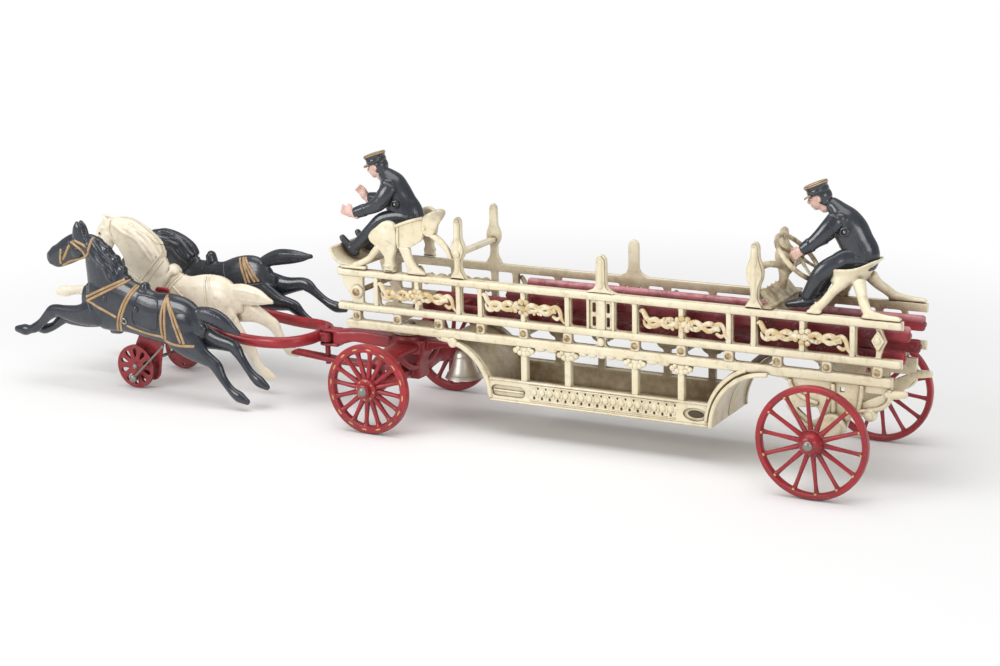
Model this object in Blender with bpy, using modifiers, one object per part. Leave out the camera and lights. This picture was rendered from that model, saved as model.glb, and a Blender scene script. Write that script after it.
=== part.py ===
"""Horse-drawn hook-and-ladder truck, a cast toy of separate riveted pieces.

Truck axes: X = 0 at the king pin, +X towards the tail, -Y is the near side, Z = 0 is the floor.
Each moving group hangs on an empty that stands on its joint axis.  Sizes are in metres.
Outline stations of the horses and figures are written in millimetres and scaled by MM.
"""
import bpy
import bmesh
import math
from mathutils import Matrix, Vector

MM = 0.001

# Fits
SEAT_GAP = 0.0003        # between two pieces that touch
RUN_GAP = 0.0003         # round a pin or axle that turns in its bore

# Running gear
WHEELBASE = 0.362        # king pin to rear axle
REAR_WHEEL_R = 0.0408
REAR_TRACK_HALF = 0.075
REAR_SPOKES = 14
FRONT_WHEEL_R = 0.0355
FRONT_TRACK_HALF = 0.0665
FRONT_SPOKES = 16
AXLE_R = 0.0022
WHEEL_W = 0.006          # rim width across the tread
REAR_RIM = 0.0046        # radial depth of the rim
FRONT_RIM = 0.0062
REAR_HUB_R = 0.0085
FRONT_HUB_R = 0.0090
HUB_OUT = 0.0090         # hub length outside the wheel's middle plane
HUB_IN = 0.0050          # and inside it

# Side frames
FRAME_HALF = 0.030       # middle plane of a side frame from the centre line
FRAME_T = 0.0036         # web thickness, flush with the rails at the back
RAIL_T = 0.006           # rail thickness
FRAME_MID = WHEELBASE / 2 + 0.0008   # centre post, half way between the axles
RAIL_OVERHANG = 0.0475   # upper rails past the king pin and past the rear axle
RAIL_HALF = WHEELBASE / 2 + RAIL_OVERHANG
LOW_RAIL_HALF = RAIL_HALF - 0.0065
RAIL_TOP_Z = 0.1175
RAIL_MID_Z = 0.0900
RAIL_LOW_Z = 0.0762
RAIL_H = 0.0062
LOW_RAIL_H = 0.0076
PANEL_FIRST = 0.0275     # first upright from the centre post
PANEL_PITCH = (RAIL_HALF - PANEL_FIRST - 0.0170) / 5
POST_SPREAD = PANEL_FIRST + 2.5 * PANEL_PITCH + 0.0005   # end posts from the centre post
FRONT_POST_X = FRAME_MID - POST_SPREAD
REAR_POST_X = FRAME_MID + POST_SPREAD
POST_BAR_Z = RAIL_TOP_Z + 0.0225     # bar between the two front posts
UPRIGHT_W = 0.0052
KNOB_R = 0.0030
TIE_R = 0.0018           # necks of the tie rods that pass through the frames
REST_R = 0.0030          # and their thick middles that the ladders lie on
REST_Z = (RAIL_MID_Z + RAIL_LOW_Z) / 2 + 0.0002
POST_BAR_R = 0.0014      # necks of the bar between the front posts
TAIL_BALL_R = 0.0050     # balls that hold the rod at the tail
CAPITAL_HALF = 0.0102    # half width of the brackets on top of the well's posts
ARCH_RIB = 0.0052        # rib of the side frame round each arch

# Drop-centre well
WELL_MID = FRAME_MID - 0.0033
WELL_HALF = PANEL_FIRST + PANEL_PITCH + 0.0282
WELL_BOTTOM_Z = 0.0278
WELL_BOARD_H = 0.0178
FRONT_ARCH_R = 0.0420
REAR_ARCH_R = 0.0450
SHELL_T = 0.0022

# Ladders
LADDER_HALF = 0.0175     # rail centre from the centre line
LADDER_RAIL_W = 0.0056
LADDER_RAIL_H = 0.0100
LADDER_STEP = 0.0165     # height of the short ladder above the long one
LONG_LADDER_X = (0.0150, FRAME_MID + RAIL_HALF - 0.0013)
SHORT_LADDER_X = (FRAME_MID - 0.0848, FRAME_MID + RAIL_HALF + 0.0017)
RUNG_PITCH = 0.0300
RUNG_R = 0.0019

# Bogie and hitch
BOLSTER_Z = 0.0655       # underside of the body bolster
BOLSTER_T = 0.0065
KING_PIN_R = 0.0025
HITCH_X = -0.0785        # hitch pin
HITCH_Z = 0.0540
HITCH_PIN_R = 0.0022
YOKE_R = 0.0036
ARM_FRONT_HALF = 0.0265  # and beside the horses' pivot
BRACKET_T = 0.0026       # plates that carry the small axle

# Team
PIVOT_X = -0.2247        # rod that the three horses rock on
PIVOT_Z = 0.0760
PIVOT_R = 0.0015
HORSE_SPACING = 0.0510
TEAM_AXLE_X = -0.2490
TEAM_WHEEL_R = 0.0184
TEAM_TRACK_HALF = 0.0330
TEAM_WHEEL_T = 0.0036
TEAM_AXLE_R = 0.0014
TEAM_HOLES = 10
CRANK_R = 0.0095         # crank pin below the small axle
CRANK_PIN_R = 0.0012
ROD_Y = 0.0386           # middle plane of a crank rod
ROD_TOP_X = -0.2165
ROD_TOP_Z = 0.0397
NEAR_TILT = math.radians(7.7)
MIDDLE_TILT = math.radians(-2.2)
FAR_TILT = math.radians(-12.0)

# Steering wheel
STEER_X = WHEELBASE - 0.0390
STEER_Z = RAIL_TOP_Z + 0.0355
STEER_R = 0.0205
STEER_PIN_R = 0.0016
STEER_TILT = math.radians(45.0)

PARTS = None
WORK = None
ROOT = None


def start():
    """Empty scene, one collection for the truck and one for cutters and blanks."""
    global PARTS, WORK, ROOT
    for obj in list(bpy.data.objects):
        bpy.data.objects.remove(obj, do_unlink=True)
    PARTS = bpy.data.collections.new("hook_and_ladder_truck")
    WORK = bpy.data.collections.new("cutters")
    bpy.context.scene.collection.children.link(PARTS)
    bpy.context.scene.collection.children.link(WORK)
    ROOT = pivot("truck_origin", (0, 0, 0), None)


def pivot(name, place, parent, tilt=0.0):
    """An empty on a joint axis; tilt turns it about Y."""
    empty = bpy.data.objects.new(name, None)
    empty.empty_display_size = 0.01
    empty.location = place
    empty.rotation_euler = (0.0, tilt, 0.0)
    empty.parent = parent
    PARTS.objects.link(empty)
    return empty


def paint(name, colour, rough, metal=0.0):
    mat = bpy.data.materials.new(name)
    mat.use_nodes = True
    bsdf = mat.node_tree.nodes["Principled BSDF"]
    bsdf.inputs["Base Color"].default_value = (*colour, 1.0)
    bsdf.inputs["Roughness"].default_value = rough
    bsdf.inputs["Metallic"].default_value = metal
    mat.diffuse_color = (*colour, 1.0)
    return mat


def blank(bm, name="blank"):
    """Turn a bmesh into a working object with its faces pointing out."""
    bmesh.ops.recalc_face_normals(bm, faces=bm.faces)
    mesh = bpy.data.meshes.new(name)
    bm.to_mesh(mesh)
    bm.free()
    obj = bpy.data.objects.new(name, mesh)
    obj.hide_render = True
    obj.display_type = "WIRE"
    WORK.objects.link(obj)
    return obj


def baked(obj):
    """Evaluate an object's modifiers into a plain mesh."""
    bpy.context.view_layer.update()
    graph = bpy.context.evaluated_depsgraph_get()
    mesh = bpy.data.meshes.new_from_object(obj.evaluated_get(graph))
    mesh.transform(obj.matrix_world)
    return mesh


def swap_mesh(obj, mesh):
    """Give a working object its baked mesh and clear what made it."""
    name = obj.name
    bpy.data.objects.remove(obj, do_unlink=True)
    bm = bmesh.new()
    bm.from_mesh(mesh)
    bmesh.ops.remove_doubles(bm, verts=bm.verts, dist=0.000002)
    return blank(bm, name)


def box(x, y, z):
    """Box from its low and high value along each axis."""
    bm = bmesh.new()
    bmesh.ops.create_cube(bm, size=1.0)
    size = Vector((x[1] - x[0], y[1] - y[0], z[1] - z[0]))
    middle = Vector((x[1] + x[0], y[1] + y[0], z[1] + z[0])) / 2
    for v in bm.verts:
        v.co = Vector((v.co.x * size.x, v.co.y * size.y, v.co.z * size.z)) + middle
    return blank(bm)


def rod(start_at, end_at, r, r_end=None, sides=8):
    """Round bar or cone between two points."""
    a = Vector(start_at)
    b = Vector(end_at)
    bm = bmesh.new()
    bmesh.ops.create_cone(bm, cap_ends=True, segments=sides, radius1=r,
                          radius2=r if r_end is None else r_end, depth=(b - a).length)
    turn = Vector((0, 0, 1)).rotation_difference(b - a).to_matrix().to_4x4()
    bmesh.ops.transform(bm, matrix=Matrix.Translation((a + b) / 2) @ turn, verts=bm.verts)
    return blank(bm)


def ball(centre, radii, segments=8, rings=5):
    bm = bmesh.new()
    bmesh.ops.create_uvsphere(bm, u_segments=segments, v_segments=rings, radius=1.0)
    for v in bm.verts:
        v.co = Vector((v.co.x * radii[0], v.co.y * radii[1], v.co.z * radii[2])) + Vector(centre)
    return blank(bm)


def turned(profile, place=(0, 0, 0), axis=(0, 0, 1), steps=20):
    """Turned body from (radius, height) pairs that run top to bottom; a first pair met again closes a ring."""
    ring = profile[0] == profile[-1]
    points = profile[:-1] if ring else profile
    mesh = bpy.data.meshes.new("profile")
    edges = [(i, i + 1) for i in range(len(points) - 1)]
    if ring:
        edges.append((len(points) - 1, 0))
    mesh.from_pydata([(r, 0.0, h) for r, h in points], edges, [])
    obj = bpy.data.objects.new("turned", mesh)
    WORK.objects.link(obj)
    screw = obj.modifiers.new("screw", "SCREW")
    screw.axis = "Z"
    screw.steps = steps
    screw.render_steps = steps
    screw.use_merge_vertices = True
    screw.merge_threshold = 0.00001
    turn = Vector((0, 0, 1)).rotation_difference(Vector(axis)).to_matrix().to_4x4()
    obj.matrix_world = Matrix.Translation(Vector(place)) @ turn
    return swap_mesh(obj, baked(obj))


def plate(outline, holes, y):
    """Flat outline of (x, z) points with holes, as thick as the gap between the two y values."""
    curve = bpy.data.curves.new("outline", "CURVE")
    curve.dimensions = "2D"
    curve.fill_mode = "BOTH"
    curve.extrude = (y[1] - y[0]) / 2
    for loop in [outline] + list(holes):
        spline = curve.splines.new("POLY")
        spline.points.add(len(loop) - 1)
        for point, (px, pz) in zip(spline.points, loop):
            point.co = (px, pz, 0.0, 1.0)
        spline.use_cyclic_u = True
    obj = bpy.data.objects.new("plate", curve)
    obj.rotation_euler = (math.pi / 2, 0.0, 0.0)
    obj.location = (0.0, (y[0] + y[1]) / 2, 0.0)
    WORK.objects.link(obj)
    return swap_mesh(obj, baked(obj))


def arc(centre, r, start_deg, end_deg, steps):
    """Points along an arc in the XZ plane."""
    return [(centre[0] + r * math.cos(math.radians(start_deg + (end_deg - start_deg) * i / steps)),
             centre[1] + r * math.sin(math.radians(start_deg + (end_deg - start_deg) * i / steps)))
            for i in range(steps + 1)]


def bar(points, r, sides=8):
    """Round bar that follows a smooth line through its points."""
    curve = bpy.data.curves.new("bar", "CURVE")
    curve.dimensions = "3D"
    curve.bevel_depth = r
    curve.bevel_resolution = (sides - 4) // 2
    curve.use_fill_caps = True
    spline = curve.splines.new("POLY")
    spline.points.add(len(points) - 1)
    for point, place in zip(spline.points, points):
        point.co = (*place, 1.0)
    obj = bpy.data.objects.new("bar", curve)
    WORK.objects.link(obj)
    return swap_mesh(obj, baked(obj))


def loft(stations, y=0.0, sides=8, scale=MM, flat=False):
    """Swelling limb in the XZ plane: stations are (x, z, half height, half width[, y shift])."""
    turn = 0.5 if flat else 0.0
    swell = scale / math.cos(math.pi / sides) if flat else scale
    spots = [Vector((s[0], (s[4] if len(s) > 4 else 0.0) + y / scale, s[1])) * scale for s in stations]
    bm = bmesh.new()
    rings = []
    for i, s in enumerate(stations):
        ahead = spots[min(i + 1, len(spots) - 1)]
        behind = spots[max(i - 1, 0)]
        along = Vector((ahead.x - behind.x, 0.0, ahead.z - behind.z)).normalized()
        up = Vector((-along.z, 0.0, along.x))
        ring = []
        for k in range(sides):
            a = 2 * math.pi * (k + turn) / sides
            ring.append(bm.verts.new(spots[i] + up * (s[2] * swell * math.sin(a))
                                     + Vector((0, 1, 0)) * (s[3] * swell * math.cos(a))))
        rings.append(ring)
    for one, two in zip(rings, rings[1:]):
        for k in range(sides):
            n = (k + 1) % sides
            bm.faces.new((one[k], one[n], two[n], two[k]))
    bm.faces.new(rings[0])
    bm.faces.new(rings[-1])
    return blank(bm)


def fuse(pieces):
    """Union of closed blanks into one closed body."""
    base = pieces[0]
    if len(pieces) == 1:
        return base
    group = bpy.data.collections.new("group")
    bpy.context.scene.collection.children.link(group)
    for piece in pieces[1:]:
        group.objects.link(piece)
    union = base.modifiers.new("union", "BOOLEAN")
    union.operation = "UNION"
    union.operand_type = "COLLECTION"
    union.collection = group
    mesh = baked(base)
    for piece in pieces[1:]:
        bpy.data.objects.remove(piece, do_unlink=True)
    bpy.data.collections.remove(group)
    return swap_mesh(base, mesh)


def cut(piece, cutters, operation="DIFFERENCE"):
    """Take cutters out of a blank, or keep only what they share."""
    for cutter in cutters:
        mod = piece.modifiers.new("cut", "BOOLEAN")
        mod.operation = operation
        mod.object = cutter
    mesh = baked(piece)
    for cutter in cutters:
        bpy.data.objects.remove(cutter, do_unlink=True)
    return swap_mesh(piece, mesh)


def copy_blank(piece, matrix=None):
    bm = bmesh.new()
    bm.from_mesh(piece.data)
    if matrix is not None:
        bmesh.ops.transform(bm, matrix=matrix, verts=bm.verts)
    return blank(bm)


def node(name, piece, mat, parent=None, place=(0, 0, 0), smooth=35.0):
    """Make a blank one named piece of the truck."""
    mesh = piece.data
    bpy.data.objects.remove(piece, do_unlink=True)
    mesh.name = name
    mesh.materials.clear()
    mesh.materials.append(mat)
    mesh.shade_smooth()
    mesh.set_sharp_from_angle(angle=math.radians(smooth))
    obj = bpy.data.objects.new(name, mesh)
    obj.location = place
    obj.parent = parent or ROOT
    PARTS.objects.link(obj)
    return obj


MIRROR_Y = Matrix.Diagonal((1.0, -1.0, 1.0, 1.0))


def fat(pairs, place=(0.0, 0.0), scale=MM):
    """Symmetric outline from (half width, height) pairs that run from foot to tip."""
    right = [(place[0] + w * scale, place[1] + h * scale) for w, h in pairs]
    left = [(place[0] - w * scale, z) for (w, h), (x, z) in reversed(list(zip(pairs, right))) if w > 0]
    return right + left


def mm(points):
    return [(x * MM, z * MM) for x, z in points]


def ribbon(points, half_width):
    """Outline of a band with round-ish ends that follows (x, z) points in millimetres."""
    spots = [Vector((x, z)) for x, z in points]
    left = []
    right = []
    for i, spot in enumerate(spots):
        along = (spots[min(i + 1, len(spots) - 1)] - spots[max(i - 1, 0)]).normalized()
        side = Vector((-along.y, along.x)) * (half_width * (0.45 if i in (0, len(spots) - 1) else 1.0))
        left.append(spot + side)
        right.append(spot - side)
    return mm([(p.x, p.y) for p in left + right[::-1]])


def across(z_axis_point, y, r, sides=12):
    """Cutter along Y through (x, z), between two y values."""
    x, z = z_axis_point
    return rod((x, y[0], z), (x, y[1], z), r, sides=sides)


# Side frames

def rest_stations():
    """The four tie rods that the ladders lie on."""
    step = PANEL_PITCH
    return [FRAME_MID - PANEL_FIRST - 4 * step, FRAME_MID - PANEL_FIRST - step,
            FRAME_MID + PANEL_FIRST + step, FRAME_MID + PANEL_FIRST + 4 * step]


def window(x0, x1, z0, z1):
    return [(x0, z0), (x1, z0), (x1, z1), (x0, z1)]


def bore(r):
    """Corner radius of a six-sided hole whose flats clear a pin of radius r by the running gap."""
    return (r + RUN_GAP) / math.cos(math.pi / 6)


def hexagon(x, z, r):
    return [(x + r * math.cos(math.pi * i / 3), z + r * math.sin(math.pi * i / 3)) for i in range(6)]


def post(x, pairs):
    """Outline of a post from its left foot over the tip to its right foot: (half width, height above the rail)."""
    top1 = rail_edges(RAIL_TOP_Z, RAIL_H)[1]
    left = [(x - w * MM, top1 + h * MM) for w, h in pairs]
    return left + [(x + w * MM, top1 + h * MM) for w, h in reversed(pairs)]


END_POST = [(5.6, 0), (5.4, 2.4), (3.2, 6.4), (3.3, 12.9), (6.2, 19.4), (3.5, 26.9), (3.3, 43.4), (1.8, 47.4)]
TAIL_POST = [(5.6, 0), (5.4, 2.4), (3.1, 6.4), (3.0, 14.4), (6.4, 26.9), (3.4, 38.4), (3.3, 43.4), (1.8, 47.4)]
MID_POST = [(9.8, 0), (7.8, 2.6), (3.5, 8.4), (3.3, 25.4), (1.8, 28.4)]


def rail_edges(z, height):
    return z - height / 2, z + height / 2


def front_arch_centre():
    return (WELL_MID - WELL_HALF - FRONT_ARCH_R, WELL_BOTTOM_Z)


def rear_arch_centre():
    return (WELL_MID + WELL_HALF + REAR_ARCH_R - SHELL_T, WELL_BOTTOM_Z + 0.002)


def front_tie():
    """Place of the rod through the tapered plate at the front of the frames."""
    return (FRAME_MID - RAIL_HALF + 0.0179, (RAIL_MID_Z + RAIL_TOP_Z) / 2 - 0.0013)


def tail_tie():
    """Place of the rod through the balls at the tail."""
    return (WHEELBASE + 0.0267, REAR_WHEEL_R + 0.0112)


def behind_axle(points, z=0.0):
    """Points in millimetres, measured from the rear axle."""
    return [(WHEELBASE + x * MM, z + h * MM) for x, h in points]


def frame_outline():
    """Outer edge of the openwork, from the front of the top rail over the posts and back under the well."""
    top0, top1 = rail_edges(RAIL_TOP_Z, RAIL_H)
    mid0, mid1 = rail_edges(RAIL_MID_Z, RAIL_H)
    low0, low1 = rail_edges(RAIL_LOW_Z, LOW_RAIL_H)
    x0 = FRAME_MID - RAIL_HALF
    x1 = FRAME_MID + RAIL_HALF
    tail = FRAME_MID + PANEL_FIRST + 5 * PANEL_PITCH
    nose = FRAME_MID - PANEL_FIRST - 5 * PANEL_PITCH
    low_x0 = FRAME_MID - LOW_RAIL_HALF + LOW_RAIL_H / 2
    low_x1 = FRAME_MID + LOW_RAIL_HALF
    front = front_arch_centre()
    rear = rear_arch_centre()
    line = [(x0, top0), (x0, top1)]
    line += post(FRONT_POST_X, END_POST) + post(FRAME_MID, MID_POST) + post(REAR_POST_X, TAIL_POST)
    line += [(x1, top1), (x1, top0)]
    line += [(tail + w * MM, mid1 + (top0 - mid1) * f) for w, f in ((1.6, 1.0), (5.4, 0.56), (1.6, 0.14), (1.6, 0.0))]
    line += [(x1, mid1), (x1, mid0), (tail + UPRIGHT_W / 2, mid0), (tail + UPRIGHT_W / 2, low1), (low_x1, low1)]
    line += [(low_x1, low0 - 0.0074)] + behind_axle([(32, 13.2), (22, 10.7), (13.5, 11.2)], REAR_WHEEL_R)
    line += arc((WHEELBASE, REAR_WHEEL_R), 0.0078, -20, -160, 4)
    line += behind_axle([(-22, -2.8), (-35, 11.7)], REAR_WHEEL_R)
    line += behind_axle([(-30.5, -4.9), (-38, -1.2)], low0)
    line += [(rear[0] - 0.001, low0)]
    line += arc(rear, (REAR_ARCH_R + SEAT_GAP) / math.cos(math.radians(7.2)), 110, 182, 5)
    line += arc(front, FRONT_ARCH_R, 0, 90, 6) + [(front[0] - 0.004, low0)]
    line += [(low_x0, low0)] + arc((low_x0, RAIL_LOW_Z), LOW_RAIL_H / 2, 225, 90, 3)
    line += [(nose - UPRIGHT_W / 2, low1), (nose - UPRIGHT_W / 2, mid0), (x0, mid0), (x0, mid1)]
    line += [(x0 + 0.0137, mid1), (x0 + 0.0037, top0)]
    return line


def frame_windows():
    """Openings of the frame, row by row, and the bores of the rods that cross it."""
    top0 = rail_edges(RAIL_TOP_Z, RAIL_H)[0]
    mid0, mid1 = rail_edges(RAIL_MID_Z, RAIL_H)
    low0, low1 = rail_edges(RAIL_LOW_Z, LOW_RAIL_H)
    w = UPRIGHT_W / 2
    steps = [PANEL_FIRST, PANEL_FIRST + PANEL_PITCH, PANEL_FIRST + 2 * PANEL_PITCH, POST_SPREAD,
             PANEL_FIRST + 3.5 * PANEL_PITCH, PANEL_FIRST + 4.5 * PANEL_PITCH]
    tail = PANEL_FIRST + 5 * PANEL_PITCH - 0.0016
    holes = []
    for side in (-1, 1):
        bars = [0.0116] + steps + [tail + w if side > 0 else RAIL_HALF - 0.0227 + w]
        for inner, outer in zip(bars, bars[1:]):
            x0 = FRAME_MID + side * (inner + (w if inner > 0.012 else 0.0))
            x1 = FRAME_MID + side * (outer - w)
            holes.append(window(min(x0, x1), max(x0, x1), mid1, top0))
        crossbar = (mid1 + top0) / 2 - 0.0018
        for z0, z1 in ((mid1, crossbar - 0.0014), (crossbar + 0.0014, top0)):
            holes.append(window(*sorted((FRAME_MID + side * 0.0026, FRAME_MID + side * 0.0084)), z0, z1))
        stations = [0.0] + [PANEL_FIRST + i * PANEL_PITCH for i in range(6)]
        for inner, outer in zip(stations, stations[1:]):
            span = sorted((FRAME_MID + side * (inner + w), FRAME_MID + side * (outer - w)))
            holes.append(window(*span, low1, mid0))
    holes += [behind_axle([(-28, 10.2), (-16.5, 0.7), (-9, 5.7), (-12, 12.2)], REAR_WHEEL_R),
              behind_axle([(4.2, -6.4), (7.6, -6.4), (7.6, -3.0), (4.2, -3.0)], low0),
              behind_axle([(21, -4.9), (21, -11.9), (35.5, -4.9)], low0)]
    for x in rest_stations():
        holes.append(hexagon(x, REST_Z, bore(TIE_R)))
    holes.append(hexagon(*front_tie(), bore(TIE_R)))
    holes.append(hexagon(FRONT_POST_X, POST_BAR_Z, bore(POST_BAR_R)))
    return holes + well_windows(low0)


def well_windows(low0):
    """Openings between the lowest rail and the board of the well, past the posts and their bracket tops."""
    board = WELL_BOTTOM_Z + WELL_BOARD_H
    front = front_arch_centre()
    rear = rear_arch_centre()
    rib = ARCH_RIB
    posts = [FRAME_MID + side * (PANEL_FIRST + i * PANEL_PITCH) for side, i in ((-1, 1), (-1, 0), (1, 0), (1, 1))]

    w = UPRIGHT_W / 2

    def left_side(x):
        return [(x - w, board), (x - w, low0 - 0.0084), (x - CAPITAL_HALF, low0 - 0.0024), (x - CAPITAL_HALF, low0)]

    def right_side(x):
        return [(x + CAPITAL_HALF, low0), (x + CAPITAL_HALF, low0 - 0.0024), (x + w, low0 - 0.0084), (x + w, board)]

    def rise_deg(height, r):
        return math.degrees(math.asin(min(height / r, 0.98)))

    start_deg = rise_deg(board - front[1], FRONT_ARCH_R + rib)
    end_deg = rise_deg(low0 - front[1], FRONT_ARCH_R + rib)
    holes = [left_side(posts[0]) + arc(front, FRONT_ARCH_R + rib, end_deg, start_deg, 4)]
    for one, two in zip(posts, posts[1:]):
        holes.append(right_side(one)[::-1] + left_side(two)[::-1])
    start_deg = 180 - rise_deg(board - rear[1], REAR_ARCH_R + rib)
    end_deg = 180 - rise_deg(low0 - rear[1], REAR_ARCH_R + rib)
    holes.append(right_side(posts[3])[::-1] + arc(rear, REAR_ARCH_R + rib, end_deg, start_deg, 4))
    return holes


def near_frame():
    """The near side frame as one casting: flat openwork with raised rails, scrolls and knobs on its outer face."""
    y = -FRAME_HALF
    back = y + RAIL_T / 2
    face = back - FRAME_T
    outer = y - RAIL_T / 2
    boss_end = -(REAR_TRACK_HALF - HUB_IN - SEAT_GAP)
    pieces = [plate(frame_outline(), frame_windows(), (face, back))]
    for z, height in ((RAIL_TOP_Z, RAIL_H), (RAIL_MID_Z, RAIL_H)):
        pieces.append(relief((FRAME_MID - RAIL_HALF + 0.0006, FRAME_MID + RAIL_HALF - 0.0006), z, height * 0.80,
                             face + 0.001, outer))
    for side in (-1, 1):
        for i in range(6):
            x = FRAME_MID + side * (PANEL_FIRST + i * PANEL_PITCH)
            if min(abs(x - s) for s in rest_stations()) > 0.001:
                pieces.append(rod((x, face + 0.001, REST_Z), (x, outer - 0.0008, REST_Z), KNOB_R, KNOB_R * 0.6, 5))
    x = FRAME_MID + PANEL_FIRST + 5 * PANEL_PITCH
    z = RAIL_MID_Z + (RAIL_TOP_Z - RAIL_MID_Z) * 0.55
    pieces.append(rod((x, face + 0.001, z), (x, outer, z), 0.0028, 0.0018, 6))

    # Scrollwork in four panels
    scroll = [(-0.92, 22.0), (-0.73, 15.5), (-0.11, 14.8), (0.65, 15.8), (0.92, 8)]
    for middle in (-3.5 * PANEL_PITCH - PANEL_FIRST, -PANEL_FIRST - PANEL_PITCH,
                   PANEL_FIRST + PANEL_PITCH + 0.0025, PANEL_FIRST + 3.5 * PANEL_PITCH + 0.0015):
        band = [((FRAME_MID + middle + px * PANEL_PITCH) / MM, RAIL_MID_Z / MM + pz) for px, pz in scroll]
        pieces.append(plate(ribbon(band, 1.9), [], (outer - 0.0002, face + 0.0008)))

    # Rims of the well's board, boss on the front rib
    front = front_arch_centre()
    rear = rear_arch_centre()
    for z in (WELL_BOTTOM_Z + 0.0016, WELL_BOTTOM_Z + WELL_BOARD_H - 0.0016):
        pieces.append(relief((front[0] + FRONT_ARCH_R + 0.0012, rear[0] - REAR_ARCH_R - 0.0025), z, 0.0022,
                             face + 0.001, face - 0.0012))
    spot = arc(front, FRONT_ARCH_R + 0.0020, 73.7, 90, 1)[0]
    pieces.append(rod((spot[0], face + 0.001, spot[1]), (spot[0], outer - 0.0014, spot[1]), 0.0044, 0.0030, 6))

    # Tube that reaches out to the rear hub, ball and peg at the tail
    pieces.append(rod((WHEELBASE, back - 0.0004, REAR_WHEEL_R), (WHEELBASE, boss_end, REAR_WHEEL_R), 0.0074, 0.0048))
    pieces.append(ball((tail_tie()[0], y, tail_tie()[1]), (TAIL_BALL_R,) * 3, 6, 4))
    x = FRAME_MID + LOW_RAIL_HALF
    z = rail_edges(RAIL_LOW_Z, LOW_RAIL_H)[0] - 0.0049
    pieces.append(rod((x - 0.0038, y + 0.0006, z), (x + 0.0112, y + 0.0006, z + 0.0017), 0.0032, 0.0030, sides=6))
    return cut(fuse(pieces), [across((WHEELBASE, REAR_WHEEL_R), (boss_end - 0.002, y + 0.006), bore(AXLE_R), 6),
                              across(tail_tie(), (y - 0.008, y + 0.008), bore(TIE_R), 6)])


def relief(x, z, height, base, top):
    """Raised strip along X on the frame's face, bevelled towards its top."""
    bm = bmesh.new()
    bmesh.ops.create_cube(bm, size=1.0)
    for v in bm.verts:
        out = v.co.y < 0
        h = height / 2 * (0.5 if out else 1.0)
        slant = 0.0006 if out else 0.0
        along = x[1] - slant if v.co.x > 0 else x[0] + slant
        v.co = Vector((along, top if out else base, z + math.copysign(h, v.co.z)))
    return blank(bm)


def tie_rod(x, z, middle_r, outside, head_r=None):
    """Rod between the frames: thick middle and a neck through each frame, with a peened head where it has one."""
    inner = FRAME_HALF - RAIL_T / 2 - SEAT_GAP
    pieces = [rod((x, -outside, z), (x, outside, z), TIE_R, sides=6),
              rod((x, -inner, z), (x, inner, z), middle_r, sides=6)]
    for side in (-1, 1):
        if head_r:
            pieces.append(rod((x, side * (outside - 0.0001), z), (x, side * (outside + 0.0018), z),
                              head_r, head_r * 0.55, 6))
    return fuse(pieces)


def frames_and_ties(cream, iron):
    blank_near = near_frame()
    blank_far = copy_blank(blank_near, MIRROR_Y)
    node("side_frame_near", blank_near, cream)
    node("side_frame_far", blank_far, cream)
    for i, x in enumerate(rest_stations()):
        node("ladder_rest_%d" % (i + 1), tie_rod(x, REST_Z, REST_R, FRAME_HALF + RAIL_T / 2), cream)
    face = FRAME_T - RAIL_T / 2 + FRAME_HALF
    node("front_tie_rod", tie_rod(*front_tie(), 0.0022, face + SEAT_GAP, 0.0030), iron)
    node("rear_tie_rod", tie_rod(*tail_tie(), 0.0024, FRAME_HALF + TAIL_BALL_R + SEAT_GAP, 0.0030), cream)
    node("post_tie_bar", post_tie_bar(), cream)


def post_tie_bar():
    """Flat bar between the two front posts, riveted through their bulges."""
    x = FRONT_POST_X
    z = POST_BAR_Z
    inner = FRAME_HALF - RAIL_T / 2 - SEAT_GAP
    outside = FRAME_T - RAIL_T / 2 + FRAME_HALF + SEAT_GAP
    pieces = [box((x - 0.0030, x + 0.0030), (-inner, inner), (z - 0.0018, z + 0.0018)),
              rod((x, -outside, z), (x, outside, z), POST_BAR_R, sides=6)]
    for side in (-1, 1):
        pieces.append(rod((x, side * (outside - 0.0001), z), (x, side * (outside + 0.0012), z), 0.0025, 0.0014, 6))
    return fuse(pieces)


# Well

def well(cream):
    inner = FRAME_HALF - RAIL_T / 2 - SEAT_GAP
    front = front_arch_centre()
    rear = rear_arch_centre()
    floor = box((front[0] + FRONT_ARCH_R + SHELL_T + 2 * SEAT_GAP, rear[0] - REAR_ARCH_R - SEAT_GAP),
                (-inner, inner), (WELL_BOTTOM_Z, WELL_BOTTOM_Z + SHELL_T))
    node("well_floor", floor, cream)
    shell = arc(front, FRONT_ARCH_R, 0, 88, 8) + arc(front, FRONT_ARCH_R + SHELL_T, 88, 0, 8)
    node("front_arch", plate(shell, [], (-inner, inner)), cream)
    wide = FRAME_HALF + 0.0055
    shell = arc(rear, REAR_ARCH_R - SHELL_T, 182, 110, 8) + arc(rear, REAR_ARCH_R, 110, 182, 8)
    lip = arc(rear, REAR_ARCH_R - SHELL_T, 113, 90, 2) + arc(rear, REAR_ARCH_R, 90, 113, 2)
    lip_y = FRAME_HALF + RAIL_T / 2 + SEAT_GAP
    pieces = [plate(shell, [], (-wide, wide)), plate(lip, [], (-wide + 0.0002, -lip_y)),
              plate(lip, [], (lip_y, wide - 0.0002))]
    node("rear_arch", fuse(pieces), cream)


# Wheels

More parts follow.
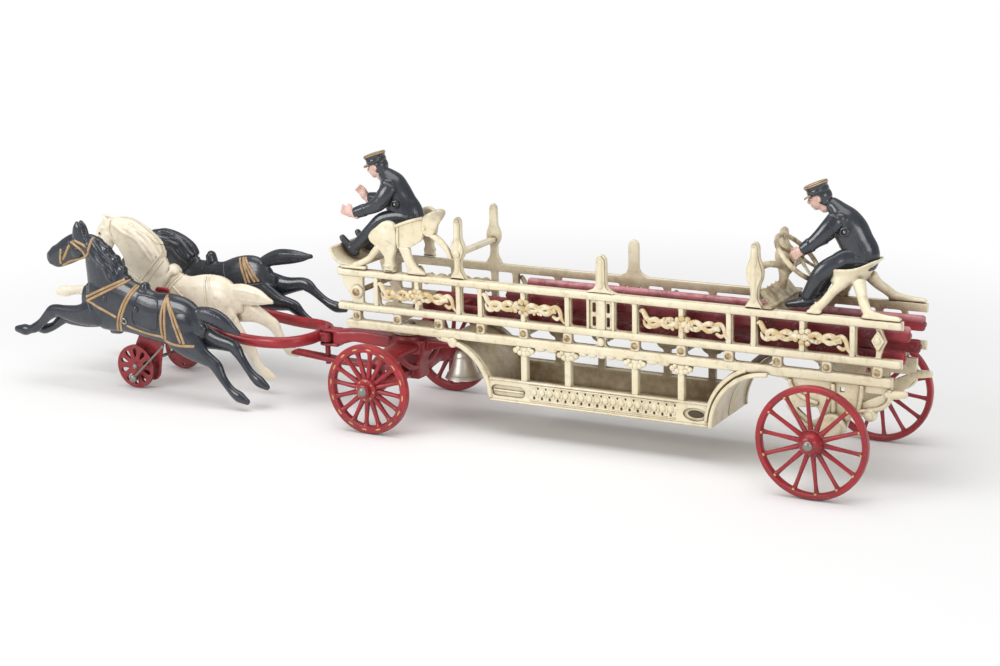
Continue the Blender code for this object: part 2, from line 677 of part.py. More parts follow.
def spoked_wheel(r, rim, spokes, hub_r, hub_profile, spoke_r):
    """Cast wheel about Y with its middle plane at the origin; the outside of the hub points to -Y."""
    w = WHEEL_W / 2
    tread = [(r, w * 0.8), (r, -w * 0.8), (r - rim, -w), (r - rim, w), (r, w * 0.8)]
    pieces = [turned(tread, axis=(0, -1, 0), steps=24),
              turned(hub_profile, axis=(0, -1, 0), steps=8)]
    for i in range(spokes):
        a = 2 * math.pi * (i + 0.25) / spokes
        d = Vector((math.cos(a), 0.0, math.sin(a)))
        pieces.append(rod(d * (hub_r * 0.55), d * (r - rim * 0.45), spoke_r * 1.25, spoke_r, sides=4))
    body = fuse(pieces)
    return cut(body, [rod((0, -0.03, 0), (0, 0.03, 0), bore(AXLE_R), sides=6)])


def rear_wheel():
    profile = [(0.0, HUB_OUT), (0.0048, HUB_OUT), (REAR_HUB_R, 0.0036), (REAR_HUB_R, -0.0026),
               (0.0052, -HUB_IN), (0.0, -HUB_IN)]
    return spoked_wheel(REAR_WHEEL_R, REAR_RIM, REAR_SPOKES, REAR_HUB_R, profile, 0.0016)


def front_wheel():
    profile = [(0.0, HUB_OUT), (0.0048, HUB_OUT), (0.0052, 0.0046), (FRONT_HUB_R, 0.0036),
               (FRONT_HUB_R, -0.0026), (0.0050, -HUB_IN), (0.0, -HUB_IN)]
    return spoked_wheel(FRONT_WHEEL_R, FRONT_RIM, FRONT_SPOKES, FRONT_HUB_R, profile, 0.0015)


def axle(track_half):
    """Plain axle with a peened dome outside each hub."""
    outside = track_half + HUB_OUT + SEAT_GAP
    pieces = [rod((0, -outside, 0), (0, outside, 0), AXLE_R, sides=6)]
    for side in (-1, 1):
        pieces.append(rod((0, side * (outside - 0.0001), 0), (0, side * (outside + 0.0018), 0), 0.0035, 0.0020, 8))
    return fuse(pieces)


def wheels(red, iron, bogie):
    rear = rear_wheel()
    front = front_wheel()
    sets = (("rear", rear, WHEELBASE, REAR_WHEEL_R, REAR_TRACK_HALF, ROOT),
            ("front", front, 0.0, FRONT_WHEEL_R, FRONT_TRACK_HALF, bogie))
    for name, shape, x, z, half, parent in sets:
        node("%s_axle" % name, axle(half), iron, parent, (x, 0, z))
        far = copy_blank(shape, MIRROR_Y)
        node("%s_wheel_near" % name, shape, red, parent, (x, -half, z))
        node("%s_wheel_far" % name, far, red, parent, (x, half, z))


# Ladders

def ladder(x, z, feet):
    pieces = []
    for side in (-1, 1):
        y = side * LADDER_HALF
        ends = [(px, z, LADDER_RAIL_H / 2, LADDER_RAIL_W / 2, y) for px in x]
        pieces.append(loft(ends, sides=8, scale=1.0, flat=True))
    count = int((x[1] - x[0] - 0.012) / RUNG_PITCH)
    first = (x[0] + x[1]) / 2 - RUNG_PITCH * (count - 1) / 2
    for i in range(count):
        px = first + i * RUNG_PITCH
        pieces.append(rod((px, -LADDER_HALF, z), (px, LADDER_HALF, z), RUNG_R, sides=4))
    for px in feet:
        for side in (-1, 1):
            y = side * LADDER_HALF
            pieces.append(box((px - 0.004, px + 0.004), (y - 0.0018, y + 0.0018),
                              (z - LADDER_STEP + LADDER_RAIL_H / 2 + SEAT_GAP, z - LADDER_RAIL_H / 4)))
    return fuse(pieces)


def ladders(red):
    z = REST_Z + REST_R + SEAT_GAP + LADDER_RAIL_H / 2
    node("long_ladder", ladder(LONG_LADDER_X, z, []), red)
    feet = [SHORT_LADDER_X[0] + 0.033, SHORT_LADDER_X[1] - 0.032]
    node("short_ladder", ladder(SHORT_LADDER_X, z + LADDER_STEP, feet), red)


# Bogie, bell and hitch

def bogie_casting():
    """Tongue, cross beam with curved braces, turret and bell arm in one casting."""
    half = FRONT_TRACK_HALF - HUB_IN - SEAT_GAP
    z = FRONT_WHEEL_R
    top = BOLSTER_Z - SEAT_GAP
    pieces = [rod((0, 0, 0.0590), (0, 0, top), 0.0150, 0.0135, sides=12),
              plate(mm([(-12.7, 60.5), (17.7, 60.5), (15.5, 50), (11.0, 42), (12.0, 29.0), (-8.0, 29.0),
                        (-7.5, 42), (-11.5, 50)]), [], (-0.0085, 0.0085))]
    for side in (-1, 1):
        pieces.append(loft_across([(0.0, 1.0, 56.2, 4.8, 11.5), (26.0, 1.0, 55.8, 4.5, 9.5),
                                   (48.0, 0.5, 54.0, 3.6, 6.5), (56.0, 0.0, 51.0, 2.6, 5.0)], side))
        pieces.append(bar([(0.0, side * 0.0500, 0.0525), (0.0, side * 0.0450, 0.0430),
                           (0.0, side * 0.0485, z)], 0.0030, 4))
        pieces.append(bar([(0.008, side * 0.0070, 0.0400), (0.009, side * 0.0210, 0.0440),
                           (0.008, side * 0.0340, 0.0530)], 0.0026, 4))
        pieces.append(rod((0, side * 0.0040, z), (0, side * half, z), 0.0056, 0.0042, sides=8))
    # Tongue with its fork round the yoke's eye, and the strap under it
    pieces.append(plate(mm([(-14, 60.5), (-40, 62.0), (-56, 62.2), (-66.5, 60.6), (-70.5, 58.4), (-70.5, 49.0),
                            (-62, 49.6), (-52, 53.0), (-36, 52.0), (-14, 50.5)]), [], (-0.0060, 0.0060)))
    for low, high in ((0.0586, 0.0614), (0.0470, 0.0494)):
        pieces.append(rod((HITCH_X, 0, low), (HITCH_X, 0, high), 0.0060, sides=8))
        pieces.append(box((HITCH_X, -0.0655), (-0.0054, 0.0054), (low + 0.0001, high - 0.0001)))
    pieces.append(plate(mm([(-7, 37.0), (-62, 36.4), (-110, 39.4), (-112, 38.0), (-112, 36.6), (-62, 32.4),
                            (-7, 32.0)]), [], (-0.0048, 0.0048)))
    # Arm behind the turret that the bell hangs from
    pieces.append(plate(mm([(10, 60.3), (48, 61.0), (53, 60.0), (53, 58.2), (30, 56.8), (10, 50)]), [],
                        (-0.0036, 0.0036)))
    pieces.append(rod((BELL_X, 0, BELL_TOP_Z + SEAT_GAP), (BELL_X, 0, 0.0590), 0.0032, sides=10))
    body = fuse(pieces)
    bores = [across((0, z), (-half - 0.01, half + 0.01), bore(AXLE_R), 6),
             rod((0, 0, 0.0447), (0, 0, 0.075), bore(KING_PIN_R), sides=6),
             rod((HITCH_X, 0, 0.025), (HITCH_X, 0, 0.070), bore(HITCH_PIN_R), sides=6),
             rod((BELL_X, 0, 0.050), (BELL_X, 0, 0.070), bore(BELL_SCREW_R), sides=6)]
    return cut(body, bores)


def loft_across(stations, side):
    """Loft along Y: stations are (y, x, z, half height, half length along X) in millimetres."""
    bm = bmesh.new()
    rings = []
    for sy, sx, sz, hh, hx in stations:
        ring = []
        for k in range(6):
            a = 2 * math.pi * k / 6
            ring.append(bm.verts.new(Vector((sx + hx * math.cos(a), side * sy, sz + hh * 1.1 * math.sin(a))) * MM))
        rings.append(ring)
    for one, two in zip(rings, rings[1:]):
        for k in range(6):
            n = (k + 1) % 6
            bm.faces.new((one[k], one[n], two[n], two[k]))
    bm.faces.new(rings[0])
    bm.faces.new(rings[-1])
    return blank(bm)


BELL_X = 0.0476
BELL_TOP_Z = 0.0556
BELL_MOUTH_Z = 0.0336
BELL_R = 0.0148
BELL_WALL = 0.0012
BELL_SCREW_R = 0.0012


def bell_shape():
    """Cone-like bell with a flared lip, bored at the crown."""
    h = BELL_TOP_Z - BELL_MOUTH_Z
    r = BELL_R
    eye = bore(BELL_SCREW_R)
    outer = [(eye, h), (0.0056, h), (0.0078, h * 0.85), (0.0118, h * 0.25), (r, 0.0)]
    inner = [(max(p[0] - BELL_WALL, eye), min(p[1], h - BELL_WALL)) for p in reversed(outer[1:-1])]
    return turned(outer + [(r - 0.0008, 0.0)] + inner + [(eye, h - BELL_WALL), (eye, h)],
                  (BELL_X, 0, BELL_MOUTH_Z), steps=14)


def bogie_group(red, cream, nickel, iron, bogie):
    node("bogie", bogie_casting(), red, bogie)
    node("bell", bell_shape(), nickel, bogie)
    pin = turned([(0.0, 0.0636), (0.0022, 0.0632), (0.0036, 0.0617), (HITCH_PIN_R, 0.0617),
                  (HITCH_PIN_R, 0.0310), (0.0, 0.0310)], steps=6)
    node("hitch_pin", pin, iron, bogie, (HITCH_X, 0, 0))
    screw = turned([(0.0, 0.0630), (0.0018, 0.0626), (0.0025, 0.0613), (BELL_SCREW_R, 0.0613),
                    (BELL_SCREW_R, 0.0541), (0.0026, 0.0541), (0.0024, 0.0526), (0.0010, 0.0500), (0.0, 0.0500)],
                   (BELL_X, 0, 0), steps=6)
    node("bell_screw", screw, iron, bogie)
    hook = pivot("clapper_axis", (BELL_X, 0, 0.0497), bogie)
    clapper = fuse([rod((0, 0, -0.0002), (0, 0, -0.0130), 0.0009, sides=5),
                    ball((0, 0, -0.0136), (0.0026, 0.0026, 0.0026), 8, 5)])
    node("bell_clapper", clapper, iron, hook)
    king = turned([(0.0, 0.0748), (0.0022, 0.0744), (0.0042, 0.0730), (0.0042, 0.0723), (KING_PIN_R, 0.0723),
                   (KING_PIN_R, 0.0450), (0.0, 0.0450)], steps=6)
    node("king_pin", king, iron)
    bolster_top = RAIL_LOW_Z - LOW_RAIL_H / 2 - SEAT_GAP
    plate_body = fuse([box((-0.0150, 0.0170), (-0.0326, 0.0326), (BOLSTER_Z + 0.0022, bolster_top)),
                       rod((0, 0, BOLSTER_Z), (0, 0, bolster_top - 0.0002), 0.0140, 0.0150, sides=12)])
    plate_body = cut(plate_body, [rod((0, 0, 0.060), (0, 0, 0.080), bore(KING_PIN_R), sides=6)])
    node("front_bolster", plate_body, cream)


def yoke(red, iron, hitch):
    """Bent bar round the team's inner side with the plates for the small axle; origin on the hitch pin."""
    half = [(-85.5, 0, 54.2), (-86.5, 12, 54.0), (-92.5, 24, 53.6), (-106, 31.8, 53.0), (-130, 34.4, 53.2),
            (-182, 34.6, 59.4), (-205, 30.6, 65.0), (-224, 26.5, 72.0)]
    points = [(x * MM, -y * MM, z * MM) for x, y, z in reversed(half)]
    points += [(x * MM, y * MM, z * MM) for x, y, z in half[1:]]
    pieces = [bar(points, YOKE_R, 6)]
    pieces.append(rod((HITCH_X, 0, 0.0497), (HITCH_X, 0, 0.0583), 0.0060, sides=8))
    pieces.append(box((-0.0860, HITCH_X), (-0.0050, 0.0050), (0.0505, 0.0578)))
    outline = arc((TEAM_AXLE_X, 0.0165), 0.0095, 180, 360, 5)
    outline += mm([(-239.5, 32.0), (-233.5, 50.0), (-219.5, 62.0), (-219.0, 83.5), (-229.5, 83.5), (-231.0, 70.0),
                   (-246.0, 54.0), (-258.5, 32.0)])
    for side in (-1, 1):
        y = side * ARM_FRONT_HALF
        pieces.append(plate(outline, [], (y - BRACKET_T / 2, y + BRACKET_T / 2)))
    body = fuse(pieces)
    wide = ARM_FRONT_HALF + 0.006
    body = cut(body, [rod((HITCH_X, 0, HITCH_Z - 0.01), (HITCH_X, 0, HITCH_Z + 0.01), bore(HITCH_PIN_R), sides=6),
                      across((PIVOT_X, PIVOT_Z), (-wide, wide), bore(PIVOT_R), 6),
                      across((TEAM_AXLE_X, TEAM_WHEEL_R), (-wide, wide), bore(TEAM_AXLE_R), 6)])
    node("hitch_yoke", from_world(body, (HITCH_X, 0, 0)), red, hitch)


def from_world(piece, origin):
    """Shift a blank so that its coordinates start at the given point."""
    moved = copy_blank(piece, Matrix.Translation(-Vector(origin)))
    bpy.data.objects.remove(piece, do_unlink=True)
    return moved


def small_wheel():
    """Small cast wheel with teardrop holes; the crank pin points to -Y."""
    r = TEAM_WHEEL_R
    w = TEAM_WHEEL_T / 2
    holes = []
    for i in range(TEAM_HOLES):
        a = 2 * math.pi * (i + 0.5) / TEAM_HOLES
        holes.append([(r * radius * math.cos(a + angle), r * radius * math.sin(a + angle))
                      for radius, angle in ((0.40, 0.0), (0.82, 0.19), (0.82, -0.19))])
    rim = [(r * math.cos(2 * math.pi * i / 20), r * math.sin(2 * math.pi * i / 20)) for i in range(20)]
    disc = plate(rim, holes, (-w, w))
    hub = rod((0, 0, 0), (0, -w - 0.0004, 0), 0.0036, 0.0030, 8)
    crank = (0, 0, -CRANK_R)
    boss = rod((0, w * 0.4, -CRANK_R), (0, -w - 0.0003, -CRANK_R), 0.0026, 0.0024, 8)
    pin = turned([(0.0, 0.0078), (0.0021, 0.0075), (0.0021, 0.0069), (CRANK_PIN_R, 0.0069), (CRANK_PIN_R, 0.0),
                  (0.0, 0.0)], crank, (0, -1, 0), 6)
    body = fuse([disc, hub, boss, pin])
    return cut(body, [rod((0, -0.01, 0), (0, 0.01, 0), bore(TEAM_AXLE_R), sides=6)])


def crank_rod():
    """Wire rod with an eye round the crank pin; origin on the crank pin, wire towards the horse."""
    reach = Vector((ROD_TOP_X - TEAM_AXLE_X, 0.0, ROD_TOP_Z - (TEAM_WHEEL_R - CRANK_R)))
    d = reach.normalized()
    eye = turned([(0.0030, 0.0010), (0.0030, -0.0010), (bore(CRANK_PIN_R), -0.0010),
                  (bore(CRANK_PIN_R), 0.0010), (0.0030, 0.0010)], axis=(0, -1, 0), steps=8)
    wire = rod(d * 0.0022, reach, 0.0009, sides=5)
    hook = ball(reach, (0.0014, 0.0010, 0.0014), 6, 4)
    return fuse([eye, wire, hook])


def team_gear(red, iron, hitch, cranks):
    outside = TEAM_TRACK_HALF + TEAM_WHEEL_T / 2 + 0.0004 + SEAT_GAP
    pieces = [rod((0, -outside, 0), (0, outside, 0), TEAM_AXLE_R, sides=6)]
    for side in (-1, 1):
        pieces.append(rod((0, side * outside, 0), (0, side * (outside + 0.0009), 0), 0.0022, 0.0012, 6))
    local = Vector((TEAM_AXLE_X - HITCH_X, 0, TEAM_WHEEL_R))
    node("team_axle", fuse(pieces), iron, hitch, local)
    wheel = small_wheel()
    far = copy_blank(wheel, MIRROR_Y)
    node("team_wheel_near", wheel, red, cranks[0])
    node("team_wheel_far", far, red, cranks[1])
    link = crank_rod()
    mirrored = copy_blank(link, MIRROR_Y)
    shift = ROD_Y - TEAM_TRACK_HALF
    node("crank_rod_near", link, iron, cranks[0], (0, -shift, -CRANK_R))
    node("crank_rod_far", mirrored, iron, cranks[1], (0, shift, -CRANK_R))
    length = HORSE_SPACING + HORSE_HALF + SEAT_GAP
    pieces = [rod((0, -length, 0), (0, length, 0), PIVOT_R, sides=6)]
    for side in (-1, 1):
        pieces.append(rod((0, side * length, 0), (0, side * (length + 0.0011), 0), 0.0026, 0.0014, 6))
    node("horse_rod", fuse(pieces), iron, hitch, (PIVOT_X - HITCH_X, 0, PIVOT_Z))


# Horses

HORSE_HALF = 0.0096      # half thickness of a horse's body
HORSE_RIVET = (-0.0200, 0.0030)
PIVOT_IN_HORSE = (12.0, 1.0)

TROT = {
    "body": [(-51, 7, 11, 5.0), (-43, 3, 21, 8.0), (-31, -1, 27, 9.3), (-12, 0, 26, 9.6), (6, -1, 23, 9.6),
             (25, -4.5, 20.5, 9.6), (50, -3, 22, 9.2), (66, -4, 17, 7.4), (74, -6, 8, 4.6)],
    "neck": [(-15, 5, 21, 8.6), (-29, 20, 18, 7.7), (-45, 36, 12.5, 6.2), (-58, 44, 7.5, 4.8)],
    "head": [(-53, 46, 8.5, 5.0), (-64, 40, 11, 5.3), (-78, 28.5, 8.4, 4.6), (-89, 19.5, 5.0, 3.2)],
    "ear": [(-55, 46, 4.2, 2.4), (-57, 55, 3.0, 2.0), (-59, 61, 0.9, 0.8)],
    "tail": [(64, 9, 5, 3.4), (82, 8.2, 8.3, 4.3), (99, 5.0, 6.6, 3.5), (112, 0.5, 1.4, 1.2)],
    "near": [[(-34, -16, 9.5, 4.2), (-60, -20, 6, 3.6), (-76, -21.5, 5.0, 3.2), (-88, -34, 3.6, 2.9),
              (-99, -43.5, 3.8, 3.0), (-109, -46, 3.8, 3.0), (-116, -46.5, 2.4, 2.4)],
             [(55, -13, 13, 4.5), (72, -21.5, 8.8, 4.2), (88, -28, 4.9, 3.3), (99, -39.5, 3.7, 2.9),
              (111, -49, 4.0, 3.0), (121, -52, 2.8, 2.6)]],
    "far": [[(-36, -20, 8, 4.2), (-56, -26.5, 5.8, 3.6), (-71, -28.5, 4.8, 3.2), (-81, -38, 3.6, 2.8),
             (-90, -43, 3.9, 3.0), (-98, -45, 2.4, 2.3)],
            [(58, -8, 13, 4.5), (78, -12, 8.8, 4.0), (102, -13.5, 4.9, 3.2), (112, -23.5, 3.7, 2.9),
             (124, -35, 4.0, 3.0), (133, -38.5, 2.8, 2.6)]],
}

CURB = dict(TROT)
CURB["neck"] = [(-13, 10, 23, 8.6), (-24, 29, 19, 7.7), (-40, 46, 13.8, 6.2), (-56, 54, 8, 5.0)]
CURB["head"] = [(-51, 56, 8.5, 5.0), (-60.5, 48, 10, 5.3), (-65, 34, 8.0, 4.5), (-66.5, 24, 5.2, 3.3)]
CURB["ear"] = [(-56, 55, 4.2, 2.4), (-58, 61, 3.0, 2.0), (-59.5, 66, 0.9, 0.8)]
CURB["tail"] = [(62, 6, 6, 3.6), (78, 2.5, 9.2, 4.4), (94, 2, 6.8, 3.6), (106, 1, 1.4, 1.2)]
CURB["near"] = [[(-34, -12, 10, 4.2), (-60, -7, 6.2, 3.6), (-82, -1.5, 4.8, 3.3), (-100, -1.5, 3.8, 2.9),
                 (-110, -3, 4.0, 3.0), (-119, -5, 2.6, 2.5)],
                [(54, -13, 13, 4.5), (68, -26, 8.8, 4.2), (82, -40, 5.0, 3.3), (89, -51, 3.8, 2.9),
                 (94, -58, 3.8, 2.9), (101, -63, 2.8, 2.6)]]
CURB["far"] = [TROT["far"][0],
               [(58, -7, 13, 4.5), (80, -11.5, 8.8, 4.0), (101, -21.5, 4.9, 3.2), (108, -32, 3.8, 2.9),
                (114, -40, 3.8, 2.9), (121, -44, 2.8, 2.6)]]


def horse_body(shape):
    """Whole horse about its rocking hole, before it is parted along the middle."""
    px, pz = PIVOT_IN_HORSE

    def limb(stations, y=0.0, sides=8):
        moved = [(s[0] - px, s[1] - pz) + tuple(s[2:]) for s in stations]
        return loft(moved, y, sides)

    pieces = [limb(shape["body"]), limb(shape["neck"]), limb(shape["head"]), limb(shape["tail"], sides=6)]
    for side in (-1, 1):
        pieces.append(limb(shape["ear"], side * 0.0034, 4))
        for leg in shape["near" if side < 0 else "far"]:
            pieces.append(limb(leg, side * 0.0048, 5))
    pieces.append(ball(((14 - px) * MM, 0, (21 - pz) * MM), (0.0050, 0.0052, 0.0058), 6, 3))
    body = fuse(pieces)
    rivet = (HORSE_RIVET[0] - px * MM, HORSE_RIVET[1] - pz * MM)
    return cut(body, [across((0, 0), (-0.02, 0.02), bore(PIVOT_R), 6),
                      across(rivet, (-0.02, 0.02), bore(RIVET_R), 6)])


RIVET_R = 0.0014


def halves(body, reach=0.2):
    """Part a blank along its middle plane and keep both sides."""
    other = copy_blank(body)
    gap = SEAT_GAP / 2
    near = cut(body, [box((-reach, reach), (-gap, reach), (-reach, reach))])
    far = cut(other, [box((-reach, reach), (-reach, gap), (-reach, reach))])
    return near, far


def rivet(half_length, r=RIVET_R):
    pieces = [rod((0, -half_length, 0), (0, half_length, 0), r, sides=6)]
    for side in (-1, 1):
        pieces.append(rod((0, side * half_length, 0), (0, side * (half_length + 0.0010), 0), 0.0025, 0.0014, 6))
    return fuse(pieces)


def horses(black, white, iron, axes):
    px, pz = PIVOT_IN_HORSE
    spot = (HORSE_RIVET[0] - px * MM, 0, HORSE_RIVET[1] - pz * MM)
    for name, shape, mat, axis in (("near", TROT, black, axes[0]), ("middle", CURB, white, axes[1]),
                                   ("far", TROT, black, axes[2])):
        near, far = halves(horse_body(shape))
        node("%s_horse_near_half" % name, near, mat, axis, smooth=60)
        node("%s_horse_far_half" % name, far, mat, axis, smooth=60)
        node("%s_horse_rivet" % name, rivet(HORSE_HALF + SEAT_GAP), iron, axis, spot)


# Seats, footboards and steering

SEAT_TOP_Z = RAIL_TOP_Z + 0.0328
REAR_SEAT_TOP_Z = RAIL_TOP_Z + 0.0310
FOOT_Z = RAIL_TOP_Z + RAIL_H / 2 + SEAT_GAP
SEAT_BACK_X = FRONT_POST_X - 0.0075
SEAT_T = 0.0034


def on_rails(body):
    """Trim a piece flat where it stands on the top rails."""
    reach = 2 * FRAME_HALF
    return cut(body, [box((FRAME_MID - RAIL_HALF - reach, FRAME_MID + RAIL_HALF + reach), (-reach, reach),
                          (FOOT_Z - 0.010, FOOT_Z))])


def front_seat():
    """Bench with a cast side standing on each top rail."""
    top = SEAT_TOP_Z / MM
    foot = FOOT_Z / MM
    back = SEAT_BACK_X / MM
    pieces = [box((-0.0130, SEAT_BACK_X - 0.0193), (-FRAME_HALF, FRAME_HALF), (SEAT_TOP_Z - SEAT_T, SEAT_TOP_Z))]
    side = [(-15.7, top + 1.0), (-9.0, top - 4.3), (-0.4, top - 9.3), (-1.5, foot), (9.0, foot), (9.2, top - 9.3),
            (19.5, foot), (25.0, foot), (19.0, top - 10.9), (28.5, top - 7.3), (back - 9.3, top + 2.2),
            (back - 3.8, top + 7.7), (back, top + 22.6), (back - 8.3, top + 22.3), (back - 20.3, top + 16.5),
            (8.6, top + 10.7)]
    for s in (-1, 1):
        y = s * (FRAME_HALF + 0.0012)
        pieces.append(plate(mm(side), [], (y - 0.0021, y + 0.0021)))
        brace = [(-0.0143, 0.0002), (-0.0063, -0.0063), (-0.0021, -0.0097)]
        pieces.append(bar([(SEAT_BACK_X + px, y, SEAT_TOP_Z + pz) for px, pz in brace], 0.0023, 4))
        pieces.append(bar([(-0.0105, y, SEAT_TOP_Z - 0.0038), (-0.0165, y, SEAT_TOP_Z - 0.0133),
                           (-0.0222, y, FOOT_Z + 0.0061)], 0.0022, 4))
        pieces.append(box((-0.0260, -0.0180), (y - 0.0026, y + 0.0026), (FOOT_Z, FOOT_Z + 0.0066)))
        x = SEAT_BACK_X - 0.0203
        z = SEAT_TOP_Z + 0.0057
        pieces.append(rod((x, y, z), (x, y + s * 0.0033, z), 0.0024, 0.0015, 6))
    return fuse(pieces)


def footboard():
    """Curled dash that lies across the front ends of the top rails."""
    x0 = FRAME_MID - RAIL_HALF
    line = [(-6.8, 13.1), (-4.8, 8.6), (-0.3, 4.1), (5.7, 1.5), (12.7, 1.0), (18.2, 1.0)]
    outline = ribbon([(x0 / MM + px, FOOT_Z / MM + pz) for px, pz in line], 1.25)
    pieces = [plate(outline, [], (-FRAME_HALF, FRAME_HALF))]
    for s in (-1, 1):
        y = s * FRAME_HALF
        pieces.append(box((x0 + 0.0047, x0 + 0.0187), (y - 0.0025, y + 0.0025), (FOOT_Z, FOOT_Z + 0.0016)))
    return on_rails(fuse(pieces))


def rear_seat():
    """Dished saddle on four splayed legs that stand on the top rails."""
    top = REAR_SEAT_TOP_Z
    rise = top - FOOT_Z
    end = RAIL_OVERHANG - 0.0005
    pan = [(-10, -1.2), (-8.5, 0), (17.5, 0), (23, 4), (28.5, 12), (31, 10.5), (27, 1.5), (20.5, -5.9), (10, -9.9),
           (-3.5, -10.3), (-8.5, -6.5)]
    pieces = [plate(behind_axle(pan, top), [], (-0.0165, 0.0165))]
    for s in (-1, 1):
        y = s * FRAME_HALF
        front = [(0.0005, 0.0140, rise - 0.0080), (-0.0060, 0.0220, rise * 0.44), (-0.0150, FRAME_HALF, 0.0026)]
        back = [(0.0170, 0.0140, rise - 0.0055), (0.0210, 0.0225, rise * 0.44), (0.0260, FRAME_HALF, 0.0036),
                (end - 0.0030, FRAME_HALF, 0.0021)]
        for leg, r in ((front, 0.0029), (back, 0.0030)):
            pieces.append(bar([(WHEELBASE + px, s * py, FOOT_Z + pz) for px, py, pz in leg], r, 6))
        for x0, x1 in ((-0.0215, -0.0095), (0.0210, end)):
            pieces.append(box((WHEELBASE + x0, WHEELBASE + x1), (y - 0.0027, y + 0.0027), (FOOT_Z, FOOT_Z + 0.0030)))
    return on_rails(fuse(pieces))


def steering_post():
    """Bracket from the rear posts that carries the steering spindle."""
    axis = Vector((math.sin(STEER_TILT), 0, math.cos(STEER_TILT)))
    hub = Vector((STEER_X, 0, STEER_Z))
    foot = hub - axis * 0.0120
    inner = FRAME_HALF - RAIL_T / 2 - SEAT_GAP
    x = REAR_POST_X
    z = STEER_Z
    pieces = [rod(foot, hub - axis * 0.0046, 0.0052, 0.0046, 8),
              rod(foot, hub + axis * 0.0040, STEER_PIN_R, sides=6),
              rod(hub + axis * 0.0036, hub + axis * 0.0052, 0.0028, 0.0016, 6),
              bar([foot, (foot.x - 0.0015, 0, z - 0.0150), (foot.x - 0.0025, 0, z - 0.0230)], 0.0034, 6)]
    span = foot.x - x
    for s in (-1, 1):
        pieces.append(bar([(x, s * inner, z - 0.0060), (x + span * 0.31, s * inner * 0.67, z - 0.0030),
                           (x + span * 0.72, s * inner * 0.30, z - 0.0050), foot], 0.0027, 6))
    body = fuse(pieces)
    reach = 2 * FRAME_HALF
    return cut(body, [box((x - reach, x + reach), (-reach, -inner), (z - reach, z + reach)),
                      box((x - reach, x + reach), (inner, reach), (z - reach, z + reach))])


def foot_plate():
    """Slanted plate under the steersman's feet, held between the top rails."""
    half = FRAME_HALF - RAIL_H / 2 - SEAT_GAP
    line = [(1.7, 13.1), (5.2, 10.7), (10.2, 4.9), (14.2, -0.1), (17.2, -1.3)]
    outline = ribbon([(REAR_POST_X / MM + px, RAIL_TOP_Z / MM + pz) for px, pz in line], 1.2)
    foot = box((REAR_POST_X + 0.0067, REAR_POST_X + 0.0137), (-FRAME_HALF - 0.0026, FRAME_HALF + 0.0026),
               (FOOT_Z, FOOT_Z + 0.0022))
    return fuse([plate(outline, [], (-half, half)), foot])


def steering_wheel():
    """Hand wheel about Z at the origin."""
    r = STEER_R
    pieces = [turned([(r + 0.0019, 0.0), (r, -0.0018), (r - 0.0019, 0.0), (r, 0.0018), (r + 0.0019, 0.0)],
                     steps=18),
              turned([(0.0, 0.0026), (0.0036, 0.0026), (0.0046, -0.0036), (0.0, -0.0036)], steps=8)]
    for i in range(6):
        a = 2 * math.pi * (i + 0.5) / 6
        d = Vector((math.cos(a), math.sin(a), 0.0))
        pieces.append(rod(d * 0.0034, d * (r - 0.0006), 0.0014, 0.0011, 4))
    return cut(fuse(pieces), [rod((0, 0, -0.01), (0, 0, 0.01), bore(STEER_PIN_R), sides=6)])


# Figures

# Stations along X run from the king pin for the driver and from the rear axle for the steersman
DRIVER = {
    "torso": [(9.0, 150.0, 16, 8.6), (5.0, 160, 15.5, 9.6), (-2.0, 175, 13, 10.0), (-7.0, 186, 9, 8.6),
              (-11.5, 192.0, 4.3, 4.4)],
    "head": (-19.5, 195.5, 10.0, 7.6, 10.6),
    "cap": ((-23.5, 201.5), (-27.0, 209.0), (-32.0, 200.5)),
    "near_arm": [(-3, 183, 6.5, 4, -8.5), (-13, 173, 6, 3.9, -11), (-28, 165, 5.2, 3.6, -12.8),
                 (-50.5, 158.8, 3.6, 3.2, -14)],
    "near_hand": (-53.5, -14, 158.0, 5.4, 2.6, 3.6),
    "far_arm": [(-3, 183, 6.5, 4, 8.5), (-12, 177, 6, 3.9, 11), (-24, 174, 5.2, 3.6, 12.8),
                (-37, 173.8, 3.8, 3.2, 13.8)],
    "far_hand": (-39.0, 14, 174.0, 5.0, 2.6, 3.6),
    "near_leg": [(10, 155, 9, 4.4, -5.0), (-3, 157.6, 7.6, 4.2, -6.0), (-18, 155.5, 7, 4.1, -8.5),
                 (-44.5, 130.5, 4.6, 3.6, -11.5)],
    "shoe": [(-41.5, 128.6, 2.8, 3.4, -11.5), (-47.5, 134.0, 3.4, 3.3, -11.5), (-53.0, 140.5, 2.0, 2.6, -11.5)],
    "seat_cut": ((-16.0, 60.0), 150.6),
    "rivet": (-2.5, 169.2),
}

